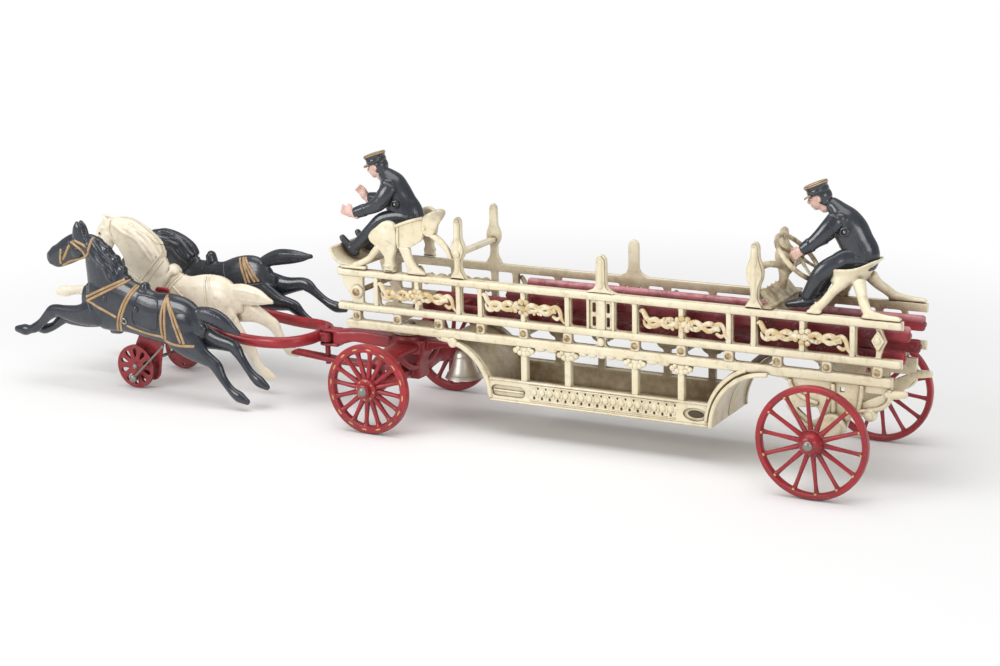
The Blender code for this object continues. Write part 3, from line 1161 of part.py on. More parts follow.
STEERSMAN = {
    "torso": [(9.0, 149.0, 11.0, 8.6), (7.8, 159, 12.2, 9.6), (0.5, 174, 13, 10.0), (-8.5, 187, 9, 8.6),
              (-14.5, 194.0, 4.2, 4.4)],
    "head": (-20.5, 198.0, 9.6, 7.6, 10.2),
    "cap": ((-23.5, 203.0), (-27.5, 209.0), (-32.0, 198.5)),
    "near_arm": [(-8, 184, 6.5, 4, -8.5), (-15.5, 175, 6, 3.9, -11.5), (-23, 167.5, 5, 3.5, -13.8),
                 (-31, 161.5, 3.4, 3.0, -15)],
    "near_hand": (-33.0, -15.2, 160.4, 4.2, 2.6, 3.2),
    "far_arm": [(-8, 184, 6.5, 4, 8.5), (-15.5, 175, 6, 3.9, 11.5), (-23, 167.5, 5, 3.5, 13.8),
                (-31, 161.5, 3.4, 3.0, 15)],
    "far_hand": (-33.0, 15.2, 160.4, 4.2, 2.6, 3.2),
    "near_leg": [(12, 155, 8.5, 4.4, -5.5), (-1, 155.0, 7, 4.2, -9.5), (-12, 151.0, 5.4, 4, -13.0),
                 (-18.2, 145.5, 4.2, 3.8, -14), (-27.5, 126, 3.7, 3.3, -14)],
    "shoe": [(-24.5, 124.6, 3.2, 3.3, -14), (-34.0, 122.6, 3.4, 3.3, -14), (-41.5, 121.0, 2.4, 2.6, -14)],
    "seat_cut": ((-10.0, 38.0), 148.8),
    "rivet": (0.0, 172.0),
}


def figure(shape):
    """Seated fireman before he is parted along the middle."""
    pieces = [loft(shape["torso"], sides=8)]
    x, z, rx, ry, rz = shape["head"]
    pieces.append(ball((x * MM, 0, z * MM), (rx * MM, ry * MM, rz * MM), 8, 6))
    pieces.append(ball(((x - rx + 0.6) * MM, 0, (z - 2.0) * MM), (1.6 * MM, 1.3 * MM, 2.2 * MM), 4, 3))
    low, high, brim = [Vector((p[0], 0, p[1])) * MM for p in shape["cap"]]
    axis = (high - low).normalized()
    pieces.append(turned([(0.0, 0.0040), (0.0098, 0.0030), (0.0092, -0.0042), (0.0, -0.0042)],
                         low + (high - low) * 0.5, axis, 8))
    peak = axis.cross(Vector((0, 1, 0)))
    peak = -peak if peak.x > 0 else peak
    pieces.append(rod(low - axis * 0.0012 + peak * 0.0050, low - axis * 0.0024 + peak * 0.0052 + axis * 0.0024,
                      0.0072, 0.0068, 6))
    for part in ("near_arm", "far_arm", "near_leg", "shoe"):
        pieces.append(loft(shape[part], sides=5))
    for part in ("near_leg", "shoe"):
        pieces.append(loft([s[:4] + (-s[4],) for s in shape[part]], sides=5))
    for part in ("near_hand", "far_hand"):
        hx, hy, hz, rx, ry, rz = [v * MM for v in shape[part]]
        pieces.append(ball((hx, hy, hz), (rx, ry, rz), 6, 4))
    body = fuse(pieces)
    (x0, x1), z = shape["seat_cut"]
    rx, rz = shape["rivet"]
    return cut(body, [box((x0 * MM, x1 * MM), (-0.03, 0.03), (z * MM - 0.03, z * MM)),
                      across((rx * MM, rz * MM), (-0.02, 0.02), bore(RIVET_R), 6)])


def crew(black, iron):
    for name, shape, x, seat in (("driver", DRIVER, 0.0, SEAT_TOP_Z),
                                 ("steersman", STEERSMAN, WHEELBASE, REAR_SEAT_TOP_Z)):
        z = seat + SEAT_GAP - shape["seat_cut"][1] * MM
        near, far = halves(figure(shape), 0.5)
        node("%s_near_half" % name, near, black, None, (x, 0, z), smooth=55)
        node("%s_far_half" % name, far, black, None, (x, 0, z), smooth=55)
        rx, rz = shape["rivet"]
        node("%s_rivet" % name, rivet(0.0100 + SEAT_GAP), iron, None, (x + rx * MM, 0, z + rz * MM))


def build():
    start()
    cream = paint("cream_enamel", (0.72, 0.64, 0.46), 0.35)
    red = paint("red_enamel", (0.42, 0.03, 0.05), 0.32)
    ladder_red = paint("ladder_red", (0.36, 0.04, 0.07), 0.45)
    black = paint("black_enamel", (0.020, 0.022, 0.028), 0.30)
    white = paint("ivory_enamel", (0.70, 0.64, 0.50), 0.35)
    nickel = paint("nickel_plate", (0.62, 0.58, 0.52), 0.25, 1.0)
    iron = paint("bare_iron", (0.30, 0.29, 0.26), 0.45, 1.0)

    bogie = pivot("bogie_axis", (0, 0, 0), ROOT)
    hitch = pivot("hitch_axis", (HITCH_X, 0, 0), bogie)
    team_x = TEAM_AXLE_X - HITCH_X
    cranks = [pivot("team_wheel_axis_%s" % name, (team_x, side * TEAM_TRACK_HALF, TEAM_WHEEL_R), hitch)
              for name, side in (("near", -1), ("far", 1))]
    horse_axes = [pivot("%s_horse_axis" % name, (PIVOT_X - HITCH_X, side * HORSE_SPACING, PIVOT_Z), hitch, tilt)
                  for name, side, tilt in (("near", -1, NEAR_TILT), ("middle", 0, MIDDLE_TILT),
                                           ("far", 1, FAR_TILT))]
    steer = pivot("steering_axis", (STEER_X, 0, STEER_Z), ROOT, STEER_TILT)

    frames_and_ties(cream, iron)
    well(cream)
    wheels(red, iron, bogie)
    ladders(ladder_red)
    bogie_group(red, cream, nickel, iron, bogie)
    yoke(red, iron, hitch)
    team_gear(red, iron, hitch, cranks)
    horses(black, white, iron, horse_axes)
    node("front_seat", front_seat(), cream)
    node("footboard", footboard(), cream)
    node("rear_seat", rear_seat(), cream)
    node("steering_post", steering_post(), cream)
    node("foot_plate", foot_plate(), cream)
    node("steering_wheel", steering_wheel(), cream, steer)
    crew(black, iron)
    centre_on_floor()


def centre_on_floor():
    """Stand the middle of the whole bounding box over the origin."""
    bpy.context.view_layer.update()
    spots = [obj.matrix_world @ v.co for obj in PARTS.objects if obj.type == "MESH" for v in obj.data.vertices]
    low = [min(s[i] for s in spots) for i in range(3)]
    high = [max(s[i] for s in spots) for i in range(3)]
    ROOT.location = (-(low[0] + high[0]) / 2, -(low[1] + high[1]) / 2, -low[2])
    bpy.context.view_layer.update()


build()
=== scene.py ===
"""Looks for the hook-and-ladder truck: enamelled castings, harness, gilt trim, crew, floor, light and camera.

Shapes are drawn in millimetres from the king pin: +X to the tail, -Y the near side, Z up from the floor.
"""
import math
import random

import bmesh
import bpy
from mathutils import Matrix, Vector
from mathutils.bvhtree import BVHTree


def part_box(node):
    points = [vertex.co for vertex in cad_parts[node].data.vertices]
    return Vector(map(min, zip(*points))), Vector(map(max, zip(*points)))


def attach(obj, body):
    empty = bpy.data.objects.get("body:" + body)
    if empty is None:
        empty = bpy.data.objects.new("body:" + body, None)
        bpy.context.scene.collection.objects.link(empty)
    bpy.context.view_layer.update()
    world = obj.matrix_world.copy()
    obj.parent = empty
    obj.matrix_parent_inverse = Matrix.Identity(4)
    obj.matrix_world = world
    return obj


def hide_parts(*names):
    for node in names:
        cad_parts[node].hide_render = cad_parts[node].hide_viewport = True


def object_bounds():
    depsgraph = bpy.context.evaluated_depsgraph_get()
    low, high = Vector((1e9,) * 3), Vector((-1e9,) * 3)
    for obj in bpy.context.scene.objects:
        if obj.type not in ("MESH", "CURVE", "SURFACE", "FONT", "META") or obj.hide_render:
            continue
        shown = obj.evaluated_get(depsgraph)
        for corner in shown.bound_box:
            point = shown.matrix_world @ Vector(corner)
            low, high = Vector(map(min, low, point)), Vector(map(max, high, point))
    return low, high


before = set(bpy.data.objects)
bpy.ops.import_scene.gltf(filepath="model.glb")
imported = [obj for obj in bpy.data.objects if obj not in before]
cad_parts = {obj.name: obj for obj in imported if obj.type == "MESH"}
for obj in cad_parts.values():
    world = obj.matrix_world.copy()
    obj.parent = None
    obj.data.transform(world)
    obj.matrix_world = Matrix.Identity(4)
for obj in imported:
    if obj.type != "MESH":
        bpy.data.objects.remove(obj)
CAD_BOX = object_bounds()
PIN_LOW, PIN_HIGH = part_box("king_pin")
KING = Vector(((PIN_LOW.x + PIN_HIGH.x) / 2, (PIN_LOW.y + PIN_HIGH.y) / 2, 0.0))
TO_ROW = Matrix.Translation(KING) @ Matrix.Scale(0.001, 4)
UP = Vector((0, 0, 1))

# Side frames
WHEELBASE = 362.0
MID = 181.8
RAIL_END = 228.5
LOW_END = 222.0
TOP_Z, MID_Z, LOW_Z = 117.5, 90.0, 76.2
TOP_H, LOW_H = 6.2, 7.6
FIRST, PITCH = 27.5, 36.8
SPREAD = 120.0
KNOB_Z = 83.3
FACE, BACK, INNER = 30.6, 27.0, 26.7
UPRIGHT_W = 5.2
UPRIGHTS = [FIRST, FIRST + PITCH, FIRST + 2 * PITCH, SPREAD, FIRST + 3.5 * PITCH, FIRST + 4.5 * PITCH]

# Well
WELL_LEFT, WELL_RIGHT = 86.0, 271.0
WELL_Z, BOARD_H = 27.8, 17.8
FRONT_ARCH = (44.0, 27.8, 42.0)
REAR_ARCH = (313.8, 29.8, 45.0)
SHELL = 2.2
BOARD_Z, PANEL_X = 36.6, 257.5
EGGS = [126.0 + 6.6 * i for i in range(18)]

# Wheels and rods
REAR_R, REAR_Y = 40.8, 75.0
FRONT_R, FRONT_Y = 35.5, 66.5
TEAM_R, TEAM_Y, TEAM_X = 18.4, 33.0, -249.0
CRANK = 9.5
HORSE_ROD = (-224.7, 76.0)
REST_R = 3.0
BAR_Z = 140.0


# Small geometry helpers

WELD = 0.002
SEAM = 0.15


def mesh_of(obj):
    """Evaluate a working object, drop it, and give back its mesh as a bmesh."""
    bpy.context.view_layer.update()
    graph = bpy.context.evaluated_depsgraph_get()
    mesh = bpy.data.meshes.new_from_object(obj.evaluated_get(graph))
    mesh.transform(obj.matrix_world)
    bpy.data.objects.remove(obj, do_unlink=True)
    bm = bmesh.new()
    bm.from_mesh(mesh)
    bpy.data.meshes.remove(mesh)
    return bm


def working(name, data):
    obj = bpy.data.objects.new(name, data)
    bpy.context.scene.collection.objects.link(obj)
    return obj


def as_mesh(bm, name):
    """Turn a bmesh into mesh data and free it."""
    mesh = bpy.data.meshes.new(name)
    bm.to_mesh(mesh)
    bm.free()
    return mesh


def tidy(bm):
    bmesh.ops.remove_doubles(bm, verts=bm.verts, dist=WELD)
    bmesh.ops.recalc_face_normals(bm, faces=bm.faces)
    return bm


def moved(bm, matrix):
    bmesh.ops.transform(bm, matrix=matrix, verts=bm.verts)
    if matrix.determinant() < 0:
        bmesh.ops.reverse_faces(bm, faces=bm.faces)
    return bm


def sliced(bm, place, normal, reach=0.001):
    """Cut off what lies beyond a plane and close the cut."""
    geom = bm.verts[:] + bm.edges[:] + bm.faces[:]
    found = bmesh.ops.bisect_plane(bm, geom=geom, dist=reach, plane_co=place, plane_no=normal,
                                   clear_outer=True)
    bmesh.ops.holes_fill(bm, edges=[e for e in found["geom_cut"] if isinstance(e, bmesh.types.BMEdge)])
    return bm


def joined(chunks):
    whole = bmesh.new()
    for bm in chunks:
        mesh = as_mesh(bm, "chunk")
        whole.from_mesh(mesh)
        bpy.data.meshes.remove(mesh)
    return whole


def painted(shapes, finish):
    return [(bm, finish) for bm in shapes]


def placed(parts, matrix):
    return [(moved(bm, matrix), finish) for bm, finish in parts]


def mirrored(parts):
    return placed(parts, Matrix.Diagonal((1, -1, 1, 1)))


def about(middle, half):
    """Span of a given half length."""
    return middle - half, middle + half


def around(count):
    """Cosine and sine of equal steps of a full turn."""
    return [(math.cos(2 * math.pi * k / count), math.sin(2 * math.pi * k / count)) for k in range(count)]


def oval(x, z, half_x, half_z, count):
    return [(x + half_x * c, z + half_z * s) for c, s in around(count)]


def rounded(points, r, steps=3):
    """Polygon with its corners drawn as small arcs."""
    out = []
    count = len(points)
    for i in range(count):
        p = Vector(points[i])
        a = Vector(points[i - 1]) - p
        b = Vector(points[(i + 1) % count]) - p
        reach = min(r, a.length * 0.45, b.length * 0.45)
        if reach < 0.05:
            out.append(tuple(p))
            continue
        start, end = p + a.normalized() * reach, p + b.normalized() * reach
        for k in range(steps + 1):
            t = k / steps
            out.append(tuple(start * (1 - t) ** 2 + p * (2 * t * (1 - t)) + end * t ** 2))
    return out


def arc(centre, r, start_deg, end_deg, steps):
    angles = [math.radians(start_deg + (end_deg - start_deg) * i / steps) for i in range(steps + 1)]
    return [(centre[0] + r * math.cos(a), centre[1] + r * math.sin(a)) for a in angles]


def block(x, z):
    return [(x[0], z[0]), (x[1], z[0]), (x[1], z[1]), (x[0], z[1])]


def slab(outline, holes, y, soft=0.6, res=2):
    """Cast plate: an XZ outline with holes, between two y values, its edges rounded."""
    curve = bpy.data.curves.new("slab", "CURVE")
    curve.dimensions = "2D"
    curve.fill_mode = "BOTH"
    curve.extrude = max(abs(y[1] - y[0]) / 2 - soft, 0.0)
    curve.bevel_depth = soft
    curve.bevel_resolution = res
    curve.offset = -soft
    for loop in [outline] + list(holes):
        spline = curve.splines.new("POLY")
        spline.points.add(len(loop) - 1)
        for point, (px, pz) in zip(spline.points, loop):
            point.co = (px, pz, 0.0, 1.0)
        spline.use_cyclic_u = True
    obj = working("slab", curve)
    obj.matrix_world = Matrix.Translation((0, (y[0] + y[1]) / 2, 0)) @ Matrix.Rotation(math.pi / 2, 4, "X")
    return tidy(mesh_of(obj))


def smooth_line(points, per):
    """Catmull-Rom line through points of any number of values."""
    pts = [tuple(p) for p in points]
    out = []
    last = len(pts) - 1
    for i in range(last):
        p0, p1, p2, p3 = pts[max(i - 1, 0)], pts[i], pts[i + 1], pts[min(i + 2, last)]
        for k in range(per):
            t = k / per
            out.append(tuple(0.5 * (2 * b + (c - a) * t + (2 * a - 5 * b + 4 * c - d) * t * t
                                    + (3 * b - a - 3 * c + d) * t ** 3)
                             for a, b, c, d in zip(p0, p1, p2, p3)))
    out.append(pts[-1])
    return out


def skin(rings):
    """Close a row of equal rings into a body, with a fan at each end."""
    bm = bmesh.new()
    rows = [[bm.verts.new(p) for p in ring] for ring in rings]
    count = len(rows[0])
    for one, two in zip(rows, rows[1:]):
        for k in range(count):
            n = (k + 1) % count
            bm.faces.new((one[k], one[n], two[n], two[k]))
    for row in (rows[0], rows[-1]):
        centre = bm.verts.new(sum((v.co for v in row), Vector()) / count)
        for k in range(count):
            bm.faces.new((row[k], row[(k + 1) % count], centre))
    bmesh.ops.recalc_face_normals(bm, faces=bm.faces)
    return bm


def tube(points, radii, sides=12, per=5, flat=1.0, cap=0.5):
    """Round bar along a smooth line: radii is one value or one for each point, flat squeezes it along Y."""
    if not hasattr(radii, "__len__"):
        radii = [radii] * len(points)
    line = [tuple(p) + (r,) for p, r in zip(points, radii)]
    if per > 1:
        line = smooth_line(line, per)
    spots = [Vector(p[:3]) for p in line]
    rings = []
    side = None
    for i, spot in enumerate(spots):
        along = (spots[min(i + 1, len(spots) - 1)] - spots[max(i - 1, 0)]).normalized()
        if side is None:
            side = along.cross(Vector((0, 1, 0)) if abs(along.y) < 0.9 else UP).normalized()
        else:
            side = (side - along * side.dot(along)).normalized()
        other = along.cross(side)
        r = line[i][3]

        def ring(centre, radius):
            out = []
            for c, s in around(sides):
                d = side * (c * radius) + other * (s * radius)
                d.y *= flat
                out.append(centre + d)
            return out

        if i == 0 and cap:
            rings.append(ring(spot - along * r * cap * 0.94, r * 0.45))
            rings.append(ring(spot - along * r * cap * 0.7, r * 0.8))
        rings.append(ring(spot, r))
        if i == len(spots) - 1 and cap:
            rings.append(ring(spot + along * r * cap * 0.7, r * 0.8))
            rings.append(ring(spot + along * r * cap * 0.94, r * 0.45))
    return skin(rings)


def limb(stations, sides=20, per=6, y=0.0, ends=0.6):
    """Swelling form in the XZ plane: stations are (x, z, half height, half width[, y shift])."""
    full = [tuple(s) + ((0.0,) if len(s) == 4 else ()) for s in stations]
    line = smooth_line(full, per)
    spots = [Vector((s[0], s[4] + y, s[1])) for s in line]
    rings = []
    last = len(line) - 1

    def ring(centre, up, high, wide):
        return [centre + up * (high * rise) + Vector((0, wide * out, 0)) for out, rise in around(sides)]

    for i, s in enumerate(line):
        d = spots[min(i + 1, last)] - spots[max(i - 1, 0)]
        along = Vector((d.x, 0, d.z)).normalized()
        up = Vector((-along.z, 0, along.x))
        if i == 0:
            for back, part in ((0.95, 0.4), (0.7, 0.75)):
                rings.append(ring(spots[0] - along * s[2] * ends * back, up, s[2] * part, s[3] * part))
        rings.append(ring(spots[i], up, s[2], s[3]))
        if i == last:
            for out, part in ((0.7, 0.75), (0.95, 0.4)):
                rings.append(ring(spots[i] + along * s[2] * ends * out, up, s[2] * part, s[3] * part))
    return skin(rings)


def lathe(profile, place=(0, 0, 0), axis=(0, 0, 1), steps=40, ring=False):
    """Turned body from (radius, height) pairs; ring joins the last pair to the first."""
    turn = UP.rotation_difference(Vector(axis)).to_matrix()
    bm = bmesh.new()
    rows = []
    for r, h in profile:
        if r < 1e-6:
            rows.append([bm.verts.new(Vector(place) + turn @ Vector((0, 0, h)))])
        else:
            rows.append([bm.verts.new(Vector(place) + turn @ Vector((r * c, r * s, h)))
                         for c, s in around(steps)])
    pairs = list(zip(rows, rows[1:])) + ([(rows[-1], rows[0])] if ring else [])
    for one, two in pairs:
        for k in range(steps):
            n = (k + 1) % steps
            if len(one) == 1 and len(two) > 1:
                bm.faces.new((one[0], two[k], two[n]))
            elif len(two) == 1 and len(one) > 1:
                bm.faces.new((one[k], one[n], two[0]))
            elif len(one) > 1:
                bm.faces.new((one[k], one[n], two[n], two[k]))
    if not ring:
        for row in (rows[0], rows[-1]):
            if len(row) > 1:
                bm.faces.new(row)
    bmesh.ops.recalc_face_normals(bm, faces=bm.faces)
    return bm


def ball(centre, radii, segments=24, rings=14):
    bm = bmesh.new()
    bmesh.ops.create_uvsphere(bm, u_segments=segments, v_segments=rings, radius=1.0)
    return moved(bm, Matrix.Translation(centre) @ Matrix.Diagonal((*radii, 1)))


def tipped(degrees):
    return Matrix.Rotation(math.radians(degrees), 4, "Y")


def rod(a, b, r, r_end=None, sides=20):
    a, b = Vector(a), Vector(b)
    bm = bmesh.new()
    bmesh.ops.create_cone(bm, cap_ends=True, segments=sides, radius1=r,
                          radius2=r if r_end is None else r_end, depth=(b - a).length)
    turn = UP.rotation_difference(b - a).to_matrix().to_4x4()
    return moved(bm, Matrix.Translation((a + b) / 2) @ turn)


def brick(x, y, z, soft=0.6, res=2):
    """Block with rounded edges."""
    bm = bmesh.new()
    bmesh.ops.create_cube(bm, size=1.0)
    size = Matrix.Diagonal((abs(x[1] - x[0]), abs(y[1] - y[0]), abs(z[1] - z[0]), 1))
    moved(bm, Matrix.Translation(((x[0] + x[1]) / 2, (y[0] + y[1]) / 2, (z[0] + z[1]) / 2)) @ size)
    bmesh.ops.bevel(bm, geom=bm.edges[:], offset=soft, segments=res + 1, profile=0.5, affect="EDGES")
    return bm


def melt(chunks, voxel, rounds):
    """Run separate forms together into one cast body and soften where they meet."""
    obj = working("melt", as_mesh(joined(chunks), "melt"))
    remesh = obj.modifiers.new("remesh", "REMESH")
    remesh.mode = "VOXEL"
    remesh.voxel_size = voxel
    soften = obj.modifiers.new("soften", "SMOOTH")
    soften.factor = 0.5
    soften.iterations = rounds
    return mesh_of(obj)


def peened(place, side, r=3.0, height=1.8):
    """Peened end of a rod, its dome towards -Y or +Y."""
    profile = [(0, height), (r * 0.45, height * 0.93), (r * 0.8, height * 0.62), (r, height * 0.12),
               (r, -0.4), (0, -0.4)]
    return lathe(profile, place, (0, side, 0), 24)


def against(hit, normal):
    """Placement that stands a part's Z along the normal of a body's side."""
    return Matrix.Translation(hit) @ UP.rotation_difference(normal).to_matrix().to_4x4()


def catch(tree, x, z, side, reach=70.0):
    """Point and normal where a line across the body meets its near or far side."""
    hit, normal, _, _ = tree.ray_cast(Vector((x, side * reach, z)), Vector((0, -side, 0)))
    return (hit, normal) if hit else (None, None)


def strap(tree, line, side, width=1.6, thick=0.55, per=8, y_from=70.0):
    """Raised band that follows a body's side along an XZ line."""
    rings = []
    last = None
    spots = smooth_line(line, per)
    for i, (x, z) in enumerate(spots):
        hit, normal = catch(tree, x, z, side, y_from)
        if hit is None:
            continue
        ahead, behind = spots[min(i + 1, len(spots) - 1)], spots[max(i - 1, 0)]
        along = Vector((ahead[0] - behind[0], 0, ahead[1] - behind[1]))
        if along.length < 1e-6:
            continue
        if abs(normal.y) < 0.35:
            normal = Vector((normal.x, math.copysign(0.35, side), normal.z)).normalized()
        if last is not None and (hit - last).length > 9:
            break
        last = hit
        across = along.cross(normal).normalized()
        shape = ((-0.5, -0.5), (-0.5, 0.35), (-0.3, 0.85), (0.0, 1.0), (0.3, 0.85), (0.5, 0.35), (0.5, -0.5))
        rings.append([hit + across * (u * width) + normal * (v * thick) for u, v in shape])
    return skin(rings) if len(rings) > 1 else bmesh.new()


# Node trees that repeat a part

def repeat_tree(turning):
    """Node tree that sets copies of a part round an axis along Y, or in a row."""
    tree = bpy.data.node_groups.new("ring_of_parts" if turning else "row_of_parts", "GeometryNodeTree")
    face = tree.interface
    face.new_socket("Geometry", in_out="INPUT", socket_type="NodeSocketGeometry")
    face.new_socket("Part", in_out="INPUT", socket_type="NodeSocketObject")
    face.new_socket("Count", in_out="INPUT", socket_type="NodeSocketInt")
    face.new_socket("Start", in_out="INPUT",
                    socket_type="NodeSocketFloat" if turning else "NodeSocketVector")
    if not turning:
        face.new_socket("Step", in_out="INPUT", socket_type="NodeSocketVector")
    face.new_socket("Finish", in_out="INPUT", socket_type="NodeSocketMaterial")
    face.new_socket("Geometry", in_out="OUTPUT", socket_type="NodeSocketGeometry")
    make, link = tree.nodes.new, tree.links.new
    given, out = make("NodeGroupInput"), make("NodeGroupOutput")
    part = make("GeometryNodeObjectInfo")
    link(given.outputs["Part"], part.inputs["Object"])
    line = make("GeometryNodeMeshLine")
    link(given.outputs["Count"], line.inputs["Count"])
    spread = make("GeometryNodeInstanceOnPoints")
    link(part.outputs["Geometry"], spread.inputs["Instance"])
    link(line.outputs["Mesh"], spread.inputs["Points"])
    if turning:
        line.inputs["Offset"].default_value = (0, 0, 0)
        index = make("GeometryNodeInputIndex")
        share = make("ShaderNodeMath")
        share.operation = "DIVIDE"
        link(index.outputs[0], share.inputs[0])
        link(given.outputs["Count"], share.inputs[1])
        angle = make("ShaderNodeMath")
        angle.operation = "MULTIPLY_ADD"
        angle.inputs[1].default_value = 2 * math.pi
        link(share.outputs[0], angle.inputs[0])
        link(given.outputs["Start"], angle.inputs[2])
        turn = make("ShaderNodeCombineXYZ")
        link(angle.outputs[0], turn.inputs["Y"])
        link(turn.outputs[0], spread.inputs["Rotation"])
    else:
        link(given.outputs["Start"], line.inputs["Start Location"])
        link(given.outputs["Step"], line.inputs["Offset"])
    real = make("GeometryNodeRealizeInstances")
    dress = make("GeometryNodeSetMaterial")
    link(spread.outputs[0], real.inputs[0])
    link(real.outputs[0], dress.inputs["Geometry"])
    link(given.outputs["Finish"], dress.inputs["Material"])
    link(dress.outputs[0], out.inputs[0])
    return tree


RING_TREE = repeat_tree(True)
ROW_TREE = repeat_tree(False)


def repeated(tree, part, finish, count, start, step=None):
    """Copies of a part as one mesh, made by a node tree."""
    source = working("part", as_mesh(part, "part"))
    carrier = working("copies", bpy.data.meshes.new("copies"))
    mod = carrier.modifiers.new("copies", "NODES")
    mod.node_group = tree
    keys = {i.name: i.identifier for i in tree.interface.items_tree if i.in_out == "INPUT"}
    mod[keys["Part"]] = source
    mod[keys["Count"]] = count
    mod[keys["Start"]] = start
    if step is not None:
        mod[keys["Step"]] = step
    mod[keys["Finish"]] = finish
    bm = mesh_of(carrier)
    bpy.data.objects.remove(source, do_unlink=True)
    return bm


def round_the_hub(part, finish, count, start_deg=0.0):
    return repeated(RING_TREE, part, finish, count, math.radians(start_deg))


def in_a_row(part, finish, count, start, step):
    return repeated(ROW_TREE, part, finish, count, start, step)


def piece(name, body, parts, stands_for=(), crease=36.0):
    """Join (shape, finish) pairs into one named piece on a body of the truck."""
    finishes = []
    for bm, finish in parts:
        if finish not in finishes:
            finishes.append(finish)
        for face in bm.faces:
            face.material_index = finishes.index(finish)
            face.smooth = True
    mesh = as_mesh(moved(joined([bm for bm, _ in parts]), TO_ROW), name)
    mesh.set_sharp_from_angle(angle=math.radians(crease))
    for finish in finishes:
        mesh.materials.append(finish)
    obj = working(name, mesh)
    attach(obj, body)
    if stands_for:
        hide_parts(*stands_for)
    return obj


# Finishes

CENTRE = (CAD_BOX[0] + CAD_BOX[1]) / 2


class Graph:
    """Short hand for wiring one material."""

    def __init__(self, name):
        self.mat = bpy.data.materials.new(name)
        self.mat.use_nodes = True
        self.tree = self.mat.node_tree
        self.shader = self.tree.nodes["Principled BSDF"]
        coords = self.tree.nodes.new("ShaderNodeTexCoord")
        place = self.tree.nodes.new("ShaderNodeMapping")
        place.inputs["Location"].default_value = tuple(-CENTRE)
        self.link(coords.outputs["Object"], place.inputs["Vector"])
        self.place = place.outputs["Vector"]

    def link(self, a, b):
        self.tree.links.new(a, b)

    def put(self, socket, value):
        if isinstance(value, bpy.types.NodeSocket):
            self.link(value, socket)
        elif hasattr(value, "__len__") and len(value) == 3 and len(socket.default_value) == 4:
            socket.default_value = (*value, 1.0)
        else:
            socket.default_value = value

    def noise(self, scale, detail, rough=0.55):
        node = self.tree.nodes.new("ShaderNodeTexNoise")
        for key, value in (("Scale", scale), ("Detail", detail), ("Roughness", rough),
                           ("Vector", self.place)):
            self.put(node.inputs[key], value)
        return node.outputs["Fac"]

    def math(self, kind, a, b, clamp=False):
        node = self.tree.nodes.new("ShaderNodeMath")
        node.operation = kind
        node.use_clamp = clamp
        for socket, value in zip(node.inputs, (a, b)):
            self.put(socket, value)
        return node.outputs[0]

    def ease(self, value, low, high, to_low=0.0, to_high=1.0):
        node = self.tree.nodes.new("ShaderNodeMapRange")
        node.interpolation_type = "SMOOTHSTEP"
        for key, v in (("Value", value), ("From Min", low), ("From Max", high), ("To Min", to_low),
                       ("To Max", to_high)):
            self.put(node.inputs[key], v)
        return node.outputs["Result"]

    def mix(self, share, a, b):
        node = self.tree.nodes.new("ShaderNodeMix")
        node.data_type = "RGBA"
        for socket, value in zip((node.inputs[0], node.inputs[6], node.inputs[7]), (share, a, b)):
            self.put(socket, value)
        return node.outputs[2]

    def corner(self, distance):
        """1 in tight corners, 0 in the open."""
        node = self.tree.nodes.new("ShaderNodeAmbientOcclusion")
        node.samples = 6
        node.inputs["Distance"].default_value = distance
        return self.math("SUBTRACT", 1.0, node.outputs["AO"])

    def edge(self, radius):
        """Grows on sharp outer edges."""
        bevel = self.tree.nodes.new("ShaderNodeBevel")
        bevel.samples = 4
        bevel.inputs["Radius"].default_value = radius
        geo = self.tree.nodes.new("ShaderNodeNewGeometry")
        dot = self.tree.nodes.new("ShaderNodeVectorMath")
        dot.operation = "DOT_PRODUCT"
        self.link(bevel.outputs[0], dot.inputs[0])
        self.link(geo.outputs["Normal"], dot.inputs[1])
        return self.math("SUBTRACT", 1.0, dot.outputs["Value"])

    def high(self, low, top):
        """0 below one height and 1 above another, in row metres."""
        coords = self.tree.nodes.new("ShaderNodeTexCoord")
        split = self.tree.nodes.new("ShaderNodeSeparateXYZ")
        self.link(coords.outputs["Object"], split.inputs[0])
        return self.ease(split.outputs["Z"], low, top)

    def bump(self, height, distance, strength=1.0):
        node = self.tree.nodes.new("ShaderNodeBump")
        node.inputs["Distance"].default_value = distance
        node.inputs["Strength"].default_value = strength
        self.link(height, node.inputs["Height"])
        self.link(node.outputs["Normal"], self.shader.inputs["Normal"])


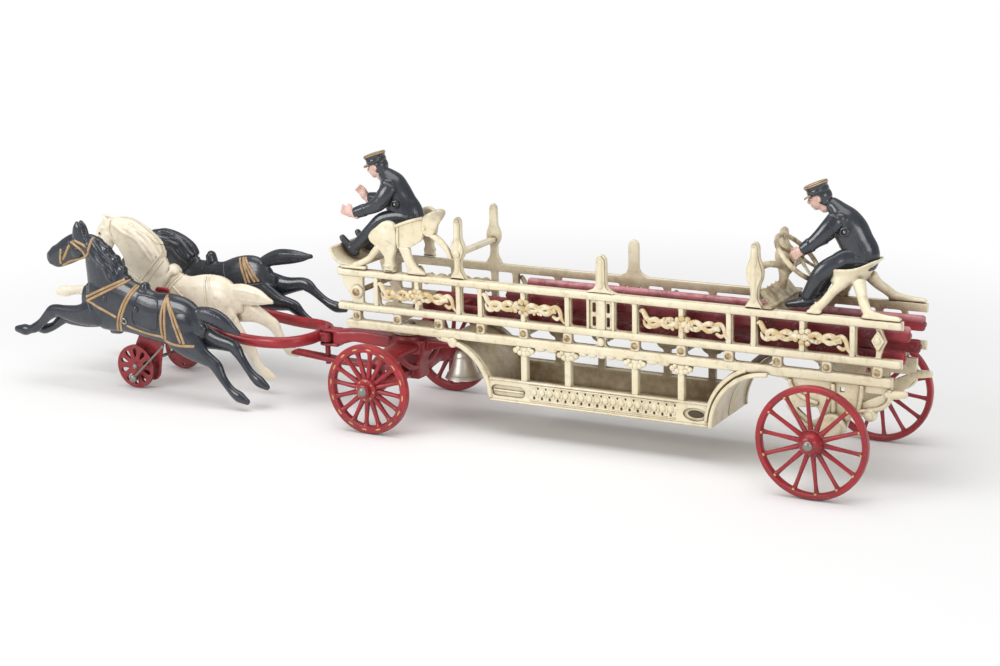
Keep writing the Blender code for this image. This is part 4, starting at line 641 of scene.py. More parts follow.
def enamel(name, colour, second, stain_and_shade_colour, wear_and_highlight, soil_and_shade=0.8, wear=0.6, rough=0.3, coat=0.25, chips=0.5, metal=0.0,
           relief=0.00012, top_wear_and_highlight=None, blotch=0.5, spread=38, gloss=0.5, inner=None):
    """Old paint over cast iron: blotchy coat, soiling and painted shade in corners, rubbed and partly highlit
    edges, chips, ripples of the brush.
    """
    g = Graph(name)
    broad = g.noise(spread, 4)
    patch = g.noise(150, 5, 0.6)
    grain = g.noise(900, 3, 0.6)
    base = g.mix(g.math("MULTIPLY", g.ease(broad, 0.38, 0.62), blotch), colour, second)
    # inner is a darker colour laid into recesses found by wide-range ambient occlusion: painted shade
    if inner:
        recess_shade = g.ease(g.corner(0.07), 0.30, 0.68)
        base = g.mix(g.math("MULTIPLY", recess_shade, g.ease(patch, 0.2, 0.6, 0.6, 0.95)), base, inner)
    # Short-range occlusion darkens creases: part soiling, part painted shade; the noise stain below is
    # soiling
    crevice_soil_and_shade = g.math("MULTIPLY", g.ease(g.corner(0.0045), 0.12, 0.68), g.ease(patch, 0.15, 0.6, 0.5, 1.0))
    stain = g.math("MULTIPLY", g.ease(patch, 0.50, 0.72), 0.25)
    base = g.mix(g.math("MULTIPLY", g.math("ADD", crevice_soil_and_shade, stain, clamp=True), soil_and_shade), base, stain_and_shade_colour)
    # Sharp edges take the wear colour: rubbed paint, and on the two reds partly a painted highlight
    edge_wear_and_highlight = g.math("MULTIPLY", g.ease(g.edge(0.0007), 0.03, 0.22), g.ease(patch, 0.38, 0.62))
    # Above a height the wear colour spreads: rubbed post tips on the cream, and on the short ladder's top
    # partly a painted highlight
    if top_wear_and_highlight:
        top = g.math("MULTIPLY", g.high(*top_wear_and_highlight), g.ease(patch, 0.3, 0.6, 0.35, 1.0))
        edge_wear_and_highlight = g.math("ADD", edge_wear_and_highlight, top, clamp=True)
    base = g.mix(g.math("MULTIPLY", edge_wear_and_highlight, wear), base, wear_and_highlight)
    fleck = g.math("MULTIPLY", g.ease(grain, 0.64, 0.70), g.ease(broad, 0.42, 0.60))
    base = g.mix(g.math("MULTIPLY", fleck, chips), base, wear_and_highlight)
    g.put(g.shader.inputs["Base Color"], base)
    uneven = g.math("ADD", g.math("MULTIPLY", patch, 0.3), rough - 0.12)
    g.put(g.shader.inputs["Roughness"], g.math("ADD", uneven, g.math("MULTIPLY", crevice_soil_and_shade, 0.3), clamp=True))
    g.shader.inputs["Metallic"].default_value = metal
    g.shader.inputs["Specular IOR Level"].default_value = gloss
    g.shader.inputs["Coat Weight"].default_value = coat
    g.shader.inputs["Coat Roughness"].default_value = 0.14
    height = g.math("ADD", g.math("MULTIPLY", patch, 0.7), g.math("MULTIPLY", grain, 0.16))
    g.bump(height, relief * 6, 0.35)
    return g.mat


# Cream: inner lays painted shade into the well and other deep recesses
CREAM = enamel("cream_enamel_aged_recess_shaded", (0.84, 0.76, 0.56), (0.76, 0.65, 0.42), (0.20, 0.125, 0.055),
               (0.25, 0.20, 0.14), soil_and_shade=0.95, wear=0.6, chips=0.75, top_wear_and_highlight=(0.1615, 0.169),
               inner=(0.22, 0.145, 0.075))
HANDLED = enamel("cream_rubbed_brown", (0.74, 0.64, 0.44), (0.26, 0.18, 0.10), (0.12, 0.075, 0.04),
                 (0.28, 0.23, 0.17), soil_and_shade=0.95, wear=0.7, chips=0.8, blotch=0.85, spread=95)
SCROLL = enamel("scroll_cream_and_gilt", (0.84, 0.74, 0.53), (0.64, 0.46, 0.20), (0.14, 0.075, 0.025),
                (0.86, 0.78, 0.58), soil_and_shade=1.0, wear=0.7, chips=0.3, blotch=0.9, spread=130)
GILT = enamel("gold_bronze_paint", (0.66, 0.44, 0.13), (0.48, 0.28, 0.08), (0.10, 0.055, 0.02),
              (0.80, 0.70, 0.45), soil_and_shade=0.9, wear=0.6, rough=0.42, coat=0.1)
TAN = enamel("tan_rubbed_enamel", (0.50, 0.33, 0.17), (0.36, 0.22, 0.10), (0.09, 0.05, 0.02),
             (0.66, 0.55, 0.38), soil_and_shade=0.9, wear=0.5, rough=0.45, coat=0.1, blotch=0.8, spread=160)
RUST = enamel("bare_brown_iron", (0.27, 0.15, 0.06), (0.60, 0.48, 0.28), (0.05, 0.03, 0.015),
              (0.16, 0.10, 0.05), soil_and_shade=0.8, wear=0.5, rough=0.5, coat=0.0, blotch=1.0, spread=330)
# Red: inner lays painted shade under the bogie and into recesses; the pink edge colour is partly painted
# highlight
RED = enamel("red_enamel_aged_shaded_highlit", (0.38, 0.014, 0.024), (0.24, 0.010, 0.016), (0.05, 0.008, 0.008),
             (0.58, 0.22, 0.20), soil_and_shade=0.85, wear=0.8, rough=0.32, coat=0.25, chips=0.9, gloss=0.45,
             blotch=0.7, inner=(0.21, 0.024, 0.028))
# Ladder red: inner lays painted shade into recesses; the pale pink on edges and on the short ladder's top is
# partly painted highlight, partly fading
LADDER = enamel("ladder_red_faded_shaded_highlit", (0.36, 0.030, 0.046), (0.15, 0.007, 0.011), (0.03, 0.007, 0.007),
                (0.70, 0.35, 0.37), inner=(0.12, 0.012, 0.015), soil_and_shade=0.9, wear=0.75,
                top_wear_and_highlight=(0.1090, 0.1140), rough=0.42, coat=0.1, blotch=0.9, chips=0.9)
BLACK = enamel("black_enamel_aged", (0.015, 0.020, 0.030), (0.036, 0.042, 0.052), (0.008, 0.008, 0.009),
               (0.12, 0.095, 0.075), soil_and_shade=0.5, wear=0.55, rough=0.22, coat=0.5, chips=0.5, gloss=0.5,
               blotch=0.7)
IVORY = enamel("ivory_enamel_aged", (0.91, 0.83, 0.67), (0.83, 0.72, 0.53), (0.26, 0.17, 0.085),
               (0.36, 0.26, 0.17), soil_and_shade=0.9, wear=0.4, rough=0.32, coat=0.25)
FLESH = enamel("flesh_enamel", (0.78, 0.53, 0.45), (0.68, 0.42, 0.35), (0.28, 0.13, 0.09),
               (0.50, 0.32, 0.26), soil_and_shade=0.8, wear=0.4, rough=0.35, coat=0.25)
WORN_TOP = enamel("cap_top_rubbed", (0.52, 0.33, 0.22), (0.04, 0.04, 0.045), (0.05, 0.035, 0.03),
                  (0.72, 0.55, 0.42), soil_and_shade=0.5, wear=0.6, rough=0.4, coat=0.2, blotch=1.0, spread=210)
NICKEL = enamel("nickel_plate_dulled", (0.72, 0.68, 0.62), (0.56, 0.51, 0.43), (0.12, 0.09, 0.06),
                (0.70, 0.67, 0.62), soil_and_shade=0.7, wear=0.3, rough=0.36, coat=0.0, metal=0.85, relief=0.00006)
STEEL = enamel("peened_steel", (0.34, 0.33, 0.29), (0.22, 0.20, 0.17), (0.08, 0.055, 0.03),
               (0.52, 0.50, 0.46), soil_and_shade=0.7, wear=0.5, rough=0.36, coat=0.0, metal=0.9)
# Dark fill put into dents and a sunken panel: painted shade
DIMPLE_SHADE = enamel("painted_shade_in_dimples", (0.075, 0.050, 0.026), (0.14, 0.095, 0.05), (0.03, 0.02, 0.01),
                (0.3, 0.24, 0.16), soil_and_shade=0.6, wear=0.2, rough=0.6, coat=0.0)


# Side frames

X0, X1 = MID - RAIL_END, MID + RAIL_END
LOW_X0, LOW_X1 = MID - LOW_END + LOW_H / 2, MID + LOW_END
TOP0, TOP1 = TOP_Z - TOP_H / 2, TOP_Z + TOP_H / 2
MID0, MID1 = MID_Z - TOP_H / 2, MID_Z + TOP_H / 2
LOW0, LOW1 = LOW_Z - LOW_H / 2, LOW_Z + LOW_H / 2
TAIL, NOSE = MID + FIRST + 5 * PITCH, MID - FIRST - 5 * PITCH
FRONT_POST, REAR_POST = MID - SPREAD, MID + SPREAD
FRONT_ROD, TAIL_ROD = (X0 + 17.9, 102.4), (388.7, 52.0)
RESTS = [MID - FIRST - 4 * PITCH, MID - FIRST - PITCH, MID + FIRST + PITCH, MID + FIRST + 4 * PITCH]
WELL_POSTS = [MID + side * (FIRST + i * PITCH) for side, i in ((-1, 1), (-1, 0), (1, 0), (1, 1))]
POSTS = {
    FRONT_POST: [(7, 0), (5.6, 2.6), (3.6, 6), (2.9, 10.5), (3.2, 14.5), (5.4, 18.5), (6.1, 22.5),
                 (5.6, 26), (3.8, 30), (3.3, 33), (3.2, 42.5), (2.5, 45.7), (0.8, 47.4)],
    MID: [(12.4, 0), (9, 1.3), (6.4, 2.8), (4.8, 5.2), (4.3, 8.6), (4.2, 22.5), (3.4, 26.2), (1, 28.2)],
    REAR_POST: [(7.4, 0), (5.8, 2.6), (3.6, 6), (3.2, 11), (4.2, 16), (6.2, 21.5), (6.6, 26.5), (5.2, 32),
                (3.7, 36), (3.3, 41), (3.2, 44), (2.3, 46.2), (0.8, 47.4)],
}


def post_loop(x, pairs, trim=0):
    line = smooth_line(pairs, 3)
    left = [(x - max(w - trim, 0.6), TOP1 + h - (trim if h > 20 else 0)) for w, h in line]
    return left + [(2 * x - px, pz) for px, pz in reversed(left)]


def frame_outline():
    """Edge of the openwork, from the front of the top rail over the posts and back under the well."""
    front, rear = FRONT_ARCH[:2], REAR_ARCH[:2]
    line = [(X0, TOP0), (X0, TOP1)]
    for x, pairs in POSTS.items():
        line += post_loop(x, pairs)
    line += [(X1, TOP1), (X1, TOP0)]
    lozenge = ((2, 1), (3.2, 0.8), (5.6, 0.56), (3.2, 0.32), (2, 0.1), (2, 0))
    line += [(TAIL + w, MID1 + (TOP0 - MID1) * share) for w, share in lozenge]
    line += [(X1, MID1), (X1, MID0), (TAIL + 2.6, MID0), (TAIL + 2.6, LOW1), (LOW_X1, LOW1),
             (LOW_X1, LOW0 - 7.4)]
    line += [(394, 54), (384, 51.5), (375.5, 52)]
    line += arc((WHEELBASE, REAR_R), 9.4, -15, -165, 8)
    line += [(340, 38), (327, 52.5), (331.5, LOW0 - 4.9), (324, LOW0 - 1.2), (rear[0] - 1, LOW0)]
    line += arc(rear, REAR_ARCH[2] + 0.4, 110, 182, 20)
    line += arc(front, FRONT_ARCH[2], 0, 90, 22) + [(front[0] - 4, LOW0)]
    line += [(LOW_X0, LOW0)] + arc((LOW_X0, LOW_Z), LOW_H / 2, 240, 100, 5)
    line += [(NOSE - 2.6, LOW1), (NOSE - 2.6, MID0), (X0, MID0), (X0, MID1)]
    line += [(X0 + 13.7, MID1), (X0 + 10.5, 100), (X0 + 5, 108), (X0 + 3.7, TOP0)]
    return line


def frame_holes():
    """Openings of the frame, row by row."""
    w = UPRIGHT_W / 2
    stations = [0] + [FIRST + i * PITCH for i in range(6)]
    holes = []
    for side in (-1, 1):
        bars = [11.6] + UPRIGHTS + [TAIL - MID - 1.6 + w if side > 0 else RAIL_END - 22.7 + w]
        for inner, outer in zip(bars, bars[1:]):
            span = sorted((MID + side * (inner + (w if inner > 12 else 0)), MID + side * (outer - w)))
            holes.append(rounded(block(span, (MID1, TOP0)), 2.2))
        for row in range(2):
            span = sorted((MID + side * 4.4, MID + side * 7))
            low = MID1 + 1.6 + row * 10.6
            holes.append(rounded(block(span, (low, low + 7.4)), 1.2))
        for inner, outer in zip(stations, stations[1:]):
            span = sorted((MID + side * (inner + w + 0.8), MID + side * (outer - w - 0.8)))
            holes.append(rounded(block(span, (LOW1, MID0)), 2.6))
    holes += [rounded([(334, 51), (345.5, 41.5), (352.5, 46.5), (350, 53)], 2),
              rounded(block((366.2, 369.6), (LOW0 - 6.4, LOW0 - 3)), 0.5),
              rounded([(383, LOW0 - 4.9), (383, LOW0 - 11.9), (397.5, LOW0 - 4.9)], 1)]
    return holes + well_holes()


def well_holes():
    """Openings between the lowest rail and the board of the well, shaped round the leafy post heads."""
    board = WELL_Z + BOARD_H
    front, rear = FRONT_ARCH, REAR_ARCH

    def left(x):
        return [(x - 2.8, board), (x - 2.8, LOW0 - 6.4), (x - 6.2, LOW0 - 5), (x - 8.2, LOW0 - 2.8),
                (x - 8.4, LOW0)]

    def right(x):
        return [(2 * x - px, pz) for px, pz in reversed(left(x))]

    def rise(height, r):
        return math.degrees(math.asin(min(height / r, 0.98)))

    r = front[2] + 5.2
    holes = [left(WELL_POSTS[0]) + arc(front, r, rise(LOW0 - front[1], r), rise(board - front[1], r), 6)]
    for one, two in zip(WELL_POSTS, WELL_POSTS[1:]):
        holes.append(right(one)[::-1] + left(two)[::-1])
    r = rear[2] + 5.2
    curve = arc(rear, r, 180 - rise(LOW0 - rear[1], r), 180 - rise(board - rear[1], r), 6)
    holes.append(right(WELL_POSTS[3])[::-1] + curve)
    return [rounded(hole, 1.2, 2) for hole in holes]


def face_bar(x, z, top=32.8, soft=1.3, res=2):
    return brick(x, (-top, -29), z, soft, res)


def vine(middle, lead, seed):
    """Cast garland over two panels: two plaits, a knot on the middle upright, hooked ends, leaves."""
    draw = random.Random(seed)
    shapes, leaves = [], []

    def stem(points, radii, y=-31.3):
        shapes.append(tube([(middle + px, y, MID_Z + pz) for px, pz in points], radii, 10, 5, 0.8))

    def plait(x0, z0, x1, z1, swing, turns, radii):
        for phase in (0, math.pi):
            points = []
            for k in range(turns * 4 + 1):
                t = k / (turns * 4)
                fade = math.sin(math.pi * min(1, 0.12 + t * 0.88))
                points.append((x0 + (x1 - x0) * t, z0 + (z1 - z0) * t + swing * (0.45 + 0.55 * fade)
                               * math.sin(phase + math.pi * turns * t + 0.5) + draw.uniform(-0.35, 0.35)))
            stem(points, [radii * draw.uniform(0.85, 1.15) for p in points], -31.3 - 0.25 * math.cos(phase))

    stem([(-35, 19.8), (-33, 20.6), (-31.4, 18.4), (-29.6, 15.2), (-26, 13)], [1, 1.8, 2, 2.1, 2])
    stem([(-32, 13.6), (-30.6, 10.2), (-27.4, 8.8), (-24.2, 10.2)], [0.9, 1.5, 1.6, 1.1])
    plait(-28, 12.6, -5, 13.2, 2.7, 2, 2.15)
    plait(4, 13.4, 27, 13, 2.7, 2, 2.15)
    stem([(24, 15.4), (28, 16), (31, 12.6), (32, 8.2), (34.4, 4.6)], [1.4, 1.8, 1.8, 1.6, 0.9])
    stem([(25, 9), (28.4, 7.2), (31, 8.8)], [1.3, 1.5, 0.9])
    for px, pz, r in ((-5.6, 16.2, 2.3), (-1.6, 17.6, 2.5), (2.8, 17.2, 2.4), (6.2, 15, 2.2), (-6, 11, 2.2),
                      (-2, 9.4, 2.3), (2.4, 9.2, 2.3), (6, 11.2, 2.1), (0, 13.2, 3.4), (-3.6, 13.6, 2.4),
                      (3.8, 13.2, 2.4)):
        spot = (middle + px + draw.uniform(-0.4, 0.4), -31.4 - draw.uniform(0, 0.7),
                MID_Z + pz + draw.uniform(-0.4, 0.4))
        shapes.append(ball(spot, (r, 1.5, r * 0.9), 14, 8))
    for i in range(16):
        px, pz = draw.uniform(-24, 24), draw.uniform(-4.6, 4.6)
        r = draw.uniform(0.9, 1.4)
        leaves.append(ball((middle + px, -32.5 - draw.uniform(0, 0.5), MID_Z + 13.1 + pz * 0.8),
                           (r, r * 0.7, r), 12, 8))
    gilded = [(bm, GILT if lead and i % 2 else SCROLL) for i, bm in enumerate(leaves)]
    return painted(shapes, SCROLL) + gilded


def board_face():
    """Raised face of the well's board, with two panels and the pits round its row of eggs."""
    pits = []
    for x in EGGS:
        pits += [oval(x, 34, 0.95, 1.1, 8), oval(x + 3.3, 41.6, 0.75, 0.8, 8)]
    left = arc((93.5, BOARD_Z), 4.4, 90, 270, 8) + arc((114, BOARD_Z), 4.4, 270, 450, 8)
    right = oval(PANEL_X, BOARD_Z, 9.6, 5, 24)
    return slab(rounded(block((86.6, 270.6), (29, 45.5)), 1.5), [left, right] + pits, (-32.3, -30.2), 0.35,
                1)


def leafy_head(x):
    """Scalloped leaf bracket under the rail on top of a post of the well."""
    shapes = [brick(about(x, 7), (-32, -29.2), (LOW0 - 4.6, LOW0 + 0.6), 1.4)]
    for px, pz, r in ((-6.6, -2.6, 2.5), (-3, -4.2, 2.5), (0.6, -4.8, 2.6), (4, -4, 2.5), (7, -2.4, 2.4),
                      (-4.6, -0.8, 2), (5, -0.8, 2)):
        shapes.append(ball((x + px, -31.6, LOW0 + pz), (r, 1.7, r * 0.95), 14, 8))
    return shapes


def rails_and_uprights():
    parts = [slab(frame_outline(), frame_holes(), (-FACE, -BACK), 0.55)]
    for z, h in ((TOP_Z, TOP_H), (MID_Z, TOP_H)):
        parts.append(face_bar((X0 + 0.2, X1 - 0.2), (z - h / 2 + 0.15, z + h / 2 - 0.15), 33, 2.2, 4))
    parts.append(face_bar((LOW_X0 - 3, LOW_X1 - 0.2), (LOW0 + 0.2, LOW1 - 0.2), 32.6, 1.9, 4))
    for side in (-1, 1):
        for place in UPRIGHTS:
            x = MID + side * place
            parts.append(face_bar(about(x, 2), (MID1 - 1, TOP0 + 1), 32.2, 0.9))
        parts.append(face_bar(about(MID + side * 10.2, 1.1), (MID1 - 1, TOP0 + 1), 32.2, 0.6))
    parts.append(face_bar(about(MID, 3.8), (MID1 - 1, TOP0 + 1), 31.9, 1.2))
    for x, pairs in POSTS.items():
        parts.append(slab(post_loop(x, pairs, 0.9), [], (-32.3, -30), 0.8))
        wide, height = max(pairs[3:])
        if x != MID:
            parts.append(ball((x, -31.2, TOP1 + height), (wide * 0.8, 1.9, wide * 1.1), 20, 12))
        parts.append(tube([(x, -31, TOP1 + 5), (x, -31.2, TOP1 + height),
                           (x, -31, TOP1 + (43 if x != MID else 24))],
                          [2.2, 2.5, 2.4], 14, 4))
    return parts


def rod_places():
    return [MID + side * (FIRST + i * PITCH) for side in (-1, 1) for i in range(6)]


def blocks_between_rails():
    """Blocks behind the knobs, the boss of the middle and the round end of the front rod."""
    parts = []
    for x in rod_places():
        parts.append(brick(about(x, 3.7), (-32.2, -29), (LOW1 - 1, MID0 + 1), 1.5))
        parts.append(ball((x, -31.2, KNOB_Z), (3.5, 1.8, 3.5), 20, 12))
    parts.append(ball((MID, -30.8, KNOB_Z), (3, 2.2, 3.6), 16, 10))
    parts.append(ball((FRONT_ROD[0], -31.2, FRONT_ROD[1]), (5.4, 2.4, 5.4), 18, 10))
    return parts


def rod_knobs():
    profile = [(0, 1.5), (1.1, 1.3), (2, 0.8), (2.6, -0.1), (2.8, -1.6), (0, -1.6)]
    return [lathe(profile, (x, -32.6, KNOB_Z), (0, -1, 0), 20) for x in rod_places()]


def tail_lozenge():
    outline = rounded([(TAIL - 4.6, 106), (TAIL, 113.5), (TAIL + 4.8, 106), (TAIL, 98)], 1)
    return [slab(outline, [], (-33, -30), 0.7), ball((TAIL, -33, 106), (2.4, 1.4, 2.6), 14, 8)]


def board_trim():
    """Board of the well with its eggs and drops, mouldings, posts with leafy heads and scallops."""
    parts = [board_face()]
    for x in EGGS:
        parts.append(ball((x, -32, 38.4), (2.5, 1.3, 3.1), 16, 10))
        parts.append(ball((x + 3.3, -32, 36.2), (0.9, 0.9, 2.4), 12, 8))
    for z in (43.4, 32):
        parts.append(tube([(122.5, -32.2, z), (241.5, -32.2, z)], 0.7, 8, 1))
    parts.append(face_bar((91, 117), (35.8, 37.4), 32, 0.6))
    parts.append(brick((88, 269.5), (-33, -29), (27.9, 29.9), 0.8))
    parts.append(tube([(88, -32.2, 45.3), (269.5, -32.2, 45.3)], 0.9, 8, 1))
    for x in WELL_POSTS:
        parts.append(face_bar(about(x, 2.7), (44, LOW0), 32.2, 1.1))
        parts += leafy_head(x)
    for one, two in zip(WELL_POSTS, WELL_POSTS[1:]):
        count = 2 if two - one < 45 else 5
        step = (two - one - 17) / count
        for i in range(count):
            parts.append(ball((one + 8.5 + step * (i + 0.5), -30.2, LOW0 + 0.6), (step * 0.56, 2.2, 2.9),
                              18, 10))
    return parts


def arch_ribs():
    """Ribs round the arches, the bracket and housing of the rear axle and the frame's tail."""
    x, z, r = FRONT_ARCH
    parts = [tube([(px, -31.2, pz) for px, pz in arc((x, z), r + 2.4, 4, 86, 24)], 2.3, 10, 1)]
    spot = arc((x, z), r + 2.2, 73.7, 90, 1)[0]
    parts.append(lathe([(0, 1.9), (2.6, 1.6), (3.9, 0.4), (4.1, -1.5), (0, -1.5)],
                       (spot[0], -32.6, spot[1]), (0, -1, 0), 20))
    x, z, r = REAR_ARCH
    parts.append(tube([(px, -31.2, pz) for px, pz in arc((x, z), r + 2.6, 112, 176, 24)], 2.3, 10, 1))
    bracket = [[(328.5, 52.5), (334, 45.5), (341.5, 39.5), (350, 36.5)],
               [(350, 56), (340, 59), (331, 66), (329.5, 71)],
               [(371.5, 47), (377, 53), (386, 54.5), (396, 57.5), (402, 63), (402.2, 71)],
               [(362, 51), (362, 60), (361.5, 71)],
               [(382.5, 72), (381.8, 64), (380.5, 55)]]
    for line in bracket:
        parts.append(tube([(px, -31, pz) for px, pz in line], 1.7, 10, 4))
    parts.append(lathe([(9.6, 0), (9.4, 4.4), (7.6, 5.6), (7.2, 9), (6.6, 22), (5.6, 36), (5.9, 38.6),
                        (4.9, 39.4), (2.6, 39.4), (2.6, 36), (0, 36), (0, 0)], (WHEELBASE, -30.2, REAR_R),
                       (0, -1, 0), 28))
    parts.append(ball((TAIL_ROD[0], -30, TAIL_ROD[1]), (5.1, 5.1, 5.1), 22, 14))
    parts.append(tube([(400.2, -29.6, LOW0 - 4.9), (407, -29.6, LOW0 - 4.2), (413.6, -29.6, LOW0 - 3.5)],
                      [3.2, 3.1, 2.5], 14, 3))
    return parts


def near_frame():
    """Whole casting of the near side with its finishes."""
    enamelled = rails_and_uprights() + blocks_between_rails() + board_trim() + arch_ribs() + tail_lozenge()
    # Dark oval laid in the sunken right panel of the board: painted shade
    panel_shade = ball((PANEL_X, -30.4, BOARD_Z), (6.6, 1.1, 3), 20, 8)
    dressed = painted(enamelled, CREAM) + painted(rod_knobs(), RUST) + [(panel_shade, DIMPLE_SHADE)]
    mids = (-3.5 * PITCH - FIRST, -FIRST - PITCH, FIRST + PITCH + 2.5, FIRST + 3.5 * PITCH + 1.5)
    for i, m in enumerate(mids):
        dressed += vine(MID + m, i == 0, 40 + i)
    return dressed


piece("near_frame_casting", "truck", near_frame(), ["side_frame_near"])
piece("far_frame_casting", "truck", mirrored(near_frame()), ["side_frame_far"])


# Rods between the frames

def cross_rod(x, z, middle, outside, head):
    shapes = [rod((x, -outside, z), (x, outside, z), 1.8),
              tube([(x, -INNER, z), (x, INNER, z)], middle, 18, 1, cap=0)]
    return shapes + [peened((x, s * outside, z), s, head) for s in (-1, 1)]


for i, x in enumerate(RESTS):
    shapes = [tube([(x, -INNER, KNOB_Z), (x, INNER, KNOB_Z)], REST_R, 18, 1, cap=0),
              rod((x, -33, KNOB_Z), (x, 33, KNOB_Z), 1.8)]
    piece("ladder_rest_rod_%d" % (i + 1), "truck", painted(shapes, CREAM),
          ["ladder_rest_%d" % (i + 1)])
piece("front_rod_with_heads", "truck", painted(cross_rod(*FRONT_ROD, 2.2, 33.2, 3.2), RUST),
      ["front_tie_rod"])
piece("tail_rod_with_heads", "truck", painted(cross_rod(*TAIL_ROD, 2.4, 35.2, 3), CREAM),
      ["rear_tie_rod"])
bar = [brick(about(FRONT_POST, 3), about(0, INNER), about(BAR_Z, 1.8), 0.9),
       rod((FRONT_POST, -32.4, BAR_Z), (FRONT_POST, 32.4, BAR_Z), 1.4)]
bar += [peened((FRONT_POST, s * 33.2, BAR_Z), s, 3, 1.6) for s in (-1, 1)]
piece("post_cross_bar", "truck", painted(bar, CREAM), ["post_tie_bar"])


# Well

def shell(centre, r_in, r_out, start, end, y, soft=0.5):
    return slab(arc(centre, r_in, start, end, 28) + arc(centre, r_out, end, start, 28), [], y, soft, 1)


front_middle, front_r = FRONT_ARCH[:2], FRONT_ARCH[2]
rear_middle, rear_r = REAR_ARCH[:2], REAR_ARCH[2]
front = [shell(front_middle, front_r, front_r + SHELL, 0, 88, about(0, INNER))]
front += [tube([(px, y, pz) for px, pz in arc(front_middle, front_r + 0.2, 2, 87, 26)], 0.9, 8, 1)
          for y in (-14, 14)]
piece("front_arch_shell", "truck", painted(front, CREAM), ["front_arch"])
rear = []
for s in (-1, 1):
    rear.append(shell(rear_middle, rear_r - SHELL, rear_r, 110, 182, sorted((s * 0.5, s * 35.5))))
    rear.append(shell(rear_middle, rear_r - SHELL, rear_r, 90, 111, sorted((s * 33.4, s * 35.4))))
    rear.append(tube([(px, s * 34.6, pz) for px, pz in arc(rear_middle, rear_r - SHELL + 0.1, 91, 181, 30)],
                     1.3, 10, 1))
rear.append(shell(rear_middle, rear_r - SHELL + 0.8, rear_r - 0.2, 111, 181, (-3, 3), 0.2))
piece("rear_arch_shell", "truck", painted(rear, CREAM), ["rear_arch"])
floor_parts = [brick((WELL_LEFT + SHELL + 0.6, WELL_RIGHT - 2.6), about(0, INNER), (WELL_Z, WELL_Z + SHELL),
                     0.4)]
floor_parts += [brick((96, 262), about(y, 0.5), (WELL_Z + SHELL - 0.3, WELL_Z + SHELL + 0.45), 0.2, 0)
                for y in (-18, -9, 0, 9, 18)]
piece("well_floor_plate", "truck", painted(floor_parts, CREAM), ["well_floor"])


# Wheels

def spoked_wheel(r, rim, count, hub, spoke_r, dots, phase):
    """Cast wheel about Y at the origin with its hub towards -Y."""
    tread = [(r - 0.9, 3), (r - 0.15, 2.3), (r, 1.2), (r, -1.2), (r - 0.15, -2.3), (r - 0.9, -3),
             (r - rim + 1, -3), (r - rim + 0.2, -2.2), (r - rim - 0.4, 0), (r - rim + 0.2, 2.2),
             (r - rim + 1, 3)]
    parts = [(lathe(tread, (0, 0, 0), (0, -1, 0), 96, True), RED),
             (lathe(hub, (0, 0, 0), (0, -1, 0), 40), RED)]
    spoke = tube([(4.5, 0, 0), (r * 0.3, 0, 0), (r * 0.62, 0, 0), (r - rim - 2, 0, 0),
                  (r - rim + 1.2, 0, 0)],
                 [spoke_r * 1.35, spoke_r * 1.12, spoke_r * 0.9, spoke_r, spoke_r * 1.6], 10, 3)
    parts.append((round_the_hub(spoke, RED, count, phase), RED))
    reach, half, thick = dots
    dash = tube([(reach * math.cos(t), -3, reach * math.sin(t)) for t in (-half, 0, half)],
                [thick * 0.6, thick, thick * 0.6], 8, 3, 0.55)
    parts.append((round_the_hub(dash, GILT, count, phase), GILT))
    return parts


def rear_wheel():
    hub = [(0, 9), (3.2, 9), (5.2, 8.6), (6.8, 7.2), (8.3, 5), (8.9, 3), (9, -2.4), (7, -3.4), (5.2, -4.6),
           (4.8, -5), (0, -5)]
    parts = spoked_wheel(REAR_R, 4.6, 14, hub, 1.65, (REAR_R - 4.6, 0.022, 0.8), 360 / 56)
    collar = [(9.3, 2), (9.9, 1.4), (9.9, 0.6), (9.3, 0)]
    parts.append((lathe(collar, (0, 0, 0), (0, -1, 0), 40, True), RED))
    return parts


def front_wheel():
    hub = [(0, 9), (3.8, 9), (4.9, 8.4), (5.2, 7), (5.5, 5), (7.4, 4.8), (8.7, 4.2), (9.1, 3), (9.1, -2.4),
           (6.6, -3.2), (5, -4.6), (4.6, -5), (0, -5)]
    parts = spoked_wheel(FRONT_R, 6.3, 16, hub, 1.95, (FRONT_R - 3.4, 0.062, 0.62), 360 / 64)
    dash = ball((7.4, -4.9, 0), (0.6, 0.35, 0.9), 10, 6)
    parts.append((round_the_hub(dash, GILT, 8, 360 / 64), GILT))
    return parts


for name, make, x, y, z in (("rear", rear_wheel, WHEELBASE, REAR_Y, REAR_R),
                            ("front", front_wheel, 0, FRONT_Y, FRONT_R)):
    at = Matrix.Translation((x, -y, z))
    for side, parts in (("near", placed(make(), at)), ("far", mirrored(placed(make(), at)))):
        body = "%s_wheel_%s" % (name, side)
        piece("%s_wheel_cast_%s" % (name, side), body, parts, [body])
    out = y + 9.3
    shapes = [rod((x, -out, z), (x, out, z), 2.2)]
    shapes += [lathe([(0, 1.8), (1.6, 1.65), (2.9, 1.1), (3.6, 0.2), (3.6, -0.25), (0, -0.25)],
                     (x, s * out, z), (0, s, 0), 28) for s in (-1, 1)]
    piece("%s_axle_with_heads" % name, "truck" if name == "rear" else "bogie",
          painted(shapes, STEEL), ["%s_axle" % name])


# Ladders

LADDER_HALF = 17.5
RAIL_HALF = 5.0
RUNG_STEP = 30.0


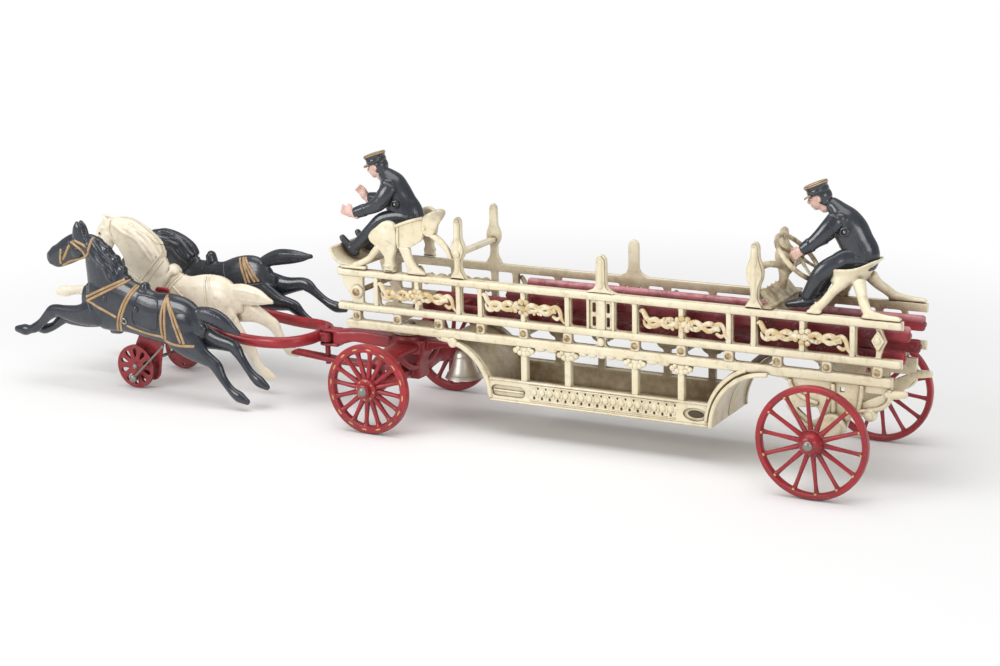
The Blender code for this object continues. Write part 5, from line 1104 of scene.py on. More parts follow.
def ladder(x, z, feet):
    """Two rails on feet, their rungs and the small bosses outside, made in a row by a node tree."""
    shapes = []
    for s in (-1, 1):
        y = s * LADDER_HALF
        top = z + (6.4 if feet else RAIL_HALF)
        shapes.append(brick(x, about(y, 2.8), (z - RAIL_HALF, top), 2.2, 3))
        for px in x:
            facing = (-1 if px == x[0] else 1, 0, 0)
            shapes.append(lathe([(0, 0.9), (1.5, 0.7), (2.1, 0), (0, 0)], (px, y, z), facing, 16))
        for px in feet:
            shapes.append(brick(about(px, 4), about(y, 1.8), (z - 11.2, z - 3), 0.6))
    count = int((x[1] - x[0] - 12) / RUNG_STEP)
    start = ((x[0] + x[1]) / 2 - RUNG_STEP / 2 * (count - 1), 0, 0)
    rung = tube([(0, -LADDER_HALF, z), (0, 0, z), (0, LADDER_HALF, z)], [1.75, 1.95, 1.75], 12, 3, cap=0)
    boss = joined([ball((0, s * (LADDER_HALF + 2.7), z), (2.4, 0.55, 2.4), 12, 6) for s in (-1, 1)])
    shapes += [in_a_row(part, LADDER, count, start, (RUNG_STEP, 0, 0)) for part in (rung, boss)]
    return painted(shapes, LADDER)


SEAT_GAP = 0.35
LONG_Z = KNOB_Z + REST_R + SEAT_GAP + RAIL_HALF
for name, span, z, feet in (("long_ladder", (15, 409), LONG_Z, []),
                            ("short_ladder", (97, 412), LONG_Z + 16.5, [130, 380])):
    piece(name + "_cast", name, ladder(span, z, feet), [name])


# Bogie, bell and hitch

HITCH = -78.5
BELL = (47.6, 33.6, 55.6)


def across_loft(stations, side):
    """Swelling beam along Y: stations are (y, x, z, half height, half length)."""
    return skin([[Vector((sx + hx * c, side * sy, sz + hh * s)) for c, s in around(16)]
                 for sy, sx, sz, hh, hx in smooth_line(stations, 5)])


def bogie_cast():
    half = FRONT_Y - 5.3
    z = FRONT_R
    forms = [lathe([(0, 50), (15.5, 50), (15.6, 57), (14.6, 60.5), (13.6, 62.5), (13.5, 65.1), (0, 65.1)],
                   steps=48),
             slab(rounded([(-13.5, 61.5), (18, 61.5), (15.5, 50), (11, 42), (12, 29.2), (-8, 29.2),
                           (-7.5, 42), (-11.5, 50)], 2), [], (-8.4, 8.4), 1.6),
             slab(rounded([(-14, 61.2), (-40, 62.4), (-56, 62.6), (-66.5, 61), (-71, 58.6), (-71, 48.8),
                           (-62, 49.4), (-52, 52.8), (-36, 51.8), (-14, 50.2)], 3.4), [], (-6, 6), 3.2),
             slab(rounded([(-7, 37.2), (-62, 36.8), (-110, 39.8), (-112.4, 38.2), (-112, 36.2), (-62, 32.2),
                           (-7, 31.8)], 1.2),
                  [], (-4.8, 4.8), 0.9),
             slab(rounded([(10, 60.8), (48, 61.4), (53.2, 60.2), (53.2, 58), (30, 56.4), (10, 49.5)], 1.2),
                  [], (-3.6, 3.6), 1),
             rod((BELL[0], 0, BELL[2] + 0.3), (BELL[0], 0, 59.5), 3.2, sides=24)]
    beam = [(0, 1, 56.2, 5.2, 12.5), (14, 1, 56, 5.1, 11.8), (26, 1, 55.8, 4.9, 10.2),
            (40, 0.8, 54.8, 4.3, 8), (50, 0.4, 52.8, 3.6, 6.2), (56, 0, 50.4, 2.8, 5)]
    for s in (-1, 1):
        forms.append(across_loft(beam, s))
        forms.append(tube([(0, s * 52, 53), (0, s * 48.5, 49), (0, s * 46.5, 43), (0, s * 48.5, z)],
                          [3.6, 3.3, 3.4, 3.8], 14, 6))
        forms.append(tube([(8, s * 6, 39.5), (9, s * 14, 40.6), (9.2, s * 23, 45), (8.4, s * 31, 51),
                           (7, s * 38, 55)],
                          [2.7, 2.6, 2.5, 2.6, 2.8], 14, 6))
        forms.append(tube([(-10, s * 5, 47), (-11, s * 14, 48), (-9.5, s * 26, 52.5), (-7, s * 36, 56)],
                          [2.2, 2.2, 2.2, 2.4], 12, 6))
        forms.append(lathe([(6.2, 4), (6, 20), (4.8, 40), (4.6, 44), (6, 46.5), (6.2, half - 0.2),
                            (0, half - 0.2), (0, 4)], (0, 0, z), (0, s, 0), 28))
        forms.append(tube([(-16, s * 5.2, 60.2), (-34, s * 4.6, 61), (-54, s * 3.8, 61.2)], [1.6, 1.5, 1.4],
                          10, 5))
    for low, high in ((58.7, 61.5), (46.9, 49.3)):
        forms.append(rod((HITCH, 0, low), (HITCH, 0, high), 6.1, sides=32))
        forms.append(brick((HITCH, -65.5), (-5.4, 5.4), (low + 0.1, high - 0.1), 0.6))
    return melt(forms, 0.75, 3)


piece("bogie_casting", "bogie", [(bogie_cast(), RED)], ["bogie"], 50)

bell_x, mouth, crown = BELL
h = crown - mouth
wall = [(1.6, h - 0.1), (4.2, h), (5.6, h - 0.8), (6.5, h - 2.6), (7.6, h - 6.4), (9.2, h - 11.6),
        (11.2, h - 16.4), (13.2, h - 19.6), (14.6, h - 21.3), (14.8, h - 21.9), (14, h - 21.9),
        (12, h - 19), (10, h - 15.8), (8, h - 11), (6.2, h - 5.6), (4.6, h - 1.8), (1.6, h - 1.6)]
shapes = [lathe(wall, (bell_x, 0, mouth), (0, 0, 1), 64, True)]
for r, height in ((7.25, h - 5), (12.6, h - 18.6)):
    shapes.append(lathe([(r + 0.5, 0.35), (r + 0.75, 0), (r + 0.5, -0.35), (r - 0.2, 0)],
                        (bell_x, 0, mouth + height), (0, 0, 1), 64, True))
piece("bell_with_lip", "bogie", painted(shapes, NICKEL), ["bell"])
shapes = [lathe([(0, 63), (1.4, 62.9), (2.4, 62.2), (2.6, 61.35), (1.2, 61.35), (1.2, 54.1), (2.6, 54.1),
                 (2.4, 52.6), (1, 50.9), (0, 50.9)], (bell_x, 0, 0), (0, 0, 1), 24)]
piece("bell_screw_turned", "bogie", painted(shapes, STEEL), ["bell_screw"])
shapes = [tube([(bell_x, 0, 48.6), (bell_x, 0, 43), (bell_x, 0, 37)], 0.9, 12, 3),
          ball((bell_x, 0, 36.1), (2.6, 2.6, 2.6)),
          lathe([(1.6, 0.5), (2, 0), (1.6, -0.5), (0.9, 0)], (bell_x, 0, 47.6), (0, 1, 0), 20, True)]
piece("clapper_with_eye", "clapper", painted(shapes, STEEL), ["bell_clapper"])
pin = lathe([(0, 63.7), (1.8, 63.4), (3.2, 62.6), (3.7, 61.7), (2.2, 61.7), (2.2, 31), (0, 31)],
            (HITCH, 0, 0), (0, 0, 1), 28)
piece("hitch_pin_peened", "bogie", [(pin, RED)], ["hitch_pin"])
king = lathe([(0, 74.9), (2.2, 74.5), (3.8, 73.6), (4.2, 72.7), (4.2, 72.35), (2.5, 72.35), (2.5, 45),
              (0, 45)], steps=28)
piece("king_pin_peened", "truck", [(king, STEEL)], ["king_pin"])
shapes = [brick((-15, 17), (-15, 15), (67.7, LOW0 - 0.3), 0.9),
          lathe([(2.8, 65.5), (13.4, 65.5), (14.2, 66), (15, 68), (15, 71.9), (2.8, 71.9)], steps=48,
                ring=True)]
piece("front_bolster_plate", "truck", painted(shapes, CREAM), ["front_bolster"])

arm = [(-85.5, 0, 54.2), (-86.5, 12, 54), (-92.5, 24, 53.6), (-106, 31.8, 53), (-130, 34.4, 53.2),
       (-158, 35, 56), (-182, 34.4, 59.6), (-205, 30.6, 65.2), (-224, 26.5, 72)]
loop = [(x, -y, z) for x, y, z in reversed(arm)] + arm[1:]
PLATE_LOW = [(-252.5, 6.2), (-233.5, 6.2), (-229.2, 10.5), (-227, 26), (-224, 38), (-219.5, 50),
             (-216, 61.5)]
PLATE_REAR = [(-233, 66), (-240, 56), (-248, 46), (-254, 34), (-256.6, 20)]
PLATE_TOPS = {-1: [(-215.2, 78), (-214.8, 87.4), (-229, 87.4), (-229.6, 77)],
              1: [(-215.4, 76), (-217, 81.5), (-228, 81.5), (-229.6, 76)]}
forms = [tube(loop, 4.8, 20, 7, 0.74), rod((HITCH, 0, 49.8), (HITCH, 0, 58.2), 6, sides=32),
         brick((-87, HITCH), (-5, 5), (50.5, 57.8), 1.2)]
for s in (-1, 1):
    y = s * 26.5
    plate = rounded(PLATE_LOW + PLATE_TOPS[s] + PLATE_REAR, 3.4, 4)
    forms.append(slab(plate, [], about(y, 1.35), 0.5))
    for px, pz, r in ((*HORSE_ROD, 4.6), (TEAM_X, TEAM_R, 5.2)):
        forms.append(rod((px, s * 25, pz), (px, s * 28.1, pz), r, sides=28))
piece("yoke_bar_and_brackets", "yoke", [(melt(forms, 0.7, 3), RED)], ["hitch_yoke"], 50)


# Small wheels and crank rods

TEAM_HOLES = 10


def team_wheel(s):
    """Disc with a rim, teardrop holes and a crank pin."""
    drop = [(11.6 - 4.0 * c, 2.6 * w * (0.62 - 0.38 * c)) for c, w in around(14)]
    holes = []
    for i in range(TEAM_HOLES):
        turn = 2 * math.pi * (i + 0.5) / TEAM_HOLES
        c, w = math.cos(turn), math.sin(turn)
        holes.append([(r * c - wide * w, r * w + wide * c) for r, wide in drop])
    shapes = [slab(oval(0, 0, TEAM_R, TEAM_R, 72), holes, (-1.4, 1.4), 0.4),
              lathe([(18.2, 1.8), (17, 1.8), (16.2, 1.2), (16.2, -1.2), (17, -1.8), (18.2, -1.8),
                     (18.4, -1.2), (18.4, 1.2)], (0, 0, 0), (0, -1, 0), 72, True),
              lathe([(1.7, 2.2), (3.6, 2.2), (4.6, 1.2), (4.9, -1.4), (1.7, -1.4)], (0, 0, 0), (0, -1, 0),
                    32, True)]
    pin = lathe([(0, 7.9), (1.8, 7.7), (3, 7.1), (3.4, 6.4), (1.2, 6.4), (1.2, 1.5), (0, 1.5)],
                (0, 0, -CRANK), (0, -1, 0), 24)
    boss = rod((0, -1, -CRANK), (0, -2.1, -CRANK), 2.6, 2.3, 24)
    parts = placed(painted(shapes + [boss], RED) + [(pin, STEEL)],
                   Matrix.Translation((TEAM_X, -TEAM_Y, TEAM_R)))
    return parts if s < 0 else mirrored(parts)


def crank_rod(s):
    """Wire with an eye on the crank pin and a hooked end in the outer horse."""
    y = -38.6
    foot = Vector((TEAM_X, y, TEAM_R - CRANK))
    top = Vector((-216.5, y, 39.7))
    hook = top + Vector((1.2, 0.5, 0.8))
    d = (top - foot).normalized()
    shapes = [lathe([(1.5, 0.9), (2.9, 0.9), (3.2, 0.4), (3.2, -0.4), (2.9, -0.9), (1.5, -0.9)], foot,
                    (0, -1, 0), 24, True),
              tube([foot + d * 2.4, foot + d * 14, foot + d * 30, top - d * 1.5, hook], 0.95, 12, 4),
              ball(top, (1.5, 1.1, 1.5), 14, 8)]
    parts = painted(shapes, STEEL)
    return parts if s < 0 else mirrored(parts)


for s, side in ((-1, "near"), (1, "far")):
    piece("team_wheel_cast_%s" % side, "team_wheel_%s" % side, team_wheel(s),
          ["team_wheel_%s" % side])
    piece("crank_rod_wire_%s" % side, "crank_rod_%s" % side, crank_rod(s),
          ["crank_rod_%s" % side])
shapes = [rod((TEAM_X, -35.5, TEAM_R), (TEAM_X, 35.5, TEAM_R), 1.4)]
shapes += [peened((TEAM_X, s * 35.6, TEAM_R), s, 2.2, 0.9) for s in (-1, 1)]
piece("team_axle_peened", "yoke", painted(shapes, STEEL), ["team_axle"])
rod_x, rod_z = HORSE_ROD
shapes = [rod((rod_x, -60.9, rod_z), (rod_x, 60.9, rod_z), 1.5)]
shapes += [peened((rod_x, s * 61, rod_z), s, 2.7, 1.1) for s in (-1, 1)]
piece("horse_rod_peened", "yoke", [(bm, BLACK if i else STEEL) for i, bm in enumerate(shapes)],
      ["horse_rod"])


# Horses

# The near horse; the middle and the far one have other necks, tails and forelegs
TROT = {
    "body": [(-40, -5, 15.5, 6.4), (-36, -4.5, 21, 8.2), (-29, -3, 24.5, 9.3), (-14, -1, 25, 9.6),
             (6, -2, 22, 9.6), (24, -4, 20.6, 9.5), (42, -3, 22, 9.4), (56, -2.5, 20.5, 8.6),
             (66, -4.5, 14.5, 6.8), (72, -6, 7.5, 4.4)],
    "neck": [(-17, 2, 24, 8.6), (-24, 14, 21, 8.2), (-30.5, 26.5, 17.2, 7.2), (-38, 37.5, 13, 6.2),
             (-47, 42.5, 9.6, 5.3)],
    "head": [(-49, 42, 9.4, 5.3), (-57, 38, 11.2, 5.7), (-65, 32.6, 11.2, 5.4), (-73, 27, 10, 4.9),
             (-79, 23.8, 9.2, 4.6), (-83, 22.2, 7, 3.9)],
    "tail": [(61, 6, 4.6, 3.2), (70, 8.4, 6.2, 3.8), (82, 8.6, 7.6, 4.3), (93, 6, 6.8, 4),
             (102, 2.8, 4, 2.7), (107.5, 0.8, 1.3, 1.1)],
    "ear": [(-53.5, 46, 6.6, 3.2), (-54.6, 51, 6, 3), (-55.6, 55.5, 4.4, 2.5), (-56.4, 58.8, 1.8, 1.3)],
    "crest": [(-41, 48.5), (-33, 46), (-24, 40.5), (-15, 34), (-8.5, 26.5), (-4.5, 20)],
    "near": [[(-32, -13, 10.5, 4.4), (-47, -18.5, 7.6, 4.1), (-62, -20.2, 5.6, 3.5), (-72, -20.6, 4.6, 3.1),
              (-77, -23, 4.9, 3.3), (-82, -28, 3.9, 2.9), (-88, -35, 3.2, 2.6), (-94, -41, 3.7, 3),
              (-99.5, -44, 3.3, 2.8), (-105, -45.6, 4.3, 3.4), (-111.5, -46.6, 3.6, 3.1)],
             [(54, -12, 14, 4.9), (66, -19, 10.6, 4.5), (78, -24.6, 6.6, 3.8), (87, -27.6, 4.9, 3.2),
              (92, -31, 5, 3.2), (98, -38.5, 3.5, 2.7), (105, -45, 3.1, 2.5), (110.5, -48.6, 3.7, 2.9),
              (115.5, -50.4, 4.2, 3.2), (121.5, -52.2, 3.2, 2.8)]],
    "far": [[(-34, -18, 9, 4.2), (-48, -24.4, 6.6, 3.9), (-62, -27.6, 5.2, 3.3), (-70, -28.4, 4.7, 3.2),
             (-75, -32, 4.1, 3), (-81, -38, 3.2, 2.6), (-87, -41.8, 3.5, 2.8), (-93, -43.8, 4.1, 3.2),
             (-98.5, -45.2, 3.1, 2.8)],
            [(57, -8, 13.4, 4.7), (70, -11, 10, 4.2), (84, -12.6, 6.4, 3.7), (98, -13, 5, 3.2),
             (103.5, -15.6, 4.9, 3.2), (109, -21.5, 3.5, 2.7), (116.5, -29.2, 3.1, 2.5),
             (122.5, -34, 3.7, 2.9), (127.5, -36.6, 4.2, 3.2), (133.5, -39, 3.2, 2.8)]],
}
CURB = dict(TROT)
CURB["neck"] = [(-14, 8, 23.5, 8.5), (-19, 22, 22, 8.1), (-26.5, 37.5, 19, 7.4), (-38, 48, 15, 6.4),
                (-50, 54, 10.2, 5.4), (-56, 55.5, 7.8, 4.8)]
CURB["head"] = [(-51, 56, 8.3, 5.2), (-57, 51.5, 10.2, 5.6), (-61.5, 45, 10, 5.3), (-64.4, 35.5, 7.9, 4.6),
                (-65.8, 28, 6.3, 4), (-66.8, 22.5, 4.9, 3.3)]
CURB["ear"] = [(-54.5, 55.5, 4.4, 2.4), (-56.8, 60, 3.4, 2.1), (-58.4, 63.5, 2.2, 1.6),
               (-59.6, 66.5, 0.7, 0.7)]
CURB["tail"] = [(59, 4, 5.8, 3.4), (69, 4.6, 7.6, 4), (79, 3.8, 8.9, 4.4), (91, 2.2, 7.4, 3.9),
                (99, 0.2, 4.4, 2.7), (105, -1.4, 1.3, 1.1)]
CURB["crest"] = [(-46, 63.5), (-36, 62.5), (-24, 59), (-12, 51), (-3, 39.5), (1, 31)]
CURB["near"] = [[(-32, -10, 10.6, 4.4), (-47, -9.6, 8.2, 4.1), (-62, -6.6, 6, 3.5), (-76, -3, 5, 3.3),
                 (-82, -1, 4.9, 3.2), (-89, -0.4, 3.8, 2.9), (-96, -0.6, 3.5, 2.7), (-102, -1.4, 3.9, 3),
                 (-107, -2, 4.4, 3.3), (-113, -3, 3.6, 3)],
                [(54, -12, 14, 4.9), (62, -20.5, 10.8, 4.5), (71, -29.5, 7.2, 3.8), (79.5, -38, 5.2, 3.3),
                 (83.5, -42.5, 5, 3.2), (87, -49, 3.6, 2.7), (90.5, -55, 3.3, 2.6), (94.5, -59, 3.9, 2.9),
                 (98, -61.5, 4.2, 3.2), (102.5, -63.8, 3.2, 2.8)]]
CURB["far"] = [[(-34, -16, 9, 4.2), (-48, -19, 6.6, 3.9), (-62, -18, 5.2, 3.3), (-71, -16.4, 4.7, 3.2),
                (-77, -16, 4.1, 3), (-84, -17, 3.4, 2.7), (-90, -18, 3.7, 2.9), (-95, -18.6, 4.1, 3.2),
                (-100, -19.4, 3.3, 2.9)],
               [(57, -7, 13.4, 4.7), (72, -10, 10, 4.2), (86, -13.6, 6.6, 3.7), (97, -18.8, 5.1, 3.2),
                (102.5, -22.6, 4.9, 3.2), (106.5, -29.5, 3.5, 2.7), (110.5, -36, 3.2, 2.5),
                (114.5, -40.4, 3.8, 2.9), (117.5, -42.6, 4.2, 3.2), (122, -44.6, 3.2, 2.8)]]

FAR = dict(TROT)
FAR["neck"] = [(-16, 3, 24.5, 8.6), (-22, 16, 23, 8.2), (-28.5, 29.5, 20, 7.4), (-37, 40, 14.4, 6.4),
               (-47, 43.5, 10, 5.3)]
FAR["tail"] = [(61, 8, 4.8, 3.2), (71, 11.6, 5.6, 3.7), (83, 13, 6.9, 4.2), (95, 12, 6.4, 4),
               (107, 10.4, 4.4, 2.9), (116, 9.4, 1.4, 1.1)]
FAR["crest"] = [(-42, 52), (-33, 51.5), (-21, 48.5), (-10, 42.5), (-3, 33), (2, 26)]

FAR["near"] = [[(-32, -13, 10.5, 4.4), (-47, -16, 7.6, 4.1), (-60, -14.4, 5.6, 3.5), (-69, -12.6, 4.6, 3.1),
                (-74, -13.6, 4.9, 3.3), (-80, -18, 3.9, 2.9), (-85, -22, 3.3, 2.6), (-90, -25.4, 3.7, 3),
                (-95, -27, 3.3, 2.8), (-100, -28, 4.3, 3.4), (-106, -28.6, 3.6, 3.1)], TROT["near"][1]]
FAR["far"] = [[(-34, -16, 9, 4.2), (-46, -20.4, 6.6, 3.9), (-58, -20.6, 5.2, 3.3), (-66, -19.4, 4.7, 3.2),
               (-71, -21, 4.1, 3), (-77, -25, 3.3, 2.6), (-82, -28, 3.5, 2.8), (-88, -30, 4.1, 3.2),
               (-93, -31.2, 3.3, 2.9)], TROT["far"][1]]

BANDS = {
    "near": {
        "trim": [[(-69.9, 33.6), (-70.6, 20.6)], [(-59.2, 42.2), (-48.9, 37.2), (-44.7, 31.7)],
                 [(-55.9, 43.9), (-48, 42.4), (-41.4, 40.6)],
                 [(-38.4, 49.2), (-39.1, 39.3), (-46.5, 31.3), (-61.7, 24.2)],
                 [(-61.7, 24.2), (-69.3, 18.9)], [(-60.5, 39.5), (-64.5, 31), (-67.5, 25)],
                 [(2, 25.3), (-17, 13.6), (-38.3, 0.2)], [(1, 22.4), (-17, 10.4), (-37.6, -3.2)],
                 [(-38.2, -2.8), (-22.6, -6.6), (-7.1, -10.7)],
                 [(10, 19), (4, 7.6), (-1.6, -8.4), (-4.8, -22.6)],
                 [(7.4, 19), (1.4, 7.6), (-4.4, -8.4), (-7.8, -22.4)],
                 [(3.1, -15.8), (14, -17.2), (28, -17.6), (40.8, -16.7)],
                 [(38.8, 17.7), (37.6, 1.4), (39.4, -18.2)], [(38.8, 17.7), (41, 1.4), (42.6, -18.2)],
                 [(39.9, 16.2), (48.8, 0.5), (58.8, -17.1)], [(39.9, 16.2), (52.2, 0.5), (62.4, -17.1)],
                 [(41, -19.1), (53.8, -19.9), (72, -16.8)]],
        "seams": [[(12, 13), (30, 12.4), (33.5, -2), (31, -13), (12, -12.4), (8.5, -3), (12, 13)]]},
    "middle": {
        "trim": [],
        "seams": [[(-51.2, 64), (-51.7, 52.2), (-46.3, 40.4)],
                  [(6.1, 39), (-1, 28), (-9.8, 17.3), (-22, 5), (-37, -3)],
                  [(3, 41), (-5, 30), (-14, 19.5), (-26, 8)],
                  [(21.2, 22), (9, 12), (2.8, 2), (-1, -10), (-4, -21)],
                  [(24, 21), (12, 11), (5.8, 1), (2, -10), (-1, -21)], [(43.2, 18), (45.4, 0.1), (46, -17)],
                  [(46, 17), (53, 1), (61, -15)], [(11.7, 9), (22, 1), (33.8, -5.9)],
                  [(-36.4, 19.7), (-24, 13), (-10.8, 8.1)],
                  [(2, -15.8), (28, -17.6), (45, -17)], [(46, -18.6), (60, -18.6), (71, -15)],
                  [(-31.1, 60), (-13.9, 52), (0, 40)]]},
    "far": {
        "trim": [[(46.4, 17.5), (51.8, -4)], [(49.6, 17.5), (55.2, -4)], [(49.6, 17.5), (60.4, -4)],
                 [(52, 17.2), (63.8, -4)]],
        "seams": [[(39.7, -4), (52, -5.4), (66, -6.3)], [(2, 25), (-17, 12.2), (-38, -1.6)],
                  [(8.8, 19), (0, 0), (-6, -21)],
                  [(3, -16), (24, -17.4), (40, -16.4)], [(28, 15), (31, 0), (30, -14)]]},
}


GIRTH_RING = (0.7, -12.1)
RIVET_X, RIVET_Y, RIVET_Z = -20.0, 9.9, 3.0


def mane(shape, s, seed, lobes):
    """Long wavy ridges along the neck, with rounded lobes on the crest where lobes is set."""
    draw = random.Random(seed)
    line = smooth_line(shape["crest"], 3)
    forms = []
    for depth, out in ((0.6, 1.7), (3.6, 4.3), (7.0, 5.8), (10.4, 6.6)):
        path = []
        for i in range(0, len(line), 2):
            x, z = line[i]
            tx, tz = Vector(line[min(i + 1, len(line) - 1)]) - Vector(line[max(i - 1, 0)])
            size = math.hypot(tx, tz)
            swell = min(1.0, 0.45 + i * 0.12)
            d = (depth + 0.7 * math.sin(i * 0.9 + depth) + draw.uniform(-0.3, 0.3)) * swell
            path.append((x + tz / size * d, s * (out + 0.25 * math.sin(i + depth)), z - tx / size * d))
        forms.append(tube(path, [2.3] * (len(path) - 1) + [1.3], 10, 2))
    if lobes:
        for i in range(2, len(line), 3):
            x, z = line[i]
            forms.append(ball((x + 0.6, s * 1.2, z - 1.6), (4.4, 3.2, 4.0 + draw.random() * 0.8), 16, 10))
            forms.append(limb([(x + 0.4, z - 3, 3.6, 2.2, s * 2.4), (x - 1.0, z - 9, 3.0, 1.8, s * 5.4),
                               (x - 2.6, z - 14, 1.6, 1.0, s * 7.0)], 10, 3))
    return forms


def pad_forms(pad):
    """What stands on the back: a knob, a rolled pad with flaps, or a low pad."""
    forms = []
    if pad == "knob":
        forms.append(limb([(14, 18, 5, 5.4), (14, 24.5, 4.4, 4.6), (13.8, 26, 2.6, 3)], 16, 4))
    elif pad == "roll":
        forms.append(limb([(12, 19, 3.4, 5.8), (9.6, 22.4, 3.5, 5.4), (7, 24.6, 2.4, 4.4)], 16, 4))
        for s in (-1, 1):
            forms.append(tube([(9.6, s * 4.5, 21.5), (5.6, s * 8.6, 14.5), (1.5, s * 9.8, 7)],
                              [2.3, 1.7, 0.8], 14, 5))
    else:
        forms.append(limb([(14, 17, 4.6, 5), (14, 20.6, 3.6, 4)], 16, 4))
    return forms


def horse_forms(shape, seed, pad):
    """Body, neck, head, tail, legs with their muscles, manes and pad, to be run together."""
    forms = [limb(shape["body"], 28, 5), limb(shape["neck"], 24, 5), limb(shape["head"], 24, 5),
             limb(shape["tail"], 18, 5)]
    hx, hz = shape["head"][1][:2]
    mx, mz = shape["head"][3][:2]
    nx, nz = shape["head"][-1][:2]
    for s in (-1, 1):
        forms.append(limb(shape["ear"], 12, 4, s * 2.6))
        for leg in shape["near" if s < 0 else "far"]:
            stout = [(x, z, h * 1.16, w * 1.14) for x, z, h, w in leg[:-1]] + [leg[-1]]
            forms.append(limb(stout, 16, 5, s * 4.6, 1.3))
        for x, y, z, radii in ((-25, 5, -4, (12, 4.9, 15)), (-35, 4.2, -10, (9, 4.6, 10)),
                               (54, 4.6, -5, (15, 5.4, 14.5))):
            forms.append(ball((x, s * y, z), radii, 20, 12))
        forms.append(ball((hx + 2, s * 3.9, hz - 3.4), (5.6, 2.5, 5.4), 16, 10))
        forms.append(ball((hx - 3, s * 4.5, hz + 3.6), (3, 1.6, 2.2), 14, 8))
        forms.append(tube([(hx - 1, s * 4.9, hz - 0.5), ((hx + mx) / 2, s * 4.6, (hz + mz) / 2 + 0.5),
                           (mx, s * 3.8, mz)],
                          [0.8, 1.3, 0.7], 10, 4))
        forms.append(ball((nx + 1.4, s * 2.9, nz + 2), (2.6, 1.7, 2.4), 12, 8))
        forms.append(ball((nx + 2.4, s * 2.2, nz - 3.4), (3.6, 1.9, 1.8), 12, 8))
        forms += mane(shape, s, seed + s, pad == "low")
        forms.append(tube([(-41, s * 5.4, 10), (-38, s * 7.6, 0), (-33, s * 9, -11)], [1, 1.5, 1], 10, 4))
    top = shape["tail"]
    for k in range(4):
        lift = 3.6 - 2.4 * k
        forms.append(limb([(x + 1, z + lift * h / 8, 1.2, w * 1.02) for x, z, h, w in top[1:]], 10, 4))
    return forms + pad_forms(pad)


def parted(bm):
    """Two castings with a fine seam along the middle."""
    halves = []
    for s in (-1, 1):
        half = sliced(bm.copy(), (0, s * SEAM, 0), (0, -s, 0), 0.0001)
        bmesh.ops.recalc_face_normals(half, faces=half.faces)
        halves.append(half)
    bm.free()
    return halves


def eye_parts(tree, x, z, s, r, finish, rim):
    hit, normal = catch(tree, x, z, s)
    if hit is None:
        return []
    lid = lathe([(r * 1.15, 0.25), (r * 1.5, 0.1), (r * 1.6, -0.5), (r * 0.9, -0.5)], steps=18, ring=True)
    globe = ball((0, 0, -r * 0.35), (r * 1.15, r * 0.95, r * 0.85), 14, 10)
    return placed([(globe, finish), (lid, rim)], against(hit, normal))


def harness_parts(tree, bands, coat):
    """Straps in relief on both sides, tan where they are painted, and the ring of the girth."""
    parts = []
    for s in (-1, 1):
        for kind, finish, wide, thick in (("trim", TAN, 2.3, 0.9), ("seams", coat, 1.8, 0.8)):
            for line in bands[kind]:
                parts.append((strap(tree, line, s, wide, thick), finish))
        hit, normal = catch(tree, *GIRTH_RING, s)
        if hit is not None:
            ring = lathe([(2.5, 0.6), (3.1, 0.1), (2.5, -0.4), (1.6, 0.1)], steps=24, ring=True)
            parts.append((moved(ring, against(hit + normal * 0.4, normal)), STEEL))
    return parts


def horse(name, shape, bands, coat, y, tilt, seed, pad):
    cast = melt(horse_forms(shape, seed, pad), 0.7, 2)
    tree = BVHTree.FromBMesh(cast)
    parts = painted(parted(cast), coat) + harness_parts(tree, bands, coat)
    hx, hz = shape["head"][1][:2]
    nx, nz = shape["head"][-1][:2]
    for s in (-1, 1):
        parts += eye_parts(tree, hx - 5.6, hz - 1, s, 1.25, BLACK if coat is IVORY else TAN, coat)
        # Dark fill in the ivory horse's nostril dent and along each mouth line: painted shade
        hit, normal = catch(tree, nx + 0.4, nz + 1.6, s)
        if hit is not None:
            parts.append((ball(hit, (1, 0.35, 0.75), 12, 8), DIMPLE_SHADE if coat is IVORY else BLACK))
        lips = [(nx - 1.5, nz - 1.6), (nx + 3, nz - 1.8), (nx + 7, nz - 0.6)]
        parts.append((strap(tree, lips, s, 0.5, 0.25, 6), DIMPLE_SHADE))
        head = lathe([(0, 1), (1.3, 0.85), (2.2, 0.3), (2.5, -0.3), (0, -0.3)],
                     (RIVET_X, s * RIVET_Y, RIVET_Z), (0, s, 0), 24)
        parts.append((head, STEEL if coat is IVORY else coat))
    parts.append((rod((RIVET_X, -RIVET_Y, RIVET_Z), (RIVET_X, RIVET_Y, RIVET_Z), 1.4), STEEL))
    hung = Matrix.Translation((HORSE_ROD[0], y, HORSE_ROD[1])) @ tipped(tilt)
    piece("%s_horse_cast" % name, "%s_horse" % name,
          placed(parts, hung @ Matrix.Translation((-12, 0, -1))),
          ["%s_horse_near_half" % name, "%s_horse_far_half" % name, "%s_horse_rivet" % name], 60)


horse("near", TROT, BANDS["near"], BLACK, -51, 7.7, 11, "low")
horse("middle", CURB, BANDS["middle"], IVORY, 0, -2.2, 21, "roll")
horse("far", FAR, BANDS["far"], BLACK, 51, -12, 31, "knob")


# Seats, boards and steering

SEAT_TOP = 150.3
FOOT = 120.9


def ribbon(points, half):
    """Outline of a bent plate of even thickness."""
    line = [Vector((p[0], 0, p[1])) for p in smooth_line(points, 5)]
    left, right = [], []
    for i, p in enumerate(line):
        d = (line[min(i + 1, len(line) - 1)] - line[max(i - 1, 0)]).normalized()
        left.append((p.x - d.z * half, p.z + d.x * half))
        right.append((p.x + d.z * half, p.z - d.x * half))
    return left + right[::-1]


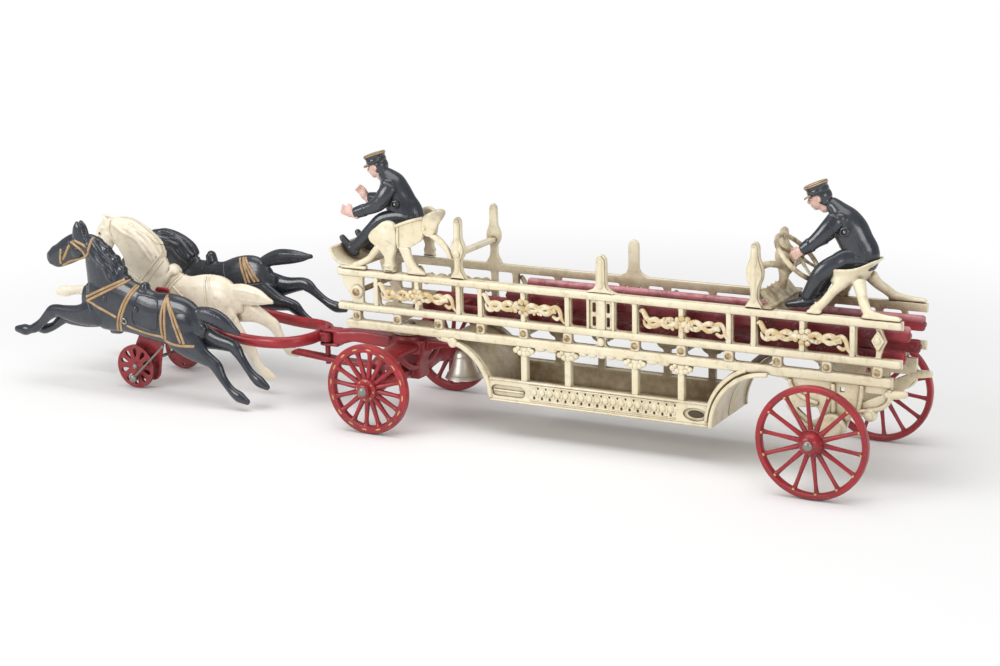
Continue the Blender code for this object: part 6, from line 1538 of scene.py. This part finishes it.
def front_seat():
    """Bench on two vase-shaped legs with front struts; the near side also has a plate, a back and struts."""
    top = SEAT_TOP
    shapes = [brick((-13, 10), about(0, 30), (top - 3.4, top), 1.2),
              brick((-13.5, -11), about(0, 29), (top - 7, top - 0.6), 1)]
    vase = [(-16.1, 148), (-13.2, 152.4), (-9.4, 155), (-5.3, 158.6), (-1.6, 160.8), (2.6, 161.4),
            (6.4, 160), (9, 156.4), (9.8, 150), (9.6, 143.2), (7.8, 137.4), (5.8, 132.8), (5.4, 129.2),
            (6.8, 126.2), (5.8, 123.6), (7.6, FOOT), (-3.6, FOOT), (-2.2, 123.6), (-3, 126.2),
            (-1.5, 129.2), (-2.2, 133.1), (-6.1, 137.4), (-10.4, 141), (-14.8, 144.2)]
    strut = [(10.2, 142), (20.6, 141.8), (21.4, 136), (23.6, 130.5), (27.4, 126), (34, 122.6), (34, FOOT),
             (18, FOOT), (18, 124.5), (14.6, 133)]
    plate = [(6.8, 157), (13.5, 159.4), (20.6, 162.3), (34.4, 166), (34.4, 157), (31.4, 148), (21, 141.6),
             (10, 139.6)]
    back = [(31.4, 155.5), (32.9, 166.2), (36.4, 169.2), (40.4, 171), (44.4, 173), (48.4, 174), (51.6, 173),
            (52.4, 170.6), (50.4, 167), (46.8, 162.4), (44.6, 158), (42.4, 153.4), (39.4, 151.6),
            (35.5, 151.4)]
    for s in (-1, 1):
        y = s * 31.2
        shapes.append(slab(rounded(vase, 2.4, 3), [], about(y, 2.6), 1.6))
        shapes.append(tube([(-7, y, 140.2), (-11, y, 136), (-16, y, 130.4), (-23, y, 126.2),
                            (-30, y, 123.4)],
                           [3.2, 3, 2.6, 2.6, 2.4], 14, 5))
        shapes.append(brick((-34, -19), about(y, 2.4), (FOOT, FOOT + 3), 1.4))
        shapes.append(ball((-1, y + s * 1, 148), (8.6, 2.8, 9), 24, 14))
        shapes.append(ball((1.8, y + s * 1, 126.2), (5.2, 2.8, 2.2), 18, 10))
        if s > 0:
            continue
        shapes.append(slab(rounded(strut, 2, 3), [], about(y, 2), 1.2))
        shapes.append(slab(rounded(plate, 2, 3), [], about(y, 1.4), 0.8))
        shapes.append(slab(rounded(back, 2.4, 3), [], about(y, 2.2), 1.4))
        out = y + s * 1.2
        shapes.append(tube([(8.6, out, 157.4), (20.8, out, 162.2), (33, out, 165.6)], 1.3, 12, 4))
        shapes.append(tube([(10.8, out, 156.6), (10.4, y + s * 1.4, 148), (10.6, out, 141)], [1, 1.4, 1],
                           12, 4))
        shapes.append(rod((34.6, y + s * 1.5, 158.2), (34.6, y + s * 3.6, 158.2), 2.3, 1.3, 20))
        shapes.append(tube([(39, y, 153), (45.5, y, 150), (52, y, 144), (56.6, y, 136.5)], [2, 2.6, 2.3, 2],
                           14, 5))
    return shapes


piece("front_seat_cast", "truck", painted(front_seat(), CREAM), ["front_seat"])
board = [(X0 - 6.8, FOOT + 13.4), (X0 - 5.6, FOOT + 10.4), (X0 - 3.6, FOOT + 7.2), (X0 - 0.3, FOOT + 4.1),
         (X0 + 5.7, FOOT + 1.6), (X0 + 12.7, FOOT + 1.2), (X0 + 18.2, FOOT + 1.2)]
shapes = [slab(ribbon(board, 1.15), [], (-30, 30), 0.6),
          tube([(X0 - 6.9, -29, FOOT + 13.4), (X0 - 6.9, 29, FOOT + 13.4)], 1.5, 12, 1)]
shapes += [brick((X0 + 4.7, X0 + 18.7), about(s * 30, 2.5), (FOOT, FOOT + 1.6), 0.5) for s in (-1, 1)]
piece("footboard_curled", "truck", painted(shapes, CREAM), ["footboard"])


def pan_ring(front, back, half, height):
    """One level of the saddle: a rounded outline that narrows to the back, height gives Z for each X."""
    ring = []
    for c, s in around(56):
        x = (front + back) / 2 + (back - front) / 2 * math.copysign(abs(c) ** 0.55, c)
        narrow = 1 - 0.42 * max(0, (x - front) / (back - front) - 0.45) / 0.55
        ring.append((WHEELBASE + x, half * narrow * math.copysign(abs(s) ** 0.6, s), height(x)))
    return ring


def rear_seat():
    """Dished saddle with a rolled rim on four bowed legs."""
    def rim(x):
        t = max(0, min(1, (x - 6) / 17))
        return 149.8 + 0.10 * (x + 11) + 4.4 * t * t * (3 - 2 * t)

    levels = [(-9.4, 7.5, 14.4, lambda x: 138.2), (-11, 10.4, 16.6, lambda x: 138.9 + max(0, x - 6) * 0.1),
              (-11.6, 13.6, 17.3, lambda x: 141.4 + max(0, x - 4) * 0.25),
              (-10.8, 17.6, 16.5, lambda x: rim(x) - 5), (-11.4, 21.4, 17.1, lambda x: rim(x) - 2.6),
              (-12, 23.4, 17.6, lambda x: rim(x) - 1.2), (-11.4, 22.8, 17, rim),
              (-10.2, 21.4, 15.8, lambda x: rim(x) - 0.2), (-9.2, 20, 14.8, lambda x: rim(x) - 1.6),
              (-8.4, 17, 13.6, lambda x: min(rim(x) - 2.6, 148.6)), (-4, 11, 7, lambda x: 148)]
    forms = [skin([pan_ring(*level) for level in levels])]
    x0 = WHEELBASE
    for s in (-1, 1):
        front = [(x0 - 1, s * 13, 140.5), (x0 - 6.4, s * 18, 134.6), (x0 - 11, s * 25, 127.6),
                 (x0 - 16, s * 29.8, FOOT + 1.8)]
        back = [(x0 + 11, s * 13, 141), (x0 + 14.5, s * 18, 134.6), (x0 + 18.6, s * 24.5, FOOT + 8.4),
                (x0 + 24, s * 29, FOOT + 3.2), (x0 + 34, s * 30, FOOT + 1.7), (x0 + 45, s * 30, FOOT + 1.4)]
        forms.append(tube(front, [4.6, 3.5, 3.3, 3.9], 14, 5, 0.85))
        forms.append(tube(back, [5, 4, 3.7, 3.4, 2.4, 1.8], 14, 5, 0.85))
        for a, b in ((x0 - 21, x0 - 10.5), (x0 + 19, x0 + 47)):
            forms.append(brick((a, b), about(s * 30, 2.6), (FOOT, FOOT + 2.2), 1))
    return melt(forms, 0.7, 3)


piece("rear_seat_cast", "truck", [(rear_seat(), CREAM)], ["rear_seat"], 50)

STEER_HUB = Vector((WHEELBASE - 39, 0, 153))
STEER_AXIS = Vector((math.sin(math.radians(45)), 0, math.cos(math.radians(45))))
foot = STEER_HUB - STEER_AXIS * 12
forms = [rod(foot - STEER_AXIS, STEER_HUB - STEER_AXIS * 4.6, 5.2, 4.4, 24),
         tube([foot, (foot.x - 1.5, 0, 138), (foot.x - 2.5, 0, 130)], [3.8, 3.2, 2.6], 14, 5)]
for s in (-1, 1):
    stay = [(REAR_POST, s * 26.6, 147), (REAR_POST + 4.6, s * 18, 150), (REAR_POST + 10.6, s * 8, 148),
            tuple(foot)]
    forms.append(tube(stay, [3, 2.5, 2.7, 3.2], 14, 5, cap=0))
post = melt(forms, 0.7, 3)
tip = rod(foot, STEER_HUB + STEER_AXIS * 4, 1.6)
nut = lathe([(0, 6), (1.6, 5.7), (2.6, 4.8), (2.9, 3.6), (0, 3.6)], STEER_HUB, STEER_AXIS, 24)
piece("steering_column", "truck", [(post, HANDLED), (tip, STEEL), (nut, HANDLED)],
      ["steering_post"], 50)
board = [(REAR_POST + 1.7, 130.6), (REAR_POST + 5.2, 128.2), (REAR_POST + 10.2, 122.4),
         (REAR_POST + 14.2, 117.4), (REAR_POST + 17.2, 116.2)]
shapes = [slab(ribbon(board, 1.15), [], about(0, 26.6), 0.5),
          brick((REAR_POST + 6.7, REAR_POST + 13.7), about(0, 32.6), (FOOT, FOOT + 2.2), 0.7)]
for k in range(5):
    y = -16 + 8 * k
    shapes.append(tube([(px - 0.4, y, pz + 1.1) for px, pz in board[:4]], 0.6, 8, 3))
piece("foot_plate_ribbed", "truck", painted(shapes, HANDLED), ["foot_plate"])
rim = lathe([(22.3, 0), (21.9, 1.3), (20.6, 1.8), (19.2, 1.3), (18.7, 0), (19.2, -1.3), (20.6, -1.8),
             (21.9, -1.3)], (0, 0, 0), (0, 1, 0), 72, True)
spoke = tube([(3.4, 0.8, 0), (9, 0.2, 0), (15, 0, 0), (19.6, 0, 0)], [1.7, 1.2, 1.1, 1.5], 10, 4)
hub = lathe([(1.8, 2.8), (3.4, 2.8), (4.6, 1.2), (4.9, -1.8), (4.4, -3.6), (1.8, -3.6)], (0, 0, 0),
            (0, 1, 0), 32, True)
grip = ball((20.5, 0, 0), (1.9, 2.15, 2.4), 12, 8)
wheel = [rim, round_the_hub(spoke, CREAM, 6, 30), hub, round_the_hub(grip, CREAM, 6, 30)]
turn = Matrix.Translation(STEER_HUB) @ Vector((0, 1, 0)).rotation_difference(STEER_AXIS).to_matrix().to_4x4()
piece("steering_hand_wheel", "steering_wheel", placed(painted(wheel, HANDLED), turn),
      ["steering_wheel"])


# Firemen

DRIVER = {
    "torso": [(1.4, 146, 13.6, 9), (1, 152, 14.8, 9.8), (0.6, 160, 14.4, 9.4), (-4.4, 168, 13.7, 9.4),
              (-9, 177, 12.8, 10), (-12.4, 184.4, 10.8, 9.6), (-16.4, 189.8, 7.2, 7.2),
              (-19.6, 193.2, 4.6, 4.6)],
    "head": (-25, 197), "lean": 12,
    "near_arm": [(-9, 183.5, 6.8, 4.3, -8.8), (-12, 178, 6.8, 4.4, -11), (-16.5, 171, 6.4, 4.3, -12.4),
                 (-22, 167.4, 5.6, 4, -12.8), (-30, 164.2, 4.6, 3.6, -13.4), (-38.5, 161.2, 4, 3.4, -14)],
    "far_arm": [(-9, 183.5, 6.8, 4.3, 8.8), (-14, 177.5, 6.6, 4.4, 11), (-21, 171.6, 5.8, 4.1, 12.2),
                (-31, 168.2, 4.8, 3.7, 13), (-42, 168.2, 4, 3.4, 13.8)],
    "near_hand": (-43.5, -14, 161.4, 16), "far_hand": (-46.5, 14, 170.2, 46),
    "leg": [(5, 155.5, 9.2, 4.8, -5), (-1, 157.4, 8.4, 4.7, -5.6), (-9, 157.2, 7.7, 4.5, -6.8),
            (-18, 154.6, 7, 4.3, -8.5), (-26.5, 147.6, 5.8, 4, -9.8), (-36, 138.4, 5, 3.8, -10.8),
            (-43.5, 131.6, 4.5, 3.6, -11.5)],
    "shoe": [(-40.5, 128.8, 3.4, 3.4, -11.5), (-44.4, 130.4, 3.9, 3.5, -11.5), (-49, 135.4, 3.2, 3.4, -11.5),
             (-53.2, 140.4, 2.3, 2.9, -11.5)],
    "cut": 150.6, "rivet": (-4.5, 169.6), "palm": 1.45,
}
STEERSMAN = {
    "torso": [(3, 147, 9.4, 8.4), (6.2, 152, 11.8, 9.6), (8.4, 159, 12.8, 9.4), (4.4, 167, 12.6, 9.4),
              (-0.5, 176, 12.7, 10), (-5.6, 184, 10.4, 9.6), (-10.4, 190.4, 6.2, 7),
              (-14.6, 194.6, 4.2, 4.6)],
    "head": (-23.4, 197.6), "lean": 16,
    "near_arm": [(-8, 184.5, 6.8, 4.2, -8.8), (-12.5, 178.6, 6.4, 4.3, -11), (-18.5, 171.6, 5.6, 4, -12.8),
                 (-24.5, 166, 4.8, 3.7, -14), (-30.2, 162, 3.9, 3.4, -15)],
    "near_hand": (-32.6, -15.2, 160.6, -40), "far_hand": (-32.6, 15.2, 160.6, -40),
    "leg": [(6, 155.4, 7.6, 4.8, -5.5), (0, 156.2, 7.6, 4.6, -7.2), (-6, 153.8, 6.8, 4.4, -10.6),
            (-13.5, 149.2, 6.6, 4.3, -13), (-18.6, 143.6, 6, 4.2, -14), (-22.6, 136, 5.4, 4, -14),
            (-26.8, 127.5, 4.8, 3.8, -14)],
    "shoe": [(-24, 124.8, 3.5, 3.4, -14), (-29, 124, 3.9, 3.5, -14), (-35, 122.8, 3.3, 3.4, -14),
             (-41, 121.6, 2.6, 2.9, -14)],
    "cut": 148.8, "rivet": (-1.6, 176), "palm": 1.3,
}
STEERSMAN["far_arm"] = [place[:4] + (-place[4],) for place in STEERSMAN["near_arm"]]


def hand(x, y, z, pitch, s, size):
    """Cupped hand with its fingers towards -X."""
    shapes = [ball((0, 0, 0), (3.4, 2, 2.7), 16, 10),
              limb([(2.2, 0, 2.2, 1.9), (5.2, 0.2, 2.3, 2.2)], 14, 3)]
    for k in range(4):
        dz = 1.9 - 1.25 * k
        shapes.append(tube([(-1.4, 0.2 * s, dz), (-4, 0.1 * s, dz * 1.05), (-5.8, -0.9 * s, dz)],
                           [0.85, 0.8, 0.65], 10, 3))
    shapes.append(tube([(0.4, -0.6 * s, 1.6), (-1.4, -1.4 * s, 3), (-3, -1.7 * s, 3.3)], [0.95, 0.85, 0.65],
                       10, 3))
    whole = melt(shapes, 0.45, 2)
    return moved(whole, Matrix.Translation((x, y, z)) @ tipped(pitch) @ Matrix.Scale(size, 4))


def cap_peak():
    """Thin peak, bent down to the front."""
    peak = []
    for k in range(13):
        a = math.radians(180 - 62 + 124 * k / 12)
        reach = 8.2 + 4.3 * math.cos((k - 6) / 6 * math.pi / 2) ** 0.7
        peak.append((reach * math.cos(a), reach * math.sin(a)))
    bm = bmesh.new()
    rows = []
    for lift in (0.9, -0.1):
        outer_row = [bm.verts.new((x, y, lift - 0.17 * max(-x - 7, 0) ** 1.25)) for x, y in peak]
        inner_row = [bm.verts.new((7.2 * x / math.hypot(x, y), 7.2 * y / math.hypot(x, y), lift + 0.2))
                     for x, y in peak]
        rows.append((outer_row, inner_row))
    (o1, i1), (o2, i2) = rows
    for k in range(12):
        bm.faces.new((i1[k], i1[k + 1], o1[k + 1], o1[k]))
        bm.faces.new((i2[k + 1], i2[k], o2[k], o2[k + 1]))
        bm.faces.new((o1[k], o1[k + 1], o2[k + 1], o2[k]))
        bm.faces.new((i1[k + 1], i1[k], i2[k], i2[k + 1]))
    bm.faces.new((i1[0], o1[0], o2[0], i2[0]))
    bm.faces.new((o1[12], i1[12], i2[12], o2[12]))
    bmesh.ops.recalc_face_normals(bm, faces=bm.faces)
    return bm


def cap_parts():
    """Round cap with piping, band, peak and badge."""
    cap = Matrix.Translation((0, 0, 3.2)) @ tipped(-7)
    crown = lathe([(0, 7.9), (5.4, 8.2), (8.4, 8), (9.5, 7.2), (9.6, 6.4), (8.8, 4.8), (8.3, 3.6),
                   (8.25, 0.3), (8, -0.6), (7, -1), (0, -1)], steps=48)
    piping = lathe([(9.5, 7), (9.95, 6.5), (9.5, 6), (9, 6.5)], steps=48, ring=True)
    edge_ring = lathe([(8.3, 7.9), (8.9, 8.15), (9.4, 7.5), (8.6, 7.3)], steps=48, ring=True)
    band = lathe([(8.35, 3.6), (8.7, 3.3), (8.7, 0.3), (8.35, 0), (8, 1.8)], steps=48, ring=True)
    badge = ball((-8.6, 0, 2.2), (0.5, 1.5, 1.7), 14, 8)
    top_disc = lathe([(0, 8.3), (5.4, 8.6), (8.3, 8.3), (9.1, 7.6), (8.4, 7), (0, 7)], steps=48)
    capped = [(top_disc, WORN_TOP), (crown, BLACK), (piping, TAN), (edge_ring, TAN), (band, BLACK),
              (cap_peak(), TAN), (badge, GILT)]
    return placed(capped, cap)


def head_parts(place, lean):
    """Plain doll-like head with a peaked cap, facing -X."""
    skull = [ball((0.8, 0, 1), (8, 6.7, 8.6), 24, 16), ball((-1.6, 0, -2.6), (6.6, 5.7, 6.8), 24, 16),
             ball((-4.4, 0, -6.6), (3, 3, 2.6), 16, 10), limb([(2.6, -9.5, 4.6, 4.3), (1.6, -4, 4.6, 4.4)],
            16, 3)]
    skull.append(limb([(-7.6, 1.4, 0.9, 0.8), (-8.9, -0.6, 1.1, 0.95), (-9.7, -2.2, 1.35, 1.25),
                       (-8.4, -3.2, 0.9, 1.3)], 12, 4))
    for s in (-1, 1):
        skull.append(ball((1.2, s * 6.7, -0.8), (1.7, 0.9, 2.4), 12, 8))
        skull.append(ball((-5.6, s * 3.1, -3.4), (2.2, 1.7, 1.7), 14, 8))
        skull.append(tube([(-7.1, s * 1.3, 1.9), (-7.2, s * 2.9, 2.3), (-6.1, s * 4.5, 1.7)],
                          [0.6, 0.65, 0.4], 10, 3))
    skull.append(tube([(-7, -1.9, -5.1), (-8, 0, -5), (-7, 1.9, -5.1)], [0.45, 0.8, 0.45], 10, 3))
    skull.append(tube([(-6.7, -1.5, -6), (-7.7, 0, -6.2), (-6.7, 1.5, -6)], [0.45, 0.75, 0.45], 10, 3))
    face = melt(skull, 0.42, 3)
    parts = [(face, FLESH)]
    for s in (-1, 1):
        parts.append((ball((-6.75, s * 2.6, 0.2), (0.95, 1.1, 0.75), 14, 10), IVORY))
        parts.append((ball((-7.45, s * 2.65, 0.15), (0.42, 0.5, 0.5), 12, 8), BLACK))
    parts.append((tube([(-7.2, -1.7, -5.55), (-8.05, 0, -5.6), (-7.2, 1.7, -5.55)], [0.15, 0.24, 0.15], 8,
                       3), TAN))
    hair = melt([ball((2.2, 0, 0.4), (7.6, 7, 7.6), 24, 16), ball((4.4, 0, -4), (4.8, 5.6, 4.6), 20, 12)],
                0.6, 2)
    parts.append((sliced(hair, (-1.2, 0, 0), (-1, 0, 0.25)), BLACK))
    parts += cap_parts()
    turn = Matrix.Translation((place[0], 0, place[1])) @ tipped(-lean) @ Matrix.Scale(0.94, 4)
    return placed(parts, turn)


def fireman(name, shape, x, stands):
    """Seated figure in two halves, its arms, legs, head, hands, seams, buttons and rivet."""
    trunk = [limb(shape["torso"], 28, 5),
             limb([s[:2] + (s[2] * 0.92,) + (s[3] * 1.02,) for s in shape["torso"][:3]], 20, 4)]
    legs = []
    for s in (-1, 1):
        trunk.append(ball((shape["torso"][5][0], s * 7.6, shape["torso"][5][1] + 0.4), (5.4, 4.2, 5), 20,
                          12))
        legs.append(limb([v[:4] + (-s * v[4],) for v in shape["leg"]], 18, 5, 0, 0.5))
        legs.append(limb([v[:4] + (-s * v[4],) for v in shape["shoe"]], 16, 5, 0, 0.8))
    collar_x, collar_z = shape["torso"][-1][:2]
    trunk.append(limb([(collar_x + 2.4, collar_z - 4.4, 5.6, 6), (collar_x, collar_z - 1.2, 5, 5.4)], 20, 3))
    trunk = sliced(melt(trunk, 0.6, 3), (0, 0, shape["cut"]), (0, 0, -1))
    arms = melt([limb(shape["near_arm"], 18, 5, 0, 0.4), limb(shape["far_arm"], 18, 5, 0, 0.4)]
                + [limb([v[:2] + (v[2] * 1.14, v[3] * 1.14, v[4]) for v in shape[arm_name][-2:]], 18, 3, 0,
                        0.2)
                   for arm_name in ("near_arm", "far_arm")], 0.55, 2)
    seated = melt(legs, 0.6, 3)
    whole = joined([trunk.copy(), arms.copy()])
    tree = BVHTree.FromBMesh(whole)
    whole.free()
    parts = painted(parted(trunk), BLACK) + [(arms, BLACK), (seated, BLACK)]
    parts += head_parts(shape["head"], shape["lean"])
    for s, key in ((-1, "near_hand"), (1, "far_hand")):
        hx, hy, hz, pitch = shape[key]
        parts.append((hand(hx, hy, hz, pitch, s, shape["palm"]), FLESH))
    px, pz = shape["rivet"]
    top = shape["torso"]
    for s in (-1, 1):
        ring = lathe([(2.1, 1), (3.2, 0.9), (3.8, 0.1), (3.4, -0.6), (2, -0.3)], (px, s * 10.3, pz),
                     (0, s, 0), 28, True)
        parts += [(ring, BLACK), (ball((px, s * 10.5, pz), (1.3, 0.7, 1.3), 14, 8), STEEL)]
        rear_seam = [(p[0] + p[2] * 0.45, p[1]) for p in top[1:6]]
        parts.append((strap(tree, rear_seam, s, 0.7, 0.35, 6, 30), BLACK))
        parts.append((strap(tree, [(top[1][0] - 12, top[1][1] + 1), (top[1][0], top[1][1] + 3),
                                   (top[1][0] + 13, top[1][1] + 2)],
                            s, 1.6, 0.5, 6, 30), BLACK))
        front_seam = [(p[0] - p[2] * 0.62, p[1]) for p in top[2:6]]
        parts.append((strap(tree, front_seam, s, 0.8, 0.4, 6, 30), BLACK))
    for k in range(4):
        sx, sz, high = top[2 + k][:3]
        for y in (-1.6, 1.6):
            parts.append((ball((sx - high * 0.93, y, sz - high * 0.28), (0.7, 0.8, 0.8), 12, 8), GILT))
    parts.append((rod((px, -10.3, pz), (px, 10.3, pz), 1.3), STEEL))
    piece("%s_figure" % name, "truck", placed(parts, Matrix.Translation((x, 0, 0))), stands,
          55)


fireman("driver", DRIVER, 0, ["driver_near_half", "driver_far_half", "driver_rivet"])
fireman("steersman", STEERSMAN, WHEELBASE, ["steersman_near_half", "steersman_far_half", "steersman_rivet"])


# Floor, light and camera

FLOOR_REACH = 9.0
FADE_START, FADE_END = 0.34, 0.80
ROOM_LIGHT = 0.42


def floor_finish():
    """Pale matt floor that turns plain white away from the truck."""
    mat = bpy.data.materials.new("pale_floor")
    mat.use_nodes = True
    tree = mat.node_tree
    tree.nodes.remove(tree.nodes["Principled BSDF"])
    make, link = tree.nodes.new, tree.links.new
    coords, flat, reach, fade = [make("ShaderNode" + kind)
                                 for kind in ("TexCoord", "VectorMath", "VectorMath", "MapRange")]
    matt, white, blend = [make("ShaderNode" + kind) for kind in ("BsdfDiffuse", "Emission", "MixShader")]
    flat.operation, reach.operation, fade.interpolation_type = "MULTIPLY", "LENGTH", "SMOOTHSTEP"
    flat.inputs[1].default_value = (1, 1, 0)
    fade.inputs["From Min"].default_value = FADE_START
    fade.inputs["From Max"].default_value = FADE_END
    matt.inputs["Color"].default_value = (0.93, 0.93, 0.93, 1)
    white.inputs["Color"].default_value = (1, 1, 1, 1)
    white.inputs["Strength"].default_value = 1
    link(coords.outputs["Object"], flat.inputs[0])
    link(flat.outputs["Vector"], reach.inputs[0])
    link(reach.outputs["Value"], fade.inputs["Value"])
    link(fade.outputs["Result"], blend.inputs[0])
    link(matt.outputs[0], blend.inputs[1])
    link(white.outputs[0], blend.inputs[2])
    link(blend.outputs[0], tree.nodes["Material Output"].inputs["Surface"])
    return mat


bm = bmesh.new()
bmesh.ops.create_grid(bm, x_segments=1, y_segments=1, size=FLOOR_REACH)
floor = working("floor", as_mesh(bm, "floor"))
floor.data.materials.append(floor_finish())
floor.location.z = -0.0002


def softbox(name, place, aim, size, watts):
    lamp = bpy.data.lights.new(name, "AREA")
    lamp.shape = "RECTANGLE"
    lamp.size, lamp.size_y = size
    lamp.energy = watts
    obj = working(name, lamp)
    obj.location = place
    obj.rotation_euler = (Vector(aim) - Vector(place)).to_track_quat("-Z", "Y").to_euler()
    return obj


softbox("overhead_softbox", (0.0, -0.25, 1.55), (0.0, 0.0, 0.05), (1.9, 1.1), 15.0)
softbox("left_softbox", (-1.1, -1.75, 0.95), (-0.05, 0.0, 0.08), (1.1, 0.8), 19.0)
softbox("right_fill", (1.7, -1.5, 0.7), (0.05, 0.0, 0.08), (0.9, 0.7), 9.0)

world = bpy.data.worlds.new("studio")
bpy.context.scene.world = world
world.use_nodes = True
tree = world.node_tree
back = tree.nodes["Background"]
back.inputs["Color"].default_value = (1, 1, 1, 1)
rays = tree.nodes.new("ShaderNodeLightPath")
level = tree.nodes.new("ShaderNodeMapRange")
level.inputs["To Min"].default_value = ROOM_LIGHT
level.inputs["To Max"].default_value = 1.0
tree.links.new(rays.outputs["Is Camera Ray"], level.inputs["Value"])
tree.links.new(level.outputs["Result"], back.inputs["Strength"])

CAM_PLACE = (0.8227, -1.3834, 0.4748)
YAW, PITCH_DOWN, ROLL = math.radians(-28.211), math.radians(-14.371), math.radians(-1.251)
FOCAL_PX, WIDTH_PX = 2089.6, 1000.0
SENSOR = 36.0

forward = Vector((math.sin(YAW) * math.cos(PITCH_DOWN), math.cos(YAW) * math.cos(PITCH_DOWN),
                  math.sin(PITCH_DOWN)))
right = Vector((math.cos(YAW), -math.sin(YAW), 0.0))
upward = right.cross(forward)
tilted_right = right * math.cos(ROLL) + upward * math.sin(ROLL)
tilted_up = upward * math.cos(ROLL) - right * math.sin(ROLL)
lens = bpy.data.cameras.new("camera")
lens.sensor_fit = "HORIZONTAL"
lens.sensor_width = SENSOR
lens.lens = FOCAL_PX / WIDTH_PX * SENSOR
lens.clip_start = 0.05
camera = working("camera", lens)
turn = Matrix((tilted_right, tilted_up, -forward)).transposed().to_4x4()
camera.matrix_world = Matrix.Translation(Vector(CAM_PLACE) + KING) @ turn
bpy.context.scene.camera = camera
bpy.context.scene.view_settings.view_transform = "Standard"
